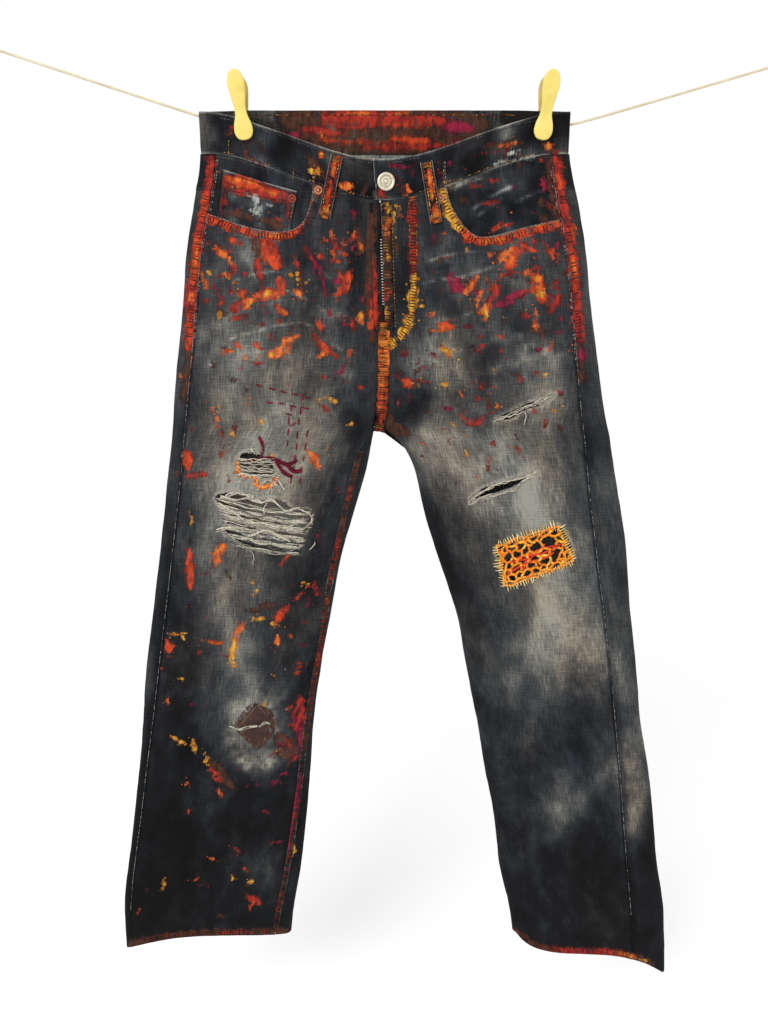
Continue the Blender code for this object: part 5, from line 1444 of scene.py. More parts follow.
# Paint along the two outer seams: paint, width, and the stretch of seam it covers.
SEAM_BANDS = tuple(
    (paint, width, seam_line(side, "outseam", top, foot, -out)) for
    side, paint, width, top, foot, out in (
        (-1, "red", 6, -26, -92, 4), (-1, "red_orange", 5, -60, -84, 5),
        (-1, "red", 8, -92, -205, 4.5), (-1, "red_orange", 6, -104, -150, 4.5),
        (-1, "orange", 3.5, -116, -138, 4.5), (-1, "red", 9, -148, -176, 8),
        (-1, "red_orange", 6, -176, -214, 4.5), (-1, "orange", 4, -160, -170, 5),
        (1, "red", 7, -26, -92, 3), (1, "brown", 7, -30, -100, -3),
        (1, "red_orange", 5, -44, -62, 3), (1, "red", 8, -88, -196, 4),
        (1, "red_orange", 5, -112, -158, 4.5), (1, "orange", 3, -128, -142, 4.5),
        (1, "red", 8, -196, -206, 5), (1, "crimson", 6, -216, -226, 5),
        (1, "brown", 6, -206, -250, 3), (-1, "brown", 6, -214, -270, 3)))
HEM_BANDS = {
    -1: (("brown", 8, hem_line(-1, 4.5, -340, -130)), ("red", 3, hem_line(-1, 4.5, -215, -175))),
    1: (("brown", 7, hem_line(1, 4.5, 176, 360)), ("red", 7, hem_line(1, 4.5, 222, 316)),
        ("crimson", 4, hem_line(1, 4.5, 236, 300)), ("orange", 4, hem_line(1, 4.5, 312, 336)),
        ("yellow", 3, hem_line(1, 4.5, 338, 350))),
}
BACK_STROKES = by_paint({
    "red": (
        (-150, -120, -128, -132, 5, 0.1), (40, -70, 60, -76, 5),
    ),
    "orange": (
        (60, -150, 78, -142, 4),
    ),
    "red_orange": (
        (120, -180, 132, -196, 5),
    ),
    "crimson": (
        (-80, -180, -70, -200, 4),
    ),
    "yellow": (
        (88, -120, 92, -124, 3),
    ),
})


def count_cells(length, cell):
    return max(2, int(round(length / cell)))


def make_front(side):
    name = NAMES[side]
    rows, columns = count_cells(0.958, FRONT_CELL), count_cells(0.205, FRONT_CELL)
    points, u, _ = panel_grid(side, "front", columns, rows, front_top)
    normal = outward_normals(points, 1)
    x, z = points[..., 0], points[..., 2]
    lift = sheet_lift(FRONT_CREASES, points, u, 100 + side)
    band = path_distance(smooth_ring(POCKET_MOUTH[side], 5.0, closed=False), x, z)
    lift = lift + 0.7 * MM * smooth((8.6 * MM - band) / (1.2 * MM))
    lift = lift + 0.30 * MM * np.exp(-(band / (8 * MM)) ** 4) * lattice_noise(x, z, 4 * MM, 5)
    points = points + normal * lift[..., None]
    inside = hole_depth(side, x, z)
    points, kept = open_holes(points, inside)
    made = grid_object(f"front_panel_{name}_cloth", points)
    fade = fade_value(FRONT_FADES, x, z) + wear_on_edges(inside)
    edge = np.abs(u).max(axis=1, keepdims=True) - u
    # the worn lines and the painted shade of the folds beside them
    fade = fade + wear_and_fold_shade(x, z) - 0.45 * np.exp(-((edge - 1.2 * MM) / (1.4 * MM)) ** 2)
    fields = paint_fields(x, z, FRONT_STROKES, FRONT_BANDS + SEAM_BANDS + HEM_BANDS[side])
    dress_sheet(made, u, points, fade, fields)
    drop_faces(made, kept)
    face_outward(made, (0, -1, 0))
    PANELS[f"front_{name}"] = made
    return made, rows, columns


TURNED_FRONT = -0.05         # cloth whose normal is below this faces the front


def make_back(side):
    name = NAMES[side]
    rows, columns = count_cells(0.92, BACK_CELL), count_cells(0.25, BACK_CELL)
    points, u, _ = panel_grid(side, "back", columns, rows, lambda x: yoke_foot(x))
    normal = outward_normals(points, -1)
    lift = sheet_lift(BACK_CREASES, points, u, 200 + side)
    points = points + normal * lift[..., None]
    made = grid_object(f"back_panel_{name}_cloth", points)
    x, z = points[..., 0], points[..., 2]
    edge = np.abs(u).max(axis=1, keepdims=True) + u
    ahead = normal[..., 1] < TURNED_FRONT
    fields = paint_fields(x, z, BACK_STROKES, HEM_BANDS[side])
    wrapped = paint_fields(x, z, FRONT_STROKES, SEAM_BANDS + HEM_BANDS[side])
    fields = {paint: np.where(ahead, wrapped[paint], fields[paint]) for paint in fields}
    fade = np.where(ahead, fade_value(FRONT_FADES, x, z), fade_value(BACK_FADES, x, z))
    fade = fade - 0.2 * np.exp(-((edge - 2 * MM) / (3 * MM)) ** 2)
    dress_sheet(made, u, points, fade, fields)
    face_outward(made, (0, 1, 0))
    PANELS[f"back_{name}"] = made
    return made


def close_panel(made, wall, replaced, finishes):
    """Gives a sheet its wall and finish."""
    set_finishes(made, finishes)
    give_wall(made, wall)
    shade_smooth(made, 40)
    finish_piece(made, replaced)


def dress_inside(made, x, z, strokes=(), base=0.45):
    """The wrong side's own wear and paint, with painted light on the inside behind the knee rip.
    """
    # painted light: the cloth seen through the knee rip is lightened as if lit there
    painted_light_behind_rip = np.exp(-((x / MM + 135) / 60) ** 2 - ((z / MM + 405) / 50) ** 2)
    worn = base + 0.7 * painted_light_behind_rip + 0.10 * layered_noise(x, z, 40 * MM, 31)
    set_values(made, "inner_fade_and_light", worn)
    for paint, field in paint_fields(x, z, strokes).items():
        set_values(made, f"inner_paint_{paint}", field)


class Cover:
    """Finds the outermost place at x and z on sheets that are already made."""

    def __init__(self, face, names):
        self.face = face
        corners, faces = [], []
        for name in names:
            mesh = PANELS[name].data
            first = len(corners)
            corners.extend(vert.co.copy() for vert in mesh.vertices)
            faces.extend([first + i for i in polygon.vertices] for polygon in mesh.polygons)
        self.tree = BVHTree.FromPolygons(corners, faces)

    def meets(self, x, z):
        """Whether cloth is met at x and z."""
        start = Vector((x, -0.4 * self.face, z))
        return self.tree.ray_cast(start, Vector((0, self.face, 0)))[0] is not None

    def touch(self, x, z):
        """The point met from outside, or the nearest one where nothing is met."""
        start = Vector((x, -0.4 * self.face, z))
        spot = self.tree.ray_cast(start, Vector((0, self.face, 0)))[0]
        near = Vector((x, cloth_y(-1 if x < CENTRE_X else 1, x, z, self.face), z))
        if spot is None:
            spot = self.tree.find_nearest(near)[0]
            spot = Vector((x, spot.y, z))
        return spot

    def lay(self, x, z, lift):
        """A grid of points laid on the cloth at x and z, moved out by lift."""
        flat = np.array([self.touch(a, b) for a, b in zip(x.reshape(-1), z.reshape(-1))])
        points = flat.reshape(*x.shape, 3)
        normal = outward_normals(points, self.face)
        return points + normal * np.broadcast_to(lift, x.shape)[..., None]


def sheet_on(name, cover, x, z, lift, fade, replaced=(), wall=CLOTH, strokes=(),
             edge=0.4, flat=None, finish=None, points=None, inner=None):
    """A piece sewn on flat: laid on the cloth, given its fade, paint, wall and finish."""
    if points is None:
        points = cover.lay(x, z, lift)
    made = grid_object(name, points)
    set_flat_map(made, x - x.mean(), z)
    rows, columns = [np.minimum(np.arange(n), n - 1 - np.arange(n)) for n in x.shape]
    cell_z = np.hypot(np.diff(x, axis=0), np.diff(z, axis=0)).mean()
    cell_x = np.hypot(np.diff(x, axis=1), np.diff(z, axis=1)).mean()
    rim = np.minimum(rows[:, None] * cell_z, columns[None, :] * cell_x)
    set_values(made, "fade", fade + edge * np.exp(-(rim / (1.1 * MM)) ** 2))
    for paint, field in paint_fields(x, z, strokes).items():
        set_values(made, f"paint_{paint}", field)
    dress_inside(made, x, z)
    face_outward(made, (0, -cover.face, 0))
    PANELS[name] = made
    if flat is None:
        flat = (float(np.ptp(x)) + 1 * MM, float(np.ptp(z)) + 1 * MM)
    flat = (max(flat[0], 10.2 * MM), flat[1])
    close_panel(made, wall, replaced, [finish or DENIM, inner or DENIM_INSIDE])
    return made


for side in (-1, 1):
    make_front(side)
    make_back(side)

# ---- waistband -----------------------------------------------------------------------------
BAND_GAP = 0.35 * MM
BAND_STROKES = by_paint({
    "brown": (
        (-96, 10, 96, 6, 20), (-90, -8, 100, -10, 20),
    ),
    "red": (
        (-60, 12, 60, 8, 11), (-62, 5, -8, 3, 5), (-84, 2, -40, -4, 6), (-20, -16, 62, -14, 6),
        (-50, 16, -6, 17, 5),
    ),
    "red_orange": (
        (-2, 6, 52, 4, 3.5), (-66, -9, 6, -12, 3.5), (8, -8, 48, -10, 6),
    ),
    "orange": (
        (-64, -2, -58, -12, 3), (-36, 16, -16, 15, 3), (12, 16, 32, 15, 3),
    ),
    "crimson": (
        (60, 4, 88, 2, 9), (70, -12, 100, -14, 6), (-100, -4, -84, -6, 6),
    ),
})


def band_stations():
    """Places round the waist, from the right end round the back to the left end."""
    start = [(19 * MM, FRONT_AT_PEG - LENS_DEPTH, 0.0)]
    halves = []
    for side in (-1, 1):
        points, length = section_points(side, 0.0)
        reach = np.linspace(0.5 * MM, length[-1] - 0.5 * MM, 150)
        half = np.stack([np.interp(reach, length, points[:, 0]),
                         np.interp(reach, length, points[:, 1]), reach / length[-1]], -1)
        halves.append(half if side < 0 else half[::-1])
    finish = [(-11 * MM, FRONT_AT_PEG - LENS_DEPTH, 0.0)]
    route = np.concatenate([start, halves[0], halves[1], finish])
    steps = np.linalg.norm(np.diff(route[:, :2], axis=0), axis=1)
    travelled = np.concatenate([[0], np.cumsum(steps)])
    even = np.linspace(0, travelled[-1], count_cells(travelled[-1], 2.4 * MM) + 1)
    columns = [np.interp(even, travelled, route[:, i]) for i in range(3)]
    return even, *columns


def make_waistband():
    travelled, x, y, share = band_stations()
    count = len(x)
    rows = 16
    level = np.linspace(0, 1, rows + 1)[:, None]
    to_back = smooth((share - 0.35) / 0.3)
    foot = WAIST_SEAM + BAND_GAP + sag(x) * (1 - to_back)
    height = mix(BAND_FRONT, BAND_BACK, to_back)
    early = np.arange(count) < count // 4
    under = np.where(early, smooth((x + 42 * MM) / (26 * MM)), 0.0)
    slant = np.where(np.arange(count) == count - 1, 4 * MM, 0.0)
    points = np.stack([
        x + slant * (1 - level),
        (y + under * (BAND + 0.5 * MM)) * np.ones((rows + 1, 1)),
        foot + height * level], -1)
    normal = grid_normals(points)
    outward = points - np.array([0, -0.02, 0])
    way = np.sign((normal[..., 0] * outward[..., 0]).sum())
    u = travelled * np.ones((rows + 1, 1))
    v = level * height
    lift = 0.5 * MM * layered_noise(u, v, 34 * MM, 61) * (1 - under)
    lift = lift + 0.28 * MM * lattice_noise(u, v, 6 * MM, 63) * np.exp(-(level / 0.16) ** 2)
    points = points + normal * way * lift[..., None]
    made = grid_object("waistband_cloth", points)
    set_flat_map(made, u, v)
    px, pz = points[..., 0], points[..., 2]
    front = points[..., 1] < -9 * MM
    edges = np.exp(-((1 - level) * height / (1.3 * MM)) ** 2)
    foot_edge = np.exp(-(level * height / (1.0 * MM)) ** 2)
    end_edge = np.exp(-((travelled[-1] - u) / (1.1 * MM)) ** 2)
    fade = fade_value(FRONT_FADES, px, pz) - 0.15 + 0.5 * layered_noise(u, v, 30 * MM, 64)
    fade = fade + 0.6 * edges + 0.45 * foot_edge + 0.5 * end_edge
    set_values(made, "fade", fade)
    for paint, field in paint_fields(px, pz, FRONT_STROKES).items():
        set_values(made, f"paint_{paint}", np.where(front, field, BARE))
    dress_inside(made, px, pz, BAND_STROKES, base=0.04)
    PANELS["waistband"] = made
    form = bmesh.new()
    form.from_mesh(made.data)
    form.faces.ensure_lookup_table()
    spot = min(form.faces, key=lambda face: (face.calc_center_median()
                                             - Vector((-0.1, -0.03, -0.03))).length)
    if spot.normal.y > 0:
        bmesh.ops.reverse_faces(form, faces=form.faces)
    form.to_mesh(made.data)
    form.free()
    set_finishes(made, [DENIM, DENIM_INSIDE])
    give_wall(made, BAND)
    bevel = made.modifiers.new("edge", "BEVEL")
    bevel.width = 0.8 * MM
    bevel.segments = 2
    bevel.limit_method = "ANGLE"
    bevel.angle_limit = math.radians(60)
    apply_modifiers(made)
    shade_smooth(made, 50)
    finish_piece(made, ["waistband"])


make_waistband()


# ---- yokes, facings and pockets ------------------------------------------------------------
def make_yoke(side):
    name = NAMES[side]
    rows, columns = 18, 46
    levels, strips, widths = strip_sections(side, "back", columns)
    share = np.linspace(0, 1, rows + 1)[:, None]
    z = np.full((rows + 1, columns + 1), WAIST_SEAM)
    for _ in range(SETTLE_ROUNDS):
        flat = on_sections(levels, strips, z)[0]
        z = mix(WAIST_SEAM + 0.8 * BAND_GAP, yoke_foot(flat[..., 0]) + BAND_GAP, share)
    points = np.stack([flat[..., 0], flat[..., 1], z], -1)
    column = np.arange(columns + 1) * np.ones((rows + 1, 1))
    u = (column / columns - 0.5) * widths[8]
    normal = outward_normals(points, -1)
    seam = np.exp(-((1 - share) / 0.2) ** 2)
    lift = 0.5 * MM * layered_noise(u, z, 50 * MM, 300 + side)
    lift = lift + 0.35 * MM * seam * lattice_noise(u, z, 6 * MM, 310 + side) + 0.6 * MM * seam
    points = points + normal * lift[..., None]
    made = grid_object(f"yoke_{name}_cloth", points)
    x = points[..., 0]
    fade = fade_value(BACK_FADES, x, z) + 0.22 * np.exp(-((1 - share) / 0.05) ** 2)
    ahead = normal[..., 1] < TURNED_FRONT
    wrapped = paint_fields(x, z, FRONT_STROKES, SEAM_BANDS)
    fields = {paint: np.where(ahead, field, BARE) for paint, field in wrapped.items()}
    dress_sheet(made, u, points, fade - 0.22 * ahead, fields)
    dress_inside(made, x, z, base=0.5)
    face_outward(made, (0, 1, 0))
    PANELS[f"yoke_{name}"] = made


def facing_grid(side):
    """x and z of the cloth that shows in a pocket mouth."""
    start = POCKET_MOUTH[side][2][0] * MM - side * 8 * MM
    columns, rows = 66, 44
    across = np.linspace(0, 1, columns + 1)[None, :]
    down = np.linspace(0, 1, rows + 1)[:, None]
    z = np.full((rows + 1, columns + 1), WAIST_SEAM)
    x = z
    for _ in range(4):
        x = mix(start, outline(side, "outseam", z) - side * 0.3 * MM, across)
        z = mix(front_top(x) + 1.0 * MM, -114 * MM, down)
    return x, z


def make_facing(side):
    name = NAMES[side]
    x, z = facing_grid(side)
    points = layer_grid(side, x, z, 1, -(CLOTH + 0.75 * MM) * np.ones(x.shape))
    normal = outward_normals(points, 1)
    soft = 0.35 * MM * layered_noise(x, z, 22 * MM, 410 + side)
    points = points + normal * soft[..., None]
    made = grid_object(f"pocket_facing_{name}_cloth", points)
    fade = fade_value(FRONT_FADES, x, z) - 0.14 + 0.4 * layered_noise(x, z, 26 * MM, 411)
    top_wear = np.exp(-((front_top(x) - z) / (1.6 * MM)) ** 2)
    # the worn lines and the painted fold shade beside them, made stronger on the facing
    fade = fade + 2.2 * wear_and_fold_shade(x, z)
    dress_sheet(made, x - x.mean(), points, fade + 0.3 * top_wear,
                paint_fields(x, z, FRONT_STROKES, SEAM_BANDS))
    dress_inside(made, x, z)
    face_outward(made, (0, -1, 0))
    PANELS[f"facing_{name}"] = made
    close_panel(made, CLOTH, [f"pocket_facing_{name}"], [DENIM, DENIM_INSIDE])


def quad_grid(corners, columns, rows):
    """x and z over a four-cornered piece, corners in millimetres from its top left."""
    top_a, top_b, foot_b, foot_a = [np.array(corner, float) * MM for corner in corners]
    across = np.linspace(0, 1, columns + 1)[None, :, None]
    down = np.linspace(0, 1, rows + 1)[:, None, None]
    spots = mix(mix(top_a, top_b, across), mix(foot_a, foot_b, across), down)
    return spots[..., 0], spots[..., 1]


for side in (-1, 1):
    make_yoke(side)
    make_facing(side)
# Each panel's wrong side, then its wall and finish.
for side in (-1, 1):
    name = NAMES[side]
    for part, base in (("front", 0.42), ("back", 0.42)):
        made = PANELS[f"{part}_{name}"]
        spots = np.empty(len(made.data.vertices) * 3)
        made.data.vertices.foreach_get("co", spots)
        spots = spots.reshape(-1, 3)
        dress_inside(made, spots[:, 0], spots[:, 2], base=base)
    close_panel(PANELS[f"front_{name}"], CLOTH, [f"front_panel_{name}"],
                [DENIM, DENIM_INSIDE])
    close_panel(PANELS[f"back_{name}"], CLOTH, [f"back_panel_{name}"],
                [DENIM_BACK, DENIM_INSIDE])
    close_panel(PANELS[f"yoke_{name}"], CLOTH, [f"yoke_{name}"],
                [DENIM_BACK, DENIM_INSIDE])

FRONT_PANELS = ["front_right", "front_left", "facing_right", "facing_left", "waistband"]
BACK_PANELS = ["back_right", "back_left", "yoke_right", "yoke_left", "waistband"]
FRONT = Cover(1, FRONT_PANELS)
BACK = Cover(-1, BACK_PANELS)
LAY = 0.4 * MM


def square_to(line):
    """At each point of a line on the cloth, the direction square to it."""
    way = np.gradient(line, axis=0)
    way /= np.linalg.norm(way, axis=1, keepdims=True)
    return np.stack([-way[:, 1], way[:, 0]], -1)


def path_grid(path, width, step, columns):
    """x, z and shares over a band that follows a path, all given in millimetres."""
    line = smooth_ring(path, step, closed=False)
    off = square_to(line)[:, None, :]
    across = np.linspace(-0.5, 0.5, columns + 1)[None, :]
    spots = (line[:, None, :] + off * across[..., None] * width) * MM
    along = np.linspace(0, 1, len(line))[:, None]
    return spots[..., 0], spots[..., 1], along, across


def path_length(path):
    line = np.asarray(path, float)
    return float(np.linalg.norm(np.diff(line, axis=0), axis=1).sum())


# ---- patches, pockets and bands sewn on the front ------------------------------------------
COIN_STROKES = by_paint({
    "red": (
        (-160, -50, -124, -58, 16), (-134, -56, -94, -67, 10), (-156, -56, -96, -70, 6),
        (-158, -57, -128, -62, 6), (-162, -62, -161, -80, 2.4), (-96, -68, -98, -90, 2.2),
        (-150, -74, -148, -80, 2), (-164, -52, -166, -86, 3),
    ),
    "red_orange": (
        (-160, -48, -126, -55, 8), (-130, -56, -104, -62, 5), (-112, -84, -102, -90, 3),
    ),
    "orange": (
        (-158, -46, -130, -52, 4), (-158, -48, -148, -50, 3), (-122, -59, -108, -63, 3),
    ),
    "yellow": (
        (-156, -50, -150, -51, 1.2),
    ),
    "pale": (
        (-134, -66, -126, -73, 3, 0.2), (-131, -73, -124, -79, 3), (-136, -79, -126, -83, 2.4),
        (-119, -72, -114, -74, 2), (-140, -62, -136, -66, 2), (-132, -64, -128, -72, 4.5, 0.1),
        (-130, -74, -128, -84, 4),
    ),
    "brown": (
        (-156, -80, -136, -86, 7), (-124, -88, -104, -94, 8),
    ),
})
FLY_EDGE = ((-3.2, -73), (-2.7, -85), (-1.7, -110), (-0.6, -140), (0.4, -170), (1.2, -196))
CROTCH_BAND = ((0, -188), (0, -212), (-0.5, -235), (-1.5, -262), (-3, -290), (-6, -306))
BACK_CROTCH = ((-16, -295), (-4, -297), (8, -306), (20, -315), (34, -326))
FOLD_STROKES = by_paint({
    "brown": (
        (-12, -84, -9, -200, 5), (-8, -66, -8, -110, 3),
    ),
    "red": (
        (-10, -128, -8, -200, 5),
    ),
    "red_orange": (
        (-9, -176, -8, -186, 3),
    ),
})
INSEAM = ((-26, -326), (-39, -374), (-51, -426), (-64, -486), (-73, -549), (-86, -617),
          (-98, -692), (-108, -769), (-124, -868), (-137, -932), (-142, -962))
FLY_STROKES = by_paint({
    "brown": (
        (3, -68, 3, -190, 7),
    ),
    "orange": (
        (2, -96, 2, -104, 4), (6, -88, 5, -104, 3),
    ),
    "yellow": (
        (4, -72, 5, -84, 3), (3, -118, 4, -128, 2.4), (2, -172, 3, -182, 2),
    ),
    "red": (
        (-1, -150, 0, -186, 3),
    ),
    "red_orange": (
        (3, -152, 4, -164, 4),
    ),
})
CROTCH_STROKES = by_paint({
    "orange": (
        (0, -190, 0, -244, 11), (0, -194, 0, -206, 8), (-1, -232, -2, -262, 6),
        (-3, -272, -5, -284, 5),
    ),
    "red_orange": (
        (-1, -240, -3, -292, 9), (1, -208, 0, -240, 6), (1, -190, 1, -246, 7),
    ),
    "brown": (
        (-4, -252, -6, -300, 6), (-10, -304, 24, -318, 8),
    ),
    "yellow": (
        (0, -198, 0, -203, 4), (2, -222, 1, -228, 2.5), (-4, -276, -4, -280, 2),
        (-1, -240, -2, -256, 2.4),
    ),
    "red": (
        (-4, -290, -7, -306, 8),
    ),
})
INSEAM_STROKES = by_paint({
    "brown": (
        (-26, -330, -60, -470, 7), (-64, -486, -98, -692, 6), (-124, -850, -146, -956, 6),
    ),
    "red_orange": (
        (-38, -366, -40, -380, 3), (-60, -462, -63, -482, 4),
    ),
    "red": (
        (-50, -420, -56, -450, 4), (-74, -556, -82, -596, 4), (-112, -780, -116, -802, 4),
        (-136, -906, -142, -934, 3),
    ),
    "crimson": (
        (-104, -730, -122, -838, 6),
    ),
    "orange": (
        (-62, -474, -64, -482, 2), (-66, -500, -67, -506, 2.5),
    ),
})


def sewn_band(name, path, width, strokes, lift, fade, edge=0.3, replaced=()):
    """A felled seam: a narrow folded band with puckers, laid along a path."""
    x, z, along, across = path_grid(path, width, 1.6, 8)
    length = path_length(path)
    pucker = lattice_noise(across * 8 * MM + 0 * x, along * length * MM, 3.4 * MM, len(name))
    crown = 0.5 * MM * (1 - (2 * across) ** 4) + 0.45 * MM * pucker
    made = sheet_on(name, FRONT, x, z, lift + crown, fade + 0.2 * pucker,
                    replaced, 1.0 * MM, strokes, edge, (width * MM, length * MM))
    return made


def make_front_pieces():
    x, z = quad_grid(((-88, -60), (-164, -38), (-169, -96), (-97, -106)), 48, 36)
    soft = 0.4 * MM * layered_noise(x, z, 16 * MM, 71)
    top = np.linspace(0, 1, z.shape[0])[:, None]
    worn = 0.6 * np.exp(-(top / 0.025) ** 2) + 0.3 * layered_noise(x, z, 9 * MM, 74)
    sheet_on("coin_pocket_cloth", Cover(1, ["facing_right"]), x, z, CLOTH + LAY + soft,
             0.42 + worn, ["coin_pocket"], strokes=COIN_STROKES, edge=0.1)
    x, z = quad_grid(((-150, -629), (-176, -661), (-154, -690), (-134, -653)), 22, 24)
    soft = 0.3 * MM * layered_noise(x, z, 9 * MM, 72)
    sheet_on("shin_patch_cloth", FRONT, x, z, CLOTH + LAY + soft,
             0.35 + 0.3 * layered_noise(x, z, 8 * MM, 73), ["shin_patch"],
             finish=PATCH_CLOTH)
    line = [(x - 6.2, z) for x, z in FLY_EDGE]
    x, z, along, across = path_grid(line, 10, 2.0, 10)
    sheet_on("fly_fold_cloth", FRONT, x, z, (1.2 - 2.4 * across ** 2) * MM, 0.2 + 0 * x,
             (), 0.8 * MM, FOLD_STROKES, 0, flat=(10 * MM, path_length(line) * MM))
    line = [(x - 1.6, z) for x, z in FLY_EDGE]
    x, z, along, across = path_grid(line, 4, 2.0, 6)
    sheet_on("zip_tape_cloth", FRONT, x, z, 0.5 * MM + 0 * x, 0.1 + 0 * x,
             ["zip_tape"], 0.5 * MM, edge=0, flat=(4 * MM, path_length(line) * MM))
    line = [(x + 5.5, z) for x, z in FLY_EDGE]
    x, z, along, across = path_grid(line, 11, 2.0, 12)
    ribs = lattice_noise(across * 6 * MM + 0 * x, along * 0.13, 1.5 * MM, 75)
    lift = (1.7 - 1.5 * (across + 0.5) ** 2 + 0.4 * ribs) * MM
    pale = 0.75 * np.exp(-((across + 0.5) / 0.1) ** 2) + 0.2 * np.exp(-(across / 0.3) ** 2)
    sheet_on("fly_edge_cloth", FRONT, x, z, lift, 0.12 + 0.25 * ribs + pale, (),
             1.0 * MM, FLY_STROKES, 0, flat=(11 * MM, path_length(line) * MM))
    line = [(x + 10, z - 4) for x, z in FLY_EDGE]
    x, z, along, across = path_grid(line, 36, 3.0, 14)
    points = layer_grid(1, x, z, 1, -4.5 * MM * np.ones(x.shape))
    sheet_on("fly_shield_cloth", FRONT, x, z, 0, 0.3 + 0 * x, ["fly_shield"],
             flat=(36 * MM, path_length(line) * MM), points=points)
    sewn_band("crotch_band", CROTCH_BAND, 12.4, CROTCH_STROKES, 1.3 * MM, 0.12, 0.1)
    x, z, along, across = path_grid(BACK_CROTCH, 15, 1.6, 10)
    depth_y = 2 * MM + 0.8 * MM * lattice_noise(x, z, 6 * MM, 79) - 1.2 * MM * (2 * across) ** 4
    sheet_on("back_crotch_band", FRONT, x, z, 0, 0.16 + 0.2 * lattice_noise(x, z, 4 * MM, 80),
             (), 1.0 * MM, CROTCH_STROKES, 0.2,
             (15 * MM, path_length(BACK_CROTCH) * MM), points=np.stack([x, depth_y, z], -1),
             inner=DENIM)
    sewn_band("inseam_band_right", INSEAM, 7.5, INSEAM_STROKES, 1.2 * MM, 0.26)


# ---- belt loops ----------------------------------------------------------------------------
BELT_LOOPS = {
    "belt_loop_front_right": (1, (-46, -29), (-60, -87), 2.2),
    "belt_loop_front_left": (1, (41, -35), (52, -92), 2.2),
    "belt_loop_back_right": (-1, (-112, 16), (-112, -42), 0.6),
    "belt_loop_back_left": (-1, (112, 16), (112, -42), 0.6),
    "belt_loop_back_middle": (-1, (-4, 16), (-4, -42), 0.6),
}
LOOP_STROKES = by_paint({
    "orange": (
        (-48, -34, -51, -48, 4), (-58, -78, -60, -86, 7), (43, -44, 46, -62, 4),
        (51, -80, 53, -92, 8),
    ),
    "red_orange": (
        (-52, -52, -57, -74, 4), (44, -40, 52, -88, 3),
    ),
    "yellow": (
        (-57, -80, -59, -84, 2.4), (-49, -38, -50, -44, 1.6), (51, -83, 52, -90, 3),
        (47, -64, 48, -70, 2.6),
    ),
    "red": (
        (-46, -31, -48, -40, 8), (46, -48, 50, -76, 4),
    ),
})


def make_loop(name):
    """A folded strip, bowed off the band and tacked down at both ends."""
    face, top, foot, arch = BELT_LOOPS[name]
    cover = FRONT if face > 0 else BACK
    x, z, along, across = path_grid([top, foot], 12, 1.3, 10)
    side = -1 if top[0] < -4 else 1
    near = cloth_y(side, x, z, face)
    met = np.array([cover.touch(a, b).y for a, b in zip(x.reshape(-1), z.reshape(-1))])
    y = np.minimum(met.reshape(x.shape) * face, near * face).min(axis=1)
    reach = np.pad(y, 3, mode="edge")
    y = np.min([reach[i:i + len(y)] for i in range(7)], axis=0)
    reach = np.pad(y, 2, mode="edge")
    y = np.mean([reach[i:i + len(y)] for i in range(5)], axis=0)[:, None]
    lift = (2.2 + arch * np.sin(np.pi * along) - 0.9 * np.abs(2 * across) ** 6
            + 0.25 * np.sin(3 * np.pi * across * 2)) * MM
    tuck = 1.3 * MM * (np.exp(-(along / 0.05) ** 2) + np.exp(-((1 - along) / 0.05) ** 2))
    lift = lift + 0.3 * MM * layered_noise(across * 12 * MM + 0 * x, along * 0.06, 7 * MM, 81)
    points = np.stack([x, face * (y - lift + tuck), z], -1)
    fade = 0.18 + 0.5 * np.exp(-((np.abs(across) - 0.5) / 0.07) ** 2) + 0 * x
    sheet_on(f"{name}_cloth", cover, x, z, 0, fade, [name], 1.6 * MM, LOOP_STROKES,
             0.25, (12 * MM, path_length([top, foot]) * MM), points=points)


# ---- hems and back pockets -----------------------------------------------------------------
def make_hem(side):
    """The cloth turned up inside a leg's foot, one closed ring."""
    name = NAMES[side]
    points, length = section_points(side, HEM[side][0] * MM)
    reach = np.linspace(0, length[-1], 171)
    ring = np.stack([np.interp(reach, length, points[:, i]) for i in (0, 1)], -1)
    way = np.gradient(ring, axis=0)
    normal = np.stack([way[:, 1], -way[:, 0]], -1)
    normal /= np.linalg.norm(normal, axis=1, keepdims=True)
    if ((ring - ring.mean(0)) * normal).sum() < 0:
        normal = -normal
    ring = ring - normal * 2.4 * MM
    rise = np.linspace(1.5, 12, 6)[:, None] * MM
    z = hem_height(side, ring[:, 0])[None, :] + rise
    flat = np.broadcast_to(ring[None], (6, 171, 2))
    made = grid_object(f"hem_{name}_cloth", np.concatenate([flat, z[..., None]], -1))
    set_flat_map(made, reach + 0 * z, rise + 0 * z)
    set_values(made, "fade", 0.5 + 0 * z)
    dress_inside(made, flat[..., 0], z, base=0.4)
    weld(made, close_ends=False, distance=1e-5)
    PANELS[f"hem_{name}"] = made
    close_panel(made, CLOTH, [f"hem_{name}"], [DENIM_INSIDE, DENIM_INSIDE])


BACK_POCKETS = {-1: -104, 1: 98}


def back_pocket_outline(side, inset=0.0):
    """The pocket's five corners, in millimetres, from its mouth's inner end."""
    middle = BACK_POCKETS[side]
    mouth, foot = 73 - inset, 64 - inset
    return [(middle - mouth, -98 - inset), (middle - foot, -214 + inset * 0.6),
            (middle, -236 + inset), (middle + foot, -214 + inset * 0.6),
            (middle + mouth, -98 - inset)]


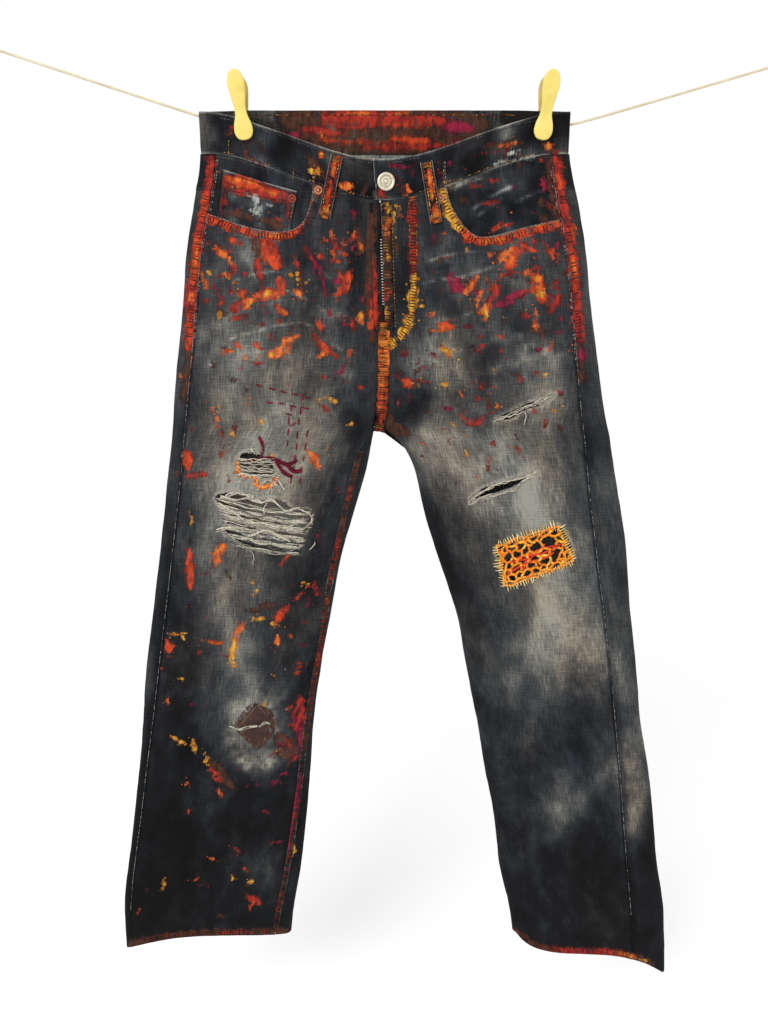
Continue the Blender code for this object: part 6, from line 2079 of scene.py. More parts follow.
def make_back_pocket(side):
    name = NAMES[side]
    across = np.linspace(-1, 1, 57)[None, :]
    down = np.linspace(0, 1, 53)[:, None]
    half = mix(73, 64, np.minimum(down, 0.85) / 0.85)
    x = (BACK_POCKETS[side] + across * half) * MM
    z = mix(-98, mix(-236, -214, np.abs(across)), down) * MM
    bow = 1.2 * MM * np.exp(-((across / 0.5) ** 2 + ((down - 0.12) / 0.25) ** 2))
    rim = np.maximum(np.abs(across), np.abs(2 * down - 1))
    pucker = 0.35 * MM * lattice_noise(x, z, 5 * MM, 91) * smooth((rim - 0.8) / 0.15)
    lift = CLOTH + LAY + bow + pucker + 0.5 * MM * layered_noise(x, z, 30 * MM, 92)
    fade = fade_value(BACK_FADES, x, z) + 0.06
    sheet_on(f"back_pocket_{name}_cloth", BACK, x, z, lift, fade,
             [f"back_pocket_{name}"], strokes=BACK_STROKES, edge=0.3, finish=DENIM_BACK)


PATCH_STOPS = ((0.0, linear("231a18")), (0.5, linear("43302a")), (1.0, linear("6c5a50")))
PATCH_CLOTH = denim_finish("brown_patch", PATCH_STOPS)
make_front_pieces()
for name in BELT_LOOPS:
    make_loop(name)
for side in (-1, 1):
    make_hem(side)
    make_back_pocket(side)
WRAP = Cover(1, FRONT_PANELS + ["back_right", "back_left"])
FRONT = Cover(1, FRONT_PANELS + ["coin_pocket_cloth", "shin_patch_cloth",
                                  "fly_edge_cloth", "fly_fold_cloth",
                                 "crotch_band", "inseam_band_right", "zip_tape_cloth",
                                 "belt_loop_front_right_cloth", "belt_loop_front_left_cloth"])
BACK = Cover(-1, BACK_PANELS + [f"{name}_cloth" for name in (
    "back_pocket_right", "back_pocket_left", "belt_loop_back_right", "belt_loop_back_left",
    "belt_loop_back_middle")])

# ---- threads -------------------------------------------------------------------------------
OCHRE = ("8f6a32", "7a5426", "a47b3e", "6a4a2a")
DARK_RED = ("4f1a16", "6a2119", "38201c", "2b2220", "7c2a1a")
FIRE = ("a8321a", "c85a20", "6e1a18", "d88a24", "8c2418", "4a1c18")
EMBER = ("d88a24", "e2a63a", "c85a20", "b0451c", "7a3a1c")
DIM = ("33373b", "44484b", "2a2d31", "585a58")
PALE = ("b3ae9e", "9a968a", "8a8880", "c2bdac")
CREAM = ("b8b2a0", "a49f90", "c6c0ae", "8d897c")
CRIMSON = ("74102a", "5c0e20", "84183a")
ORANGE = ("d9641f", "e07c2c", "c2521a", "e8923a")
STRAW = ("dcc486", "cdb070", "eedcb0")


def thread_finish():
    finish, tree, sockets = new_finish("sewing_thread", 0.85, Specular_IOR_Level=0.15)
    soil = between(tree, noise(tree, own_place(tree), 420, 3), 0.3, 0.7, 0.62, 1.12)
    tint = blend_colours(tree, 1.0, vertex_colour(tree, "tint"), (1, 1, 1, 1), "MULTIPLY")
    shade = put(tree, "ShaderNodeCombineColor", {0: soil, 1: soil, 2: soil}).outputs[0]
    tree.links.new(blend_colours(tree, 1.0, tint, shade, "MULTIPLY"), sockets["Base Color"])
    twist = put(tree, "ShaderNodeTexWave",
                {"Vector": own_place(tree), "Scale": 900, "Distortion": 2.0},
                bands_direction="DIAGONAL").outputs["Fac"]
    set_bump(tree, sockets, twist, 0.5, 0.0002)
    return finish


THREAD = thread_finish()


def make_threads(name, strands, replaced=(), sides=5):
    """Joins many threads, each a path with a radius and a colour, into one mesh of tubes."""
    spots, faces, tints = [], [], []
    first = 0
    turn = np.arange(sides) / sides * 2 * np.pi
    for path, radius, colour in strands:
        path = np.asarray(path, float)
        way = np.gradient(path, axis=0)
        way /= np.linalg.norm(way, axis=1, keepdims=True) + 1e-12
        beside = np.cross(way, (0.23, -0.94, 0.25))
        beside /= np.linalg.norm(beside, axis=1, keepdims=True) + 1e-12
        above = np.cross(beside, way)
        size = np.full(len(path), radius)
        size[[0, -1]] *= 0.5
        ring = (np.cos(turn)[None, :, None] * beside[:, None]
                + np.sin(turn)[None, :, None] * above[:, None])
        spots.append((path[:, None] + size[:, None, None] * ring).reshape(-1, 3))
        low = first + (np.arange(len(path) - 1)[:, None] * sides + np.arange(sides))
        after = first + (np.arange(len(path) - 1)[:, None] * sides
                         + (np.arange(sides) + 1) % sides)
        quads = np.stack([low, low + sides, after + sides, after], -1).reshape(-1, 4)
        faces.extend(quads.tolist())
        last = first + (len(path) - 1) * sides
        faces.append(list(range(first, first + sides)))
        faces.append(list(range(last, last + sides))[::-1])
        tints.append(np.tile(colour, (len(path) * sides, 1)))
        first += len(path) * sides
    mesh = bpy.data.meshes.new(name)
    mesh.from_pydata(np.concatenate(spots).tolist(), [], faces)
    made = bpy.data.objects.new(name, mesh)
    bpy.context.scene.collection.objects.link(made)
    set_colours(made, "tint", np.concatenate(tints))
    shade_smooth(made)
    finish_piece(made, replaced, [THREAD])
    return made


def sew(cover, path, pitch, length, radius, palette, seed, shift=0.0, across=False,
        waver=0.25, skip=0.0):
    """Stitches on the cloth along a path, or rungs across it; sizes in millimetres."""
    pick = random.Random(seed)
    colours = [linear(code) for code in palette]
    line = smooth_ring(path, 2.0, closed=False)
    way = np.gradient(line, axis=0)
    way /= np.linalg.norm(way, axis=1, keepdims=True)
    line = line + shift * np.stack([-way[:, 1], way[:, 0]], -1)
    run = np.concatenate([[0], np.cumsum(np.linalg.norm(np.diff(line, axis=0), axis=1))])
    strands = []
    place = pitch * 0.5
    while place + length * (not across) < run[-1]:
        colour = pick.choice(colours)
        drift = pick.uniform(-waver, waver)
        stretch = pick.uniform(0.85, 1.1)
        missing = pick.random() < skip
        spots = []
        for share, lift in ((0, -0.5), (0.25, 0.75), (0.75, 0.75), (1, -0.5)):
            at = place + (0 if across else share * length * stretch)
            spot = np.array([np.interp(at, run, line[:, i]) for i in (0, 1)])
            tangent = np.array([np.interp(at, run, way[:, i]) for i in (0, 1)])
            normal = np.array([-tangent[1], tangent[0]])
            if across:
                spot = spot + normal * (share - 0.5) * length * stretch \
                    + tangent * (share - 0.5) * drift * 4
            spot = spot + normal * drift
            missing = missing or not cover.meets(spot[0] * MM, spot[1] * MM)
            met = cover.touch(spot[0] * MM, spot[1] * MM)
            spots.append((met.x, met.y - cover.face * (lift * radius + 0.1) * MM, met.z))
        if not missing:
            strands.append((spots, radius * MM, colour))
        place += pitch * pick.uniform(0.92, 1.08)
    return strands


def band_line(rise, start, end):
    """A path along the waistband's front, rise millimetres above its foot."""
    return [(x, float((WAIST_SEAM + sag(x * MM)) / MM) + rise)
            for x in np.linspace(start, end, 24)]


def offset_path(path, by):
    line = smooth_ring(path, 5.0, closed=False)
    return line + by * square_to(line)


J_SEAM = ((28, -64), (29, -100), (30, -143), (28, -176), (23, -194), (13, -206), (4, -213))
WORN = ("74767a", "85867f", "626568", "93938c")
# Near-black rungs for the hollows between a seam's puckers: the bare dark denim there, with
# painted shade.
HOLLOW_DARK_AND_SHADE = ("1f1512", "2c1a14", "241c1a")


def front_stitches():
    right_mouth = offset_path(POCKET_MOUTH[-1], 1.8)[3:-2]
    right_outer = offset_path(POCKET_MOUTH[-1], 7.4)[3:-2]
    left_mouth = offset_path(POCKET_MOUTH[1], -1.8)[3:-2]
    left_outer = offset_path(POCKET_MOUTH[1], -7.4)[3:-2]
    j_outer, j_inner = offset_path(J_SEAM, 3.4), offset_path(J_SEAM, -3.4)
    strands = []
    for path, palette, seed in (
            (band_line(34.4, -166, 160), DIM, 1), (band_line(3.0, -168, 162), DIM + OCHRE, 2),
            (offset_path(POCKET_MOUTH[-1], 0.5)[3:-2], WORN + PALE[2:3], 23),
            (offset_path(POCKET_MOUTH[1], -0.5)[3:-2], WORN + PALE[2:3], 24),
            (right_mouth, FIRE, 3), (right_outer, DARK_RED, 4), (left_mouth, EMBER, 5),
            (left_outer, FIRE, 6), (j_outer[::4], DARK_RED + OCHRE, 7),
            (j_inner[::4], DARK_RED + OCHRE, 8),
            (((-88, -63), (-162, -41)), DARK_RED, 11), (((-90, -70), (-160, -58)), DARK_RED, 12),
            (((-90, -64), (-96, -92)), OCHRE, 13),
            (((-157, -8), (-158, -26)), OCHRE, 16), (((-90, -36), (-93, -52)), OCHRE, 17),
            (hem_line(-1, 9, -322, -152), DARK_RED, 18), (hem_line(1, 9, 172, 300), DARK_RED, 19),
            (hem_line(1, 9, 300, 356), OCHRE, 20),
            ([(x + 10.5, z) for x, z in FLY_EDGE], OCHRE, 21)):
        strands += sew(FRONT, path, 3.5, 2.6, 0.42, palette, seed)
    for side, palette in ((-1, DARK_RED + WORN), (1, DARK_RED + WORN)):
        strands += sew(WRAP, seam_line(side, "outseam", -26, -230, 2.6), 3.5, 2.6, 0.42,
                       palette, 30 + side)
        strands += sew(WRAP, seam_line(side, "outseam", -26, -940, 0.9), 3.4, 3.9, 0.42,
                       WORN[:3] + DIM[:2], 33 + side, waver=0.08, skip=0.02)
    for name, palette in (("belt_loop_front_right", FIRE), ("belt_loop_front_left", EMBER)):
        top, foot = BELT_LOOPS[name][1:3]
        for shift in (-3.6, 3.6):
            strands += sew(FRONT, (top, foot), 3.3, 2.5, 0.4, palette, 40 + int(shift),
                           shift=shift)
        for end, other in ((top, foot), (foot, top)):
            near = mix(np.array(end, float), np.array(other, float), 0.03)
            far = mix(np.array(end, float), np.array(other, float), 0.11)
            strands += sew(FRONT, (near, far), 1.1, 9.5, 0.55, DARK_RED + OCHRE, 44, across=True)
    make_threads("stitches_front", strands)


def ladder_stitches():
    """Short threads across the felled seams and the puckered edges; the near-black ones stand for
    the bare denim and painted shade in the hollows between the puckers.
    """
    strands = []
    for path, pitch, length, palette, seed, shift, skip in (
            (seam_line(-1, "outseam", -30, -205, -4.5), 3.0, 8.5, HOLLOW_DARK_AND_SHADE + DARK_RED + FIRE[:2], 51,
             0, 0.3),
            (seam_line(1, "outseam", -30, -205, -4), 3.0, 8.5, HOLLOW_DARK_AND_SHADE + DARK_RED + FIRE[:1], 52,
             0, 0.3),
            (CROTCH_BAND, 2.4, 10.5, OCHRE + DARK_RED + HOLLOW_DARK_AND_SHADE, 55, 0, 0.1),
            (CROTCH_BAND[:3], 3.6, 9.5, EMBER, 69, 0, 0.2),
            ([(x + 3.5, z) for x, z in FLY_EDGE], 2.6, 6, DARK_RED + HOLLOW_DARK_AND_SHADE + OCHRE, 56, 0, 0.1),
            (J_SEAM, 2.8, 6.4, HOLLOW_DARK_AND_SHADE + DARK_RED + OCHRE[:1], 66, 0, 0.05),
            (offset_path(POCKET_MOUTH[-1], 4.6)[5:-3], 3.2, 5.6, HOLLOW_DARK_AND_SHADE + DARK_RED, 67, 0, 0.3),
            (offset_path(POCKET_MOUTH[1], -4.6)[5:-3], 3.2, 5.6, HOLLOW_DARK_AND_SHADE + DARK_RED, 68, 0, 0.3),
            (INSEAM[:5], 3.4, 6.6, DARK_RED, 57, 0, 0.1), (INSEAM[4:], 3.4, 6.6, DARK_RED, 58,
                                                          0, 0.15),
            (hem_line(-1, 4.5, -322, -152), 3.2, 8, HOLLOW_DARK_AND_SHADE + DARK_RED + DIM[:1], 59, 0, 0.1),
            (hem_line(1, 4.5, 172, 290), 3.2, 8, HOLLOW_DARK_AND_SHADE + DARK_RED, 60, 0, 0.1),
            (hem_line(1, 4.5, 290, 358), 3.2, 8, OCHRE + HOLLOW_DARK_AND_SHADE, 61, 0, 0.1),
            (((-62, -24), (-62, -31)), 1.0, 6, EMBER, 62, 0, 0),
            (((9, -50), (18, -54)), 1.3, 3.4, HOLLOW_DARK_AND_SHADE + DARK_RED, 63, 0, 0),
            (((11, -57), (21, -60)), 0.9, 3.2, DARK_RED, 64, 0, 0),
            (((-1, -190), (-1, -206)), 1.2, 7, OCHRE + FIRE, 65, 0, 0)):
        cover = WRAP if seed in (51, 52) else FRONT
        strands += sew(cover, path, pitch, length, 0.5, palette, seed, shift, True, 0.3, skip)
    make_threads("ladder_stitches", strands, sides=4)


def back_stitches():
    strands = []
    rows = []
    for side in (-1, 1):
        foot = [(x, float(yoke_foot(x * MM)) / MM) for x in np.linspace(side * 8, side * 172, 14)]
        rows += [([(x, z + 2.2) for x, z in foot], OCHRE), ([(x, z + 7) for x, z in foot], OCHRE)]
        for inset in (2.2, 7.5):
            ring = back_pocket_outline(side, inset)
            rows += [(ring[i:i + 2], OCHRE) for i in range(4)]
        ring = back_pocket_outline(side, 0)
        for drop in (3, 12):
            rows.append((((ring[0][0] + 3, ring[0][1] - drop), (ring[4][0] - 3,
                                                                ring[4][1] - drop)), OCHRE))
        rows.append((seam_line(side, "outseam", -40, -300, 2.2), OCHRE))
    rows += [(((-4 + by, -48), (-4 + by, -150), (-4 + by, -285)), OCHRE) for by in (-7, -2)]
    rows += [([(x, rise) for x in np.linspace(-165, 165, 20)], OCHRE) for rise in (-19.5, 13.5)]
    for count, (path, palette) in enumerate(rows):
        strands += sew(BACK, path, 3.6, 2.7, 0.42, palette, 70 + count)
    for name in ("belt_loop_back_right", "belt_loop_back_left", "belt_loop_back_middle"):
        top, foot = BELT_LOOPS[name][1:3]
        for shift in (-3.6, 3.6):
            strands += sew(BACK, (top, foot), 3.3, 2.5, 0.4, OCHRE, 120, shift=shift)
        for z in (top[1] - 3, foot[1] + 3):
            strands += sew(BACK, ((top[0], z + 2), (top[0], z - 2)), 1.1, 9, 0.5, OCHRE, 121,
                           across=True)
    for side, path in ((-1, hem_line(-1, 9, -322, -152)), (1, hem_line(1, 9, 172, 356))):
        strands += sew(BACK, path, 3.6, 2.7, 0.42, OCHRE, 130 + side)
    make_threads("stitches_back", strands)


def inner_band_stitches():
    """The line sewn along the back of the waistband, seen inside it."""
    path = [(x, float(WAIST_SEAM) / MM + 37) for x in np.linspace(-128, 140, 16)]
    strands = sew(FRONT, path, 3.4, 2.6, 0.42, OCHRE + DARK_RED, 140)
    make_threads("stitches_inner_band", strands)


# ---- worn holes, darns and mends -----------------------------------------------------------
def spot_on(x, z, lift=0.6):
    """A place given in millimetres on the front's outer side."""
    met = FRONT.touch(x * MM, z * MM)
    return np.array((met.x, met.y - lift * MM, met.z))


def hung_thread(start, end, sag_by, pick, waves=2.0, points=14, swell=0.8):
    """A slack thread between two places on the cloth, wavy and sagging."""
    first, last = spot_on(*start), spot_on(*end)
    share = np.linspace(0, 1, points)
    path = mix(first, last, share[:, None])
    phase, beat = pick.uniform(0, 6.28), pick.uniform(0.7, 1.3) * waves
    rise = swell * np.sin(phase + beat * 2 * np.pi * share) * np.sin(np.pi * share) ** 0.5
    path[:, 2] += (rise - sag_by * np.sin(np.pi * share)) * MM
    path[:, 1] -= (0.6 + 1.0 * np.sin(np.pi * share) * pick.uniform(0.2, 1.2)) * MM
    return path


def loose_end(x, z, angle, length, pick, curl=0.5, points=7, lift=0.7):
    """A frayed end that starts on the cloth and curls away along it."""
    path = []
    heading = angle
    for step in range(points):
        base = spot_on(x, z, lift + 1.1 * step / points)
        path.append((base[0], base[1], base[2]))
        x += math.cos(heading) * length / points
        z += math.sin(heading) * length / points
        heading += pick.uniform(-curl, curl)
    return path


def fray_rim(ring, pitch, length, radius, palette, seed, inward=True):
    """Short frayed ends all round a hole's edge."""
    pick = random.Random(seed)
    colours = [linear(code) for code in palette]
    line = smooth_ring(ring, pitch)
    middle = line.mean(axis=0)
    strands = []
    for x, z in line:
        away = math.atan2(z - middle[1], x - middle[0])
        angle = away + (math.pi if inward else 0) + pick.uniform(-1.2, 1.2)
        path = loose_end(x + pick.uniform(-0.8, 0.8), z + pick.uniform(-0.8, 0.8), angle,
                         length * pick.uniform(0.4, 1.2), pick, 0.7)
        strands.append((path, radius * pick.uniform(0.7, 1.3) * MM, pick.choice(colours)))
    return strands


def rolled_rim(path, count, radius, seed):
    """A few loose cream threads rolled together along a torn edge."""
    pick = random.Random(seed)
    line = smooth_ring(path, 2.0, closed=False)
    strands = []
    for strand in range(count):
        phase, beat = pick.uniform(0, 6.28), pick.uniform(0.25, 0.6)
        route = [spot_on(x + 0.7 * math.cos(beat * step * 1.7 + phase),
                         z + 1.1 * math.sin(beat * step + phase) + 0.5 * (strand - count / 2),
                         1.0 + 0.8 * math.sin(beat * 1.3 * step + phase))
                 for step, (x, z) in enumerate(line)]
        strands.append((route, radius * pick.uniform(0.7, 1.15) * MM,
                        linear(pick.choice(CREAM))))
    return strands


# Places along which loose threads have rolled together.
RIP_ROLLS = (
    ((-183, -381.9), (-168, -391.1), (-153, -401.4), (-135.4, -406), (-110, -409.5),
     (-88.7, -401.4)),
    ((-186.9, -412.9), (-169, -410.6), (-149.3, -417.6), (-129.1, -414.1), (-105, -425.7)),
    ((-180.3, -374), (-163, -378.5), (-149.6, -375.1), (-134.5, -381.9)),
)
HOLE_ROLLS = (
    ((-162.5, -358.2), (-154.1, -353.7), (-145.2, -349.8), (-133.3, -353.7)),
    ((-140.5, -367.2), (-133.6, -360.5), (-126.9, -356), (-119.3, -359.3), (-113, -367.2)),
)


RIP_BUNDLES = 14


def rip_threads():
    rip = HOLES["knee_rip"]
    thigh, knee = HOLES["thigh_slit"], HOLES["knee_slit"]
    pick = random.Random(205)
    strands = []
    for bundle in range(RIP_BUNDLES):
        share = (bundle + 0.9 * (bundle % 3 == 1)) / RIP_BUNDLES
        first = (-184 + 16 * share, -377 - 52 * share)
        last = (-86 - 8 * share, -396 - 47 * share)
        for _ in range(pick.choice((3, 5, 6))):
            start = (first[0] + pick.uniform(-4, 7), first[1] + pick.uniform(-2, 2))
            end = (last[0] + pick.uniform(-9, 4), last[1] + pick.uniform(-2.6, 2.6))
            strands.append((hung_thread(start, end, pick.uniform(0.5, 4), pick,
                                        pick.uniform(1.5, 5), 20, pick.uniform(0.5, 1.8)),
                            pick.uniform(0.35, 0.75) * MM, linear(pick.choice(CREAM + DIM[3:]))))
    strands += rolled_rim(((-182, -378), (-166, -371), (-150, -372), (-136, -380),
                           (-124, -378), (-108, -390), (-94, -388), (-82, -394)), 3, 0.62, 203)
    for roll in RIP_ROLLS:
        strands += rolled_rim(roll, 3, 0.85, 219)
    strands += rolled_rim(((-176, -414), (-160, -428), (-138, -436), (-112, -439),
                           (-92, -432)), 3, 0.5, 204)
    strands += rolled_rim(((-84, -392), (-80, -400), (-86, -410), (-96, -414)), 3, 0.8, 205)
    strands += fray_rim(rip, 5.0, 5, 0.30, CREAM + DIM, 206, inward=False)
    for x, z, angle, length in ((-101, -384, -1.5, 17), (-78, -395, -2.0, 14),
                                (-172, -428, -0.5, 16), (-84, -437, 0.5, 13),
                                (-128, -381, -2.6, 16), (-150, -437, -0.2, 20)):
        strands.append((loose_end(x, z, angle, length, pick, 0.6, 12), 0.55 * MM,
                        linear(pick.choice(CREAM))))
    for bundle in range(5):
        for _ in range(3):
            start = (-157 + pick.uniform(-4, 4), -331 - 4.2 * bundle + pick.uniform(-1.4, 1.4))
            end = (-118 + pick.uniform(-6, 4), -333 - 4.4 * bundle + pick.uniform(-2, 2))
            strands.append((hung_thread(start, end, pick.uniform(0, 2), pick, 3, 16,
                                        pick.uniform(0.4, 1.4)),
                            pick.uniform(0.35, 0.6) * MM, linear(pick.choice(CREAM))))
    for roll in HOLE_ROLLS:
        strands += rolled_rim(roll, 3, 0.6, 207)
    strands.append((loose_end(-117, -354, -1.0, 17, pick, 0.3, 12), 0.7 * MM,
                    linear(CREAM[2])))
    for _ in range(9):
        path = loose_end(-142 + pick.uniform(-6, 4), -322 + pick.uniform(-3, 4),
                         pick.uniform(0, 6.28), 13, pick, 1.6, 14)
        strands.append((path, 0.34 * MM, linear(pick.choice(CREAM))))
    for _ in range(10):
        path = loose_end(-122 + pick.uniform(-10, 8), -354 + pick.uniform(-8, 3),
                         pick.uniform(-2.4, -0.2), 15, pick, 0.9, 12)
        strands.append((path, 0.45 * MM, linear(pick.choice(CREAM))))
    for start, end in (((116, -291), (142, -281)), ((122, -287), (158, -272)),
                       ((138, -279), (182, -262)), ((150, -276), (176, -267)),
                       ((118, -289), (150, -280))):
        strands.append((hung_thread(start, end, 0.8, pick, 3.0), 0.5 * MM,
                        linear(pick.choice(CREAM))))
    strands += fray_rim(thigh, 6, 4, 0.26, DIM, 210, inward=False)
    strands += rolled_rim(((148, -276), (160, -270), (174, -264)), 3, 0.55, 218)
    strands.append((loose_end(149, -280, -1.2, 17, pick, 0.3, 12), 0.55 * MM,
                    linear(CREAM[0])))
    upper = ((93, -383), (104, -371), (118, -363), (134, -357), (150, -352), (167, -347))
    lower = ((93, -383), (108, -376), (124, -371), (138, -368), (150, -358), (167, -347))
    strands += rolled_rim(lower, 4, 0.75, 211) + rolled_rim(upper, 3, 0.55, 212)
    strands += fray_rim(knee, 5.0, 4, 0.3, CREAM + DIM, 216, inward=False)
    for darn in (((-185.2, -660.6), (-174.6, -664.6), (-162.4, -659.3), (-151.6, -657.9)),
                 ((-149.3, -659.3), (-143.1, -653.9), (-136, -655.3))):
        strands += rolled_rim(darn, 5, 0.7, 213)
    make_threads("frayed_threads", strands)


def stitched_mends():
    """The thick sewn mends: running stitches, edging of the small hole and a couched fork."""
    strands = []
    for path, pitch, length, seed in (
            (((-140.8, -249.8), (-99.8, -261.3), (-65, -269.8)), 13, 8, 221),
            (((-131, -268.8), (-97, -274.1), (-68.4, -280.5)), 13, 8, 222),
            (((-110.1, -281.5), (-89.9, -285.8)), 11, 8, 223),
            (((-84.8, -254), (-91.3, -297.7), (-96.5, -329.3), (-103.1, -365)), 13.5, 8.5, 224),
            (((-97.9, -266.6), (-102.1, -297.7), (-106.2, -324.9)), 13, 8, 225),
            (((-79.4, -294.4), (-86.8, -329.3), (-93.2, -365)), 13, 8, 226)):
        strands += sew(FRONT, path, pitch, length, 0.8, CRIMSON, seed, waver=0.8)
    for edging in (((-160, -331), (-158, -340), (-160, -348)),
                   ((-158, -350), (-146, -352), (-138, -356)),
                   ((-142, -360), (-132, -364), (-122, -360), (-118, -352)),
                   ((-124, -330), (-116, -332))):
        strands += sew(FRONT, edging, 2.2, 6, 0.95, ORANGE, 227, across=True, waver=1.2)
        strands += sew(FRONT, edging, 6, 6.2, 1.0, ORANGE, 228, waver=0.4)
    pick = random.Random(229)
    colours = [linear(code) for code in ("5e0c22", "70112a", "4c0a1c")]
    for limb in (((-152, -334), (-138, -333), (-122, -331), (-106, -338), (-94, -334)),
                 ((-134, -332), (-130, -320), (-134, -308)),
                 ((-118, -332), (-110, -346), (-100, -352)),
                 ((-106, -338), (-98, -346), (-90, -345))):
        line = smooth_ring(limb, 1.6, closed=False)
        for strand in range(4):
            off = (strand - 1.5) * 0.9
            path = [spot_on(x + off * 0.3 + 0.3 * math.sin(i + strand), z + off,
                            1.0 + 0.4 * (strand % 2)) for i, (x, z) in enumerate(line)]
            strands.append((path, 0.75 * MM, pick.choice(colours)))
        strands += sew(FRONT, limb, 4.2, 5.5, 0.5, CRIMSON, 230, across=True, waver=0.3)
    make_threads("sewn_mends", strands)


NET_CORD = ("e8962a", "f0a63c", "dc7424", "e2841f", "f2b44a", "f08a2c")
NET_CORNERS = np.array(((194, -409), (127, -431), (138, -479), (212, -449)), float)


def net_place(u, v, lift):
    """A place in the net: u runs to the wearer's right, v down, lift in millimetres."""
    top, foot = mix(NET_CORNERS[0], NET_CORNERS[1], u), mix(NET_CORNERS[3], NET_CORNERS[2], u)
    x, z = mix(top, foot, v) * MM
    y = float(cloth_y(1, np.array([x]), np.array([z]), 1)[0])
    return np.array((x, y - lift * MM, z))


def make_net():
    """An open net of looped cord sewn over the hole, made of uneven cells."""
    pick = random.Random(311)
    seeds = []
    for row in range(5):
        for column in range(8):
            u = (column + 0.5 + 0.5 * (row % 2) - 0.25 + pick.uniform(-0.42, 0.42)) / 8
            v = (row + 0.5 + pick.uniform(-0.4, 0.4)) / 5
            if u < 0.45 and v < 0.7 and (row + column) % 2:
                continue
            seeds.append(Vector((u * 1.55, v)))
    for share in (0.08, 0.24, 0.42, 0.6, 0.78, 0.94):
        seeds += [Vector((share * 1.55, 0.015)), Vector((share * 1.5 + 0.04, 0.985))]
    for share in (0.25, 0.5, 0.76):
        seeds += [Vector((0.02, share)), Vector((1.53, share + 0.03))]
    drawn = delaunay_2d_cdt(seeds, [], [], 0, 1e-5)
    centres = [sum((drawn[0][i] for i in face), Vector((0, 0))) / len(face)
               for face in drawn[2]]
    shared = {}
    for count, face in enumerate(drawn[2]):
        for a, b in zip(face, face[1:] + face[:1]):
            shared.setdefault(tuple(sorted((a, b))), []).append(count)
    ties = []
    for (a, b), pair in sorted(shared.items()):
        if len(pair) == 2:
            ties.append((centres[pair[0]], centres[pair[1]]))
        else:
            middle = (drawn[0][a] + drawn[0][b]) / 2
            out = Vector((min(max(middle.x, 0.02), 1.53), min(max(middle.y, 0.03), 0.97)))
            edges = ((out.x, Vector((0.0, out.y))), (1.55 - out.x, Vector((1.55, out.y))),
                     (out.y, Vector((out.x, 0.0))), (1 - out.y, Vector((out.x, 1.0))))
            ties.append((centres[pair[0]], min(edges, key=lambda item: item[0])[1]))
    strands = []
    orange = [linear(code) for code in NET_CORD]
    for a, b in ties:
        bow = pick.uniform(-0.035, 0.035)
        path = []
        for share in np.linspace(0, 1, 7):
            spot = a.lerp(b, share)
            off = bow * math.sin(math.pi * share)
            away = Vector((-(b - a).y, (b - a).x))
            spot = spot + away.normalized() * off if away.length else spot
            path.append(net_place(spot.x / 1.55, spot.y, 1.8 + 0.9 * math.sin(math.pi * share)))
        colour = pick.choice(orange)
        strands.append((path, pick.uniform(1.1, 1.8) * MM, colour))
    for centre in centres:
        knot = net_place(centre.x / 1.55, centre.y, 2.4)
        for turn in range(2):
            lean = pick.uniform(0, 3.14)
            away = np.array((math.cos(lean), 0, math.sin(lean))) * 1.5 * MM
            strands.append(([knot - away, knot - (0, 0.5 * MM, 0), knot + away], 1.2 * MM,
                            pick.choice(orange)))
    red = [linear(code) for code in ("d8442a", "e4552c", "c0341f")]
    for start, end in (((0.05, 0.42), (0.9, 0.5)), ((0.1, 0.52), (0.8, 0.42)),
                       ((0.2, 0.6), (0.95, 0.66)), ((0.3, 0.3), (0.62, 0.56)),
                       ((0.55, 0.35), (0.72, 0.75))):
        path = []
        for share in np.linspace(0, 1, 16):
            u, v = mix(np.array(start), np.array(end), share)
            v += 0.035 * math.sin(9 * share + start[1] * 20)
            path.append(net_place(u, v, 2.6 + 0.7 * math.sin(14 * share)))
        strands.append((path, 1.15 * MM, pick.choice(red)))
    for corner in range(4):
        start, end = NET_CORNERS[corner], NET_CORNERS[(corner + 1) % 4]
        rim = [mix(start, end, share) for share in np.linspace(0, 1, 12)]
        for _ in range(2):
            loose = [point + (pick.uniform(-2.6, 2.6), pick.uniform(-2.8, 2.8))
                     for point in rim]
            loose = smooth_ring(loose, 2.0, closed=False)
            strands.append(([spot_on(x, z, 1.3) for x, z in loose],
                            pick.uniform(0.8, 1.2) * MM, pick.choice(orange)))
        out = np.array((start[1] - end[1], end[0] - start[0]))
        out = out / np.linalg.norm(out)
        if out @ (start - NET_CORNERS.mean(axis=0)) < 0:
            out = -out
        count = int(np.linalg.norm(end - start) / 3.0)
        for turn in range(count):
            base = mix(start, end, (turn + 0.5) / count)
            way = out * pick.uniform(5.0, 9.0) + (pick.uniform(-1.5, 1.5), pick.uniform(-1, 1))
            path = [spot_on(*(base - 0.35 * way), 1.8), spot_on(*(base + 0.2 * way), 1.7),
                    spot_on(*(base + 0.7 * way), 1.0), spot_on(*(base + way), 0.1)]
            strands.append((path, 0.6 * MM, linear(pick.choice(STRAW))))
    make_threads("net_mend", strands, ["knee_mend"])


front_stitches()
ladder_stitches()
back_stitches()
inner_band_stitches()
rip_threads()
stitched_mends()
make_net()


# ---- button, rivets, zip and pegs ----------------------------------------------------------
def metal_finish(name, code, roughness, metallic, worn):
    finish, tree, sockets = new_finish(name, roughness, metallic)
    marks = between(tree, noise(tree, own_place(tree), 500, 3), 0.5, 0.8)
    colour = blend_colours(tree, marks, (*linear(code), 1), (*linear(worn), 1))
    tree.links.new(colour, sockets["Base Color"])
    set_bump(tree, sockets, noise(tree, own_place(tree), 1500, 2), 0.25, 0.0001)
    return finish


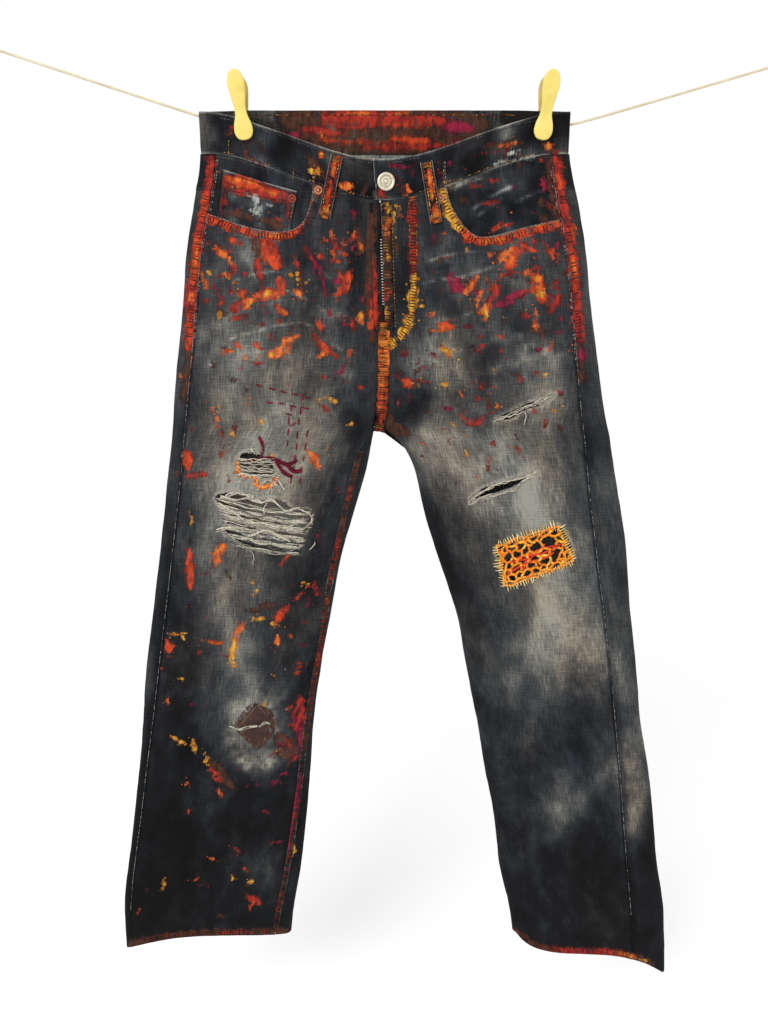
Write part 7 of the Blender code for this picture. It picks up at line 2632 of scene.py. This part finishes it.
def turned(name, profile, node, finish, segments=40):
    """A turned piece from (radius, height) rows, facing the way its solid faces."""
    low, high = node_box(node)
    centre = (low + high) / 2
    turn = np.arange(segments) / segments * 2 * np.pi
    rows = np.array(profile, float) * MM
    x = rows[:, :1] * np.cos(turn)
    z = rows[:, :1] * np.sin(turn)
    tilt = 0.05
    y = -rows[:, 1:] + 0 * x + z * tilt
    spots = np.stack([x + centre[0], y + centre[1], z + centre[2]], -1).reshape(-1, 3)
    faces = []
    for ring in range(len(rows) - 1):
        for step in range(segments):
            after = (step + 1) % segments
            faces.append((ring * segments + step, ring * segments + after,
                          (ring + 1) * segments + after, (ring + 1) * segments + step))
    mesh = bpy.data.meshes.new(name)
    mesh.from_pydata(spots.tolist(), [], faces)
    made = bpy.data.objects.new(name, mesh)
    bpy.context.scene.collection.objects.link(made)
    weld(made, close_ends=True, distance=1e-5)
    shade_smooth(made, 35)
    finish_piece(made, [node], [finish])


def node_box(name):
    node = bpy.data.objects[name]
    corners = np.array([node.matrix_world @ Vector(corner) for corner in node.bound_box])
    return corners.min(axis=0), corners.max(axis=0)


BUTTON_METAL = metal_finish("button_metal", "c2bba6", 0.42, 0.35, "8a826e")
COPPER = metal_finish("rivet_copper", "b06e48", 0.42, 0.35, "6b3a26")
DULL_COPPER = metal_finish("rivet_painted", "7c2a1c", 0.6, 0.2, "5e3524")
ZIP_METAL = metal_finish("zip_metal", "a9a698", 0.4, 0.6, "6f6c62")
EYE_METAL = metal_finish("eye_metal", "b5b4b0", 0.35, 0.8, "8b8984")
BUTTON_PROFILE = ((0, 1.0), (1.5, 0.9), (2.0, 0.1), (2.7, -0.1), (3.2, 0.9), (4.4, 0.8),
                  (4.8, -0.3), (5.6, -0.4), (6.1, 1.1), (7.2, 1.5), (8.2, 1.1), (8.6, 0.4),
                  (8.5, -0.6), (7.8, -1.2), (0, -1.3))
RIVET_PROFILE = ((0, 1.5), (1.2, 1.2), (1.5, -0.1), (2.2, -0.3), (2.6, 0.8), (3.5, 0.9),
                 (4.2, 0.4), (4.5, -0.1), (4.4, -0.7), (0, -0.75))
turned("button_face", BUTTON_PROFILE, "button", BUTTON_METAL, 56)
for name, finish in (("rivet_pocket_right", COPPER), ("rivet_pocket_left", COPPER),
                     ("rivet_pocket_end_left", DULL_COPPER), ("rivet_coin_pocket",
                                                              DULL_COPPER)):
    turned(f"{name}_face", RIVET_PROFILE, name, finish)


TEETH = 24
FIRST_TOOTH = -108           # height, in millimetres
TOOTH_PITCH = 2.7
TOOTH_SIZE = (1.9 * MM, 1.3 * MM, 1.1 * MM)


def make_teeth():
    """The zip's teeth along the fly's edge, small rounded blocks joined in one mesh."""
    deselect_all()
    teeth = []
    for count in range(TEETH):
        z = (FIRST_TOOTH - count * TOOTH_PITCH) * MM
        x = float(np.interp(z / MM, [p[1] for p in FLY_EDGE[::-1]],
                            [p[0] for p in FLY_EDGE[::-1]])) * MM - 1.2 * MM
        met = FRONT.touch(x, z)
        bpy.ops.mesh.primitive_cube_add(size=1, location=(x, met.y - 0.6 * MM, z))
        tooth = bpy.context.object
        tooth.scale = TOOTH_SIZE
        teeth.append(tooth)
    for tooth in teeth:
        tooth.select_set(True)
    bpy.context.view_layer.objects.active = teeth[0]
    bpy.ops.object.join()
    made = bpy.context.object
    made.name = "zip_teeth"
    bpy.ops.object.transform_apply(location=True, rotation=True, scale=True)
    edge = made.modifiers.new("edge", "BEVEL")
    edge.width = 0.35 * MM
    edge.segments = 2
    apply_modifiers(made)
    shade_smooth(made, 40)
    finish_piece(made, (), [ZIP_METAL])


make_teeth()
dress_node("zip_slider", ZIP_METAL)
for name in ("wall_eye_right", "wall_eye_left"):
    dress_node(name, EYE_METAL)

PEG_OUTLINE = ((0.0, 0.2), (0.012, 3.4), (0.04, 5.6), (0.12, 8.0), (0.22, 8.6), (0.36, 7.4),
               (0.52, 5.9), (0.64, 6.3), (0.76, 8.7), (0.87, 9.4), (0.95, 7.4), (0.985, 4.4),
               (1.0, 0.2))
PEG_TOP, PEG_LENGTH, PEG_THICK = 53 * MM, 64 * MM, 4 * MM


def peg_finish(name, code, deep):
    finish, tree, sockets = new_finish(name, 0.42, Specular_IOR_Level=0.4)
    marks = between(tree, noise(tree, own_place(tree), 60, 3), 0.35, 0.75)
    colour = blend_colours(tree, marks, (*linear(code), 1), (*linear(deep), 1))
    tree.links.new(colour, sockets["Base Color"])
    set_bump(tree, sockets, noise(tree, own_place(tree), 300, 2), 0.08, 0.0003)
    return finish


def make_peg(side, part, finish):
    """One rounded spoon-shaped half of a peg, leaning like its solid."""
    name = f"peg_{NAMES[side]}_{part}"
    out = -1 if part == "front" else 1
    face_y = FRONT_AT_PEG - 0.9 * MM if out < 0 else -2.4 * MM + LINE_RADIUS + 0.95 * MM
    curve = smooth_ring([(share * 64, width) for share, width in PEG_OUTLINE], 1.2, False)
    along, half = curve[:, 0] * MM, np.maximum(curve[:, 1], 0.05) * MM
    turn = np.arange(28) / 28 * 2 * np.pi
    cos, sin = np.cos(turn), np.sin(turn)
    across = np.sign(cos) * np.abs(cos) ** 0.7
    thick = PEG_THICK * np.clip(half / (3.6 * MM), 0.15, 1)[:, None]
    x = half[:, None] * across
    y = out * (PEG_THICK / 2 + thick / 2 * np.sign(sin) * np.abs(sin) ** 0.55)
    z = -along[:, None] + 0 * x
    y = y + out * np.maximum(z + 0.62 * PEG_LENGTH, 0) * 0.12
    place = Matrix.Translation((PEG_X[side], face_y, PEG_TOP)) @ Matrix.Rotation(
        math.radians(8 * side) * 0.9, 4, "Y")
    spots = np.stack([x, y, z], -1).reshape(-1, 3)
    spots = [place @ Vector(spot) for spot in spots]
    faces = []
    for ring in range(len(along) - 1):
        for step in range(28):
            after = (step + 1) % 28
            faces.append((ring * 28 + step, ring * 28 + after, (ring + 1) * 28 + after,
                          (ring + 1) * 28 + step))
    mesh = bpy.data.meshes.new(name)
    mesh.from_pydata(spots, [], faces)
    made = bpy.data.objects.new(f"{name}_form", mesh)
    bpy.context.scene.collection.objects.link(made)
    weld(made, close_ends=True, distance=1e-6)
    shade_smooth(made, 50)
    finish_piece(made, [name], [finish])


PEG_FRONT = peg_finish("peg_plastic", "d8c46a", "cfb95c")
PEG_BACK = peg_finish("peg_plastic_shaded", "b59f45", "a08c3c")
for side in (-1, 1):
    make_peg(side, "front", PEG_FRONT)
    make_peg(side, "back", PEG_BACK)
    dress_node(f"peg_{NAMES[side]}_pivot", PEG_BACK)
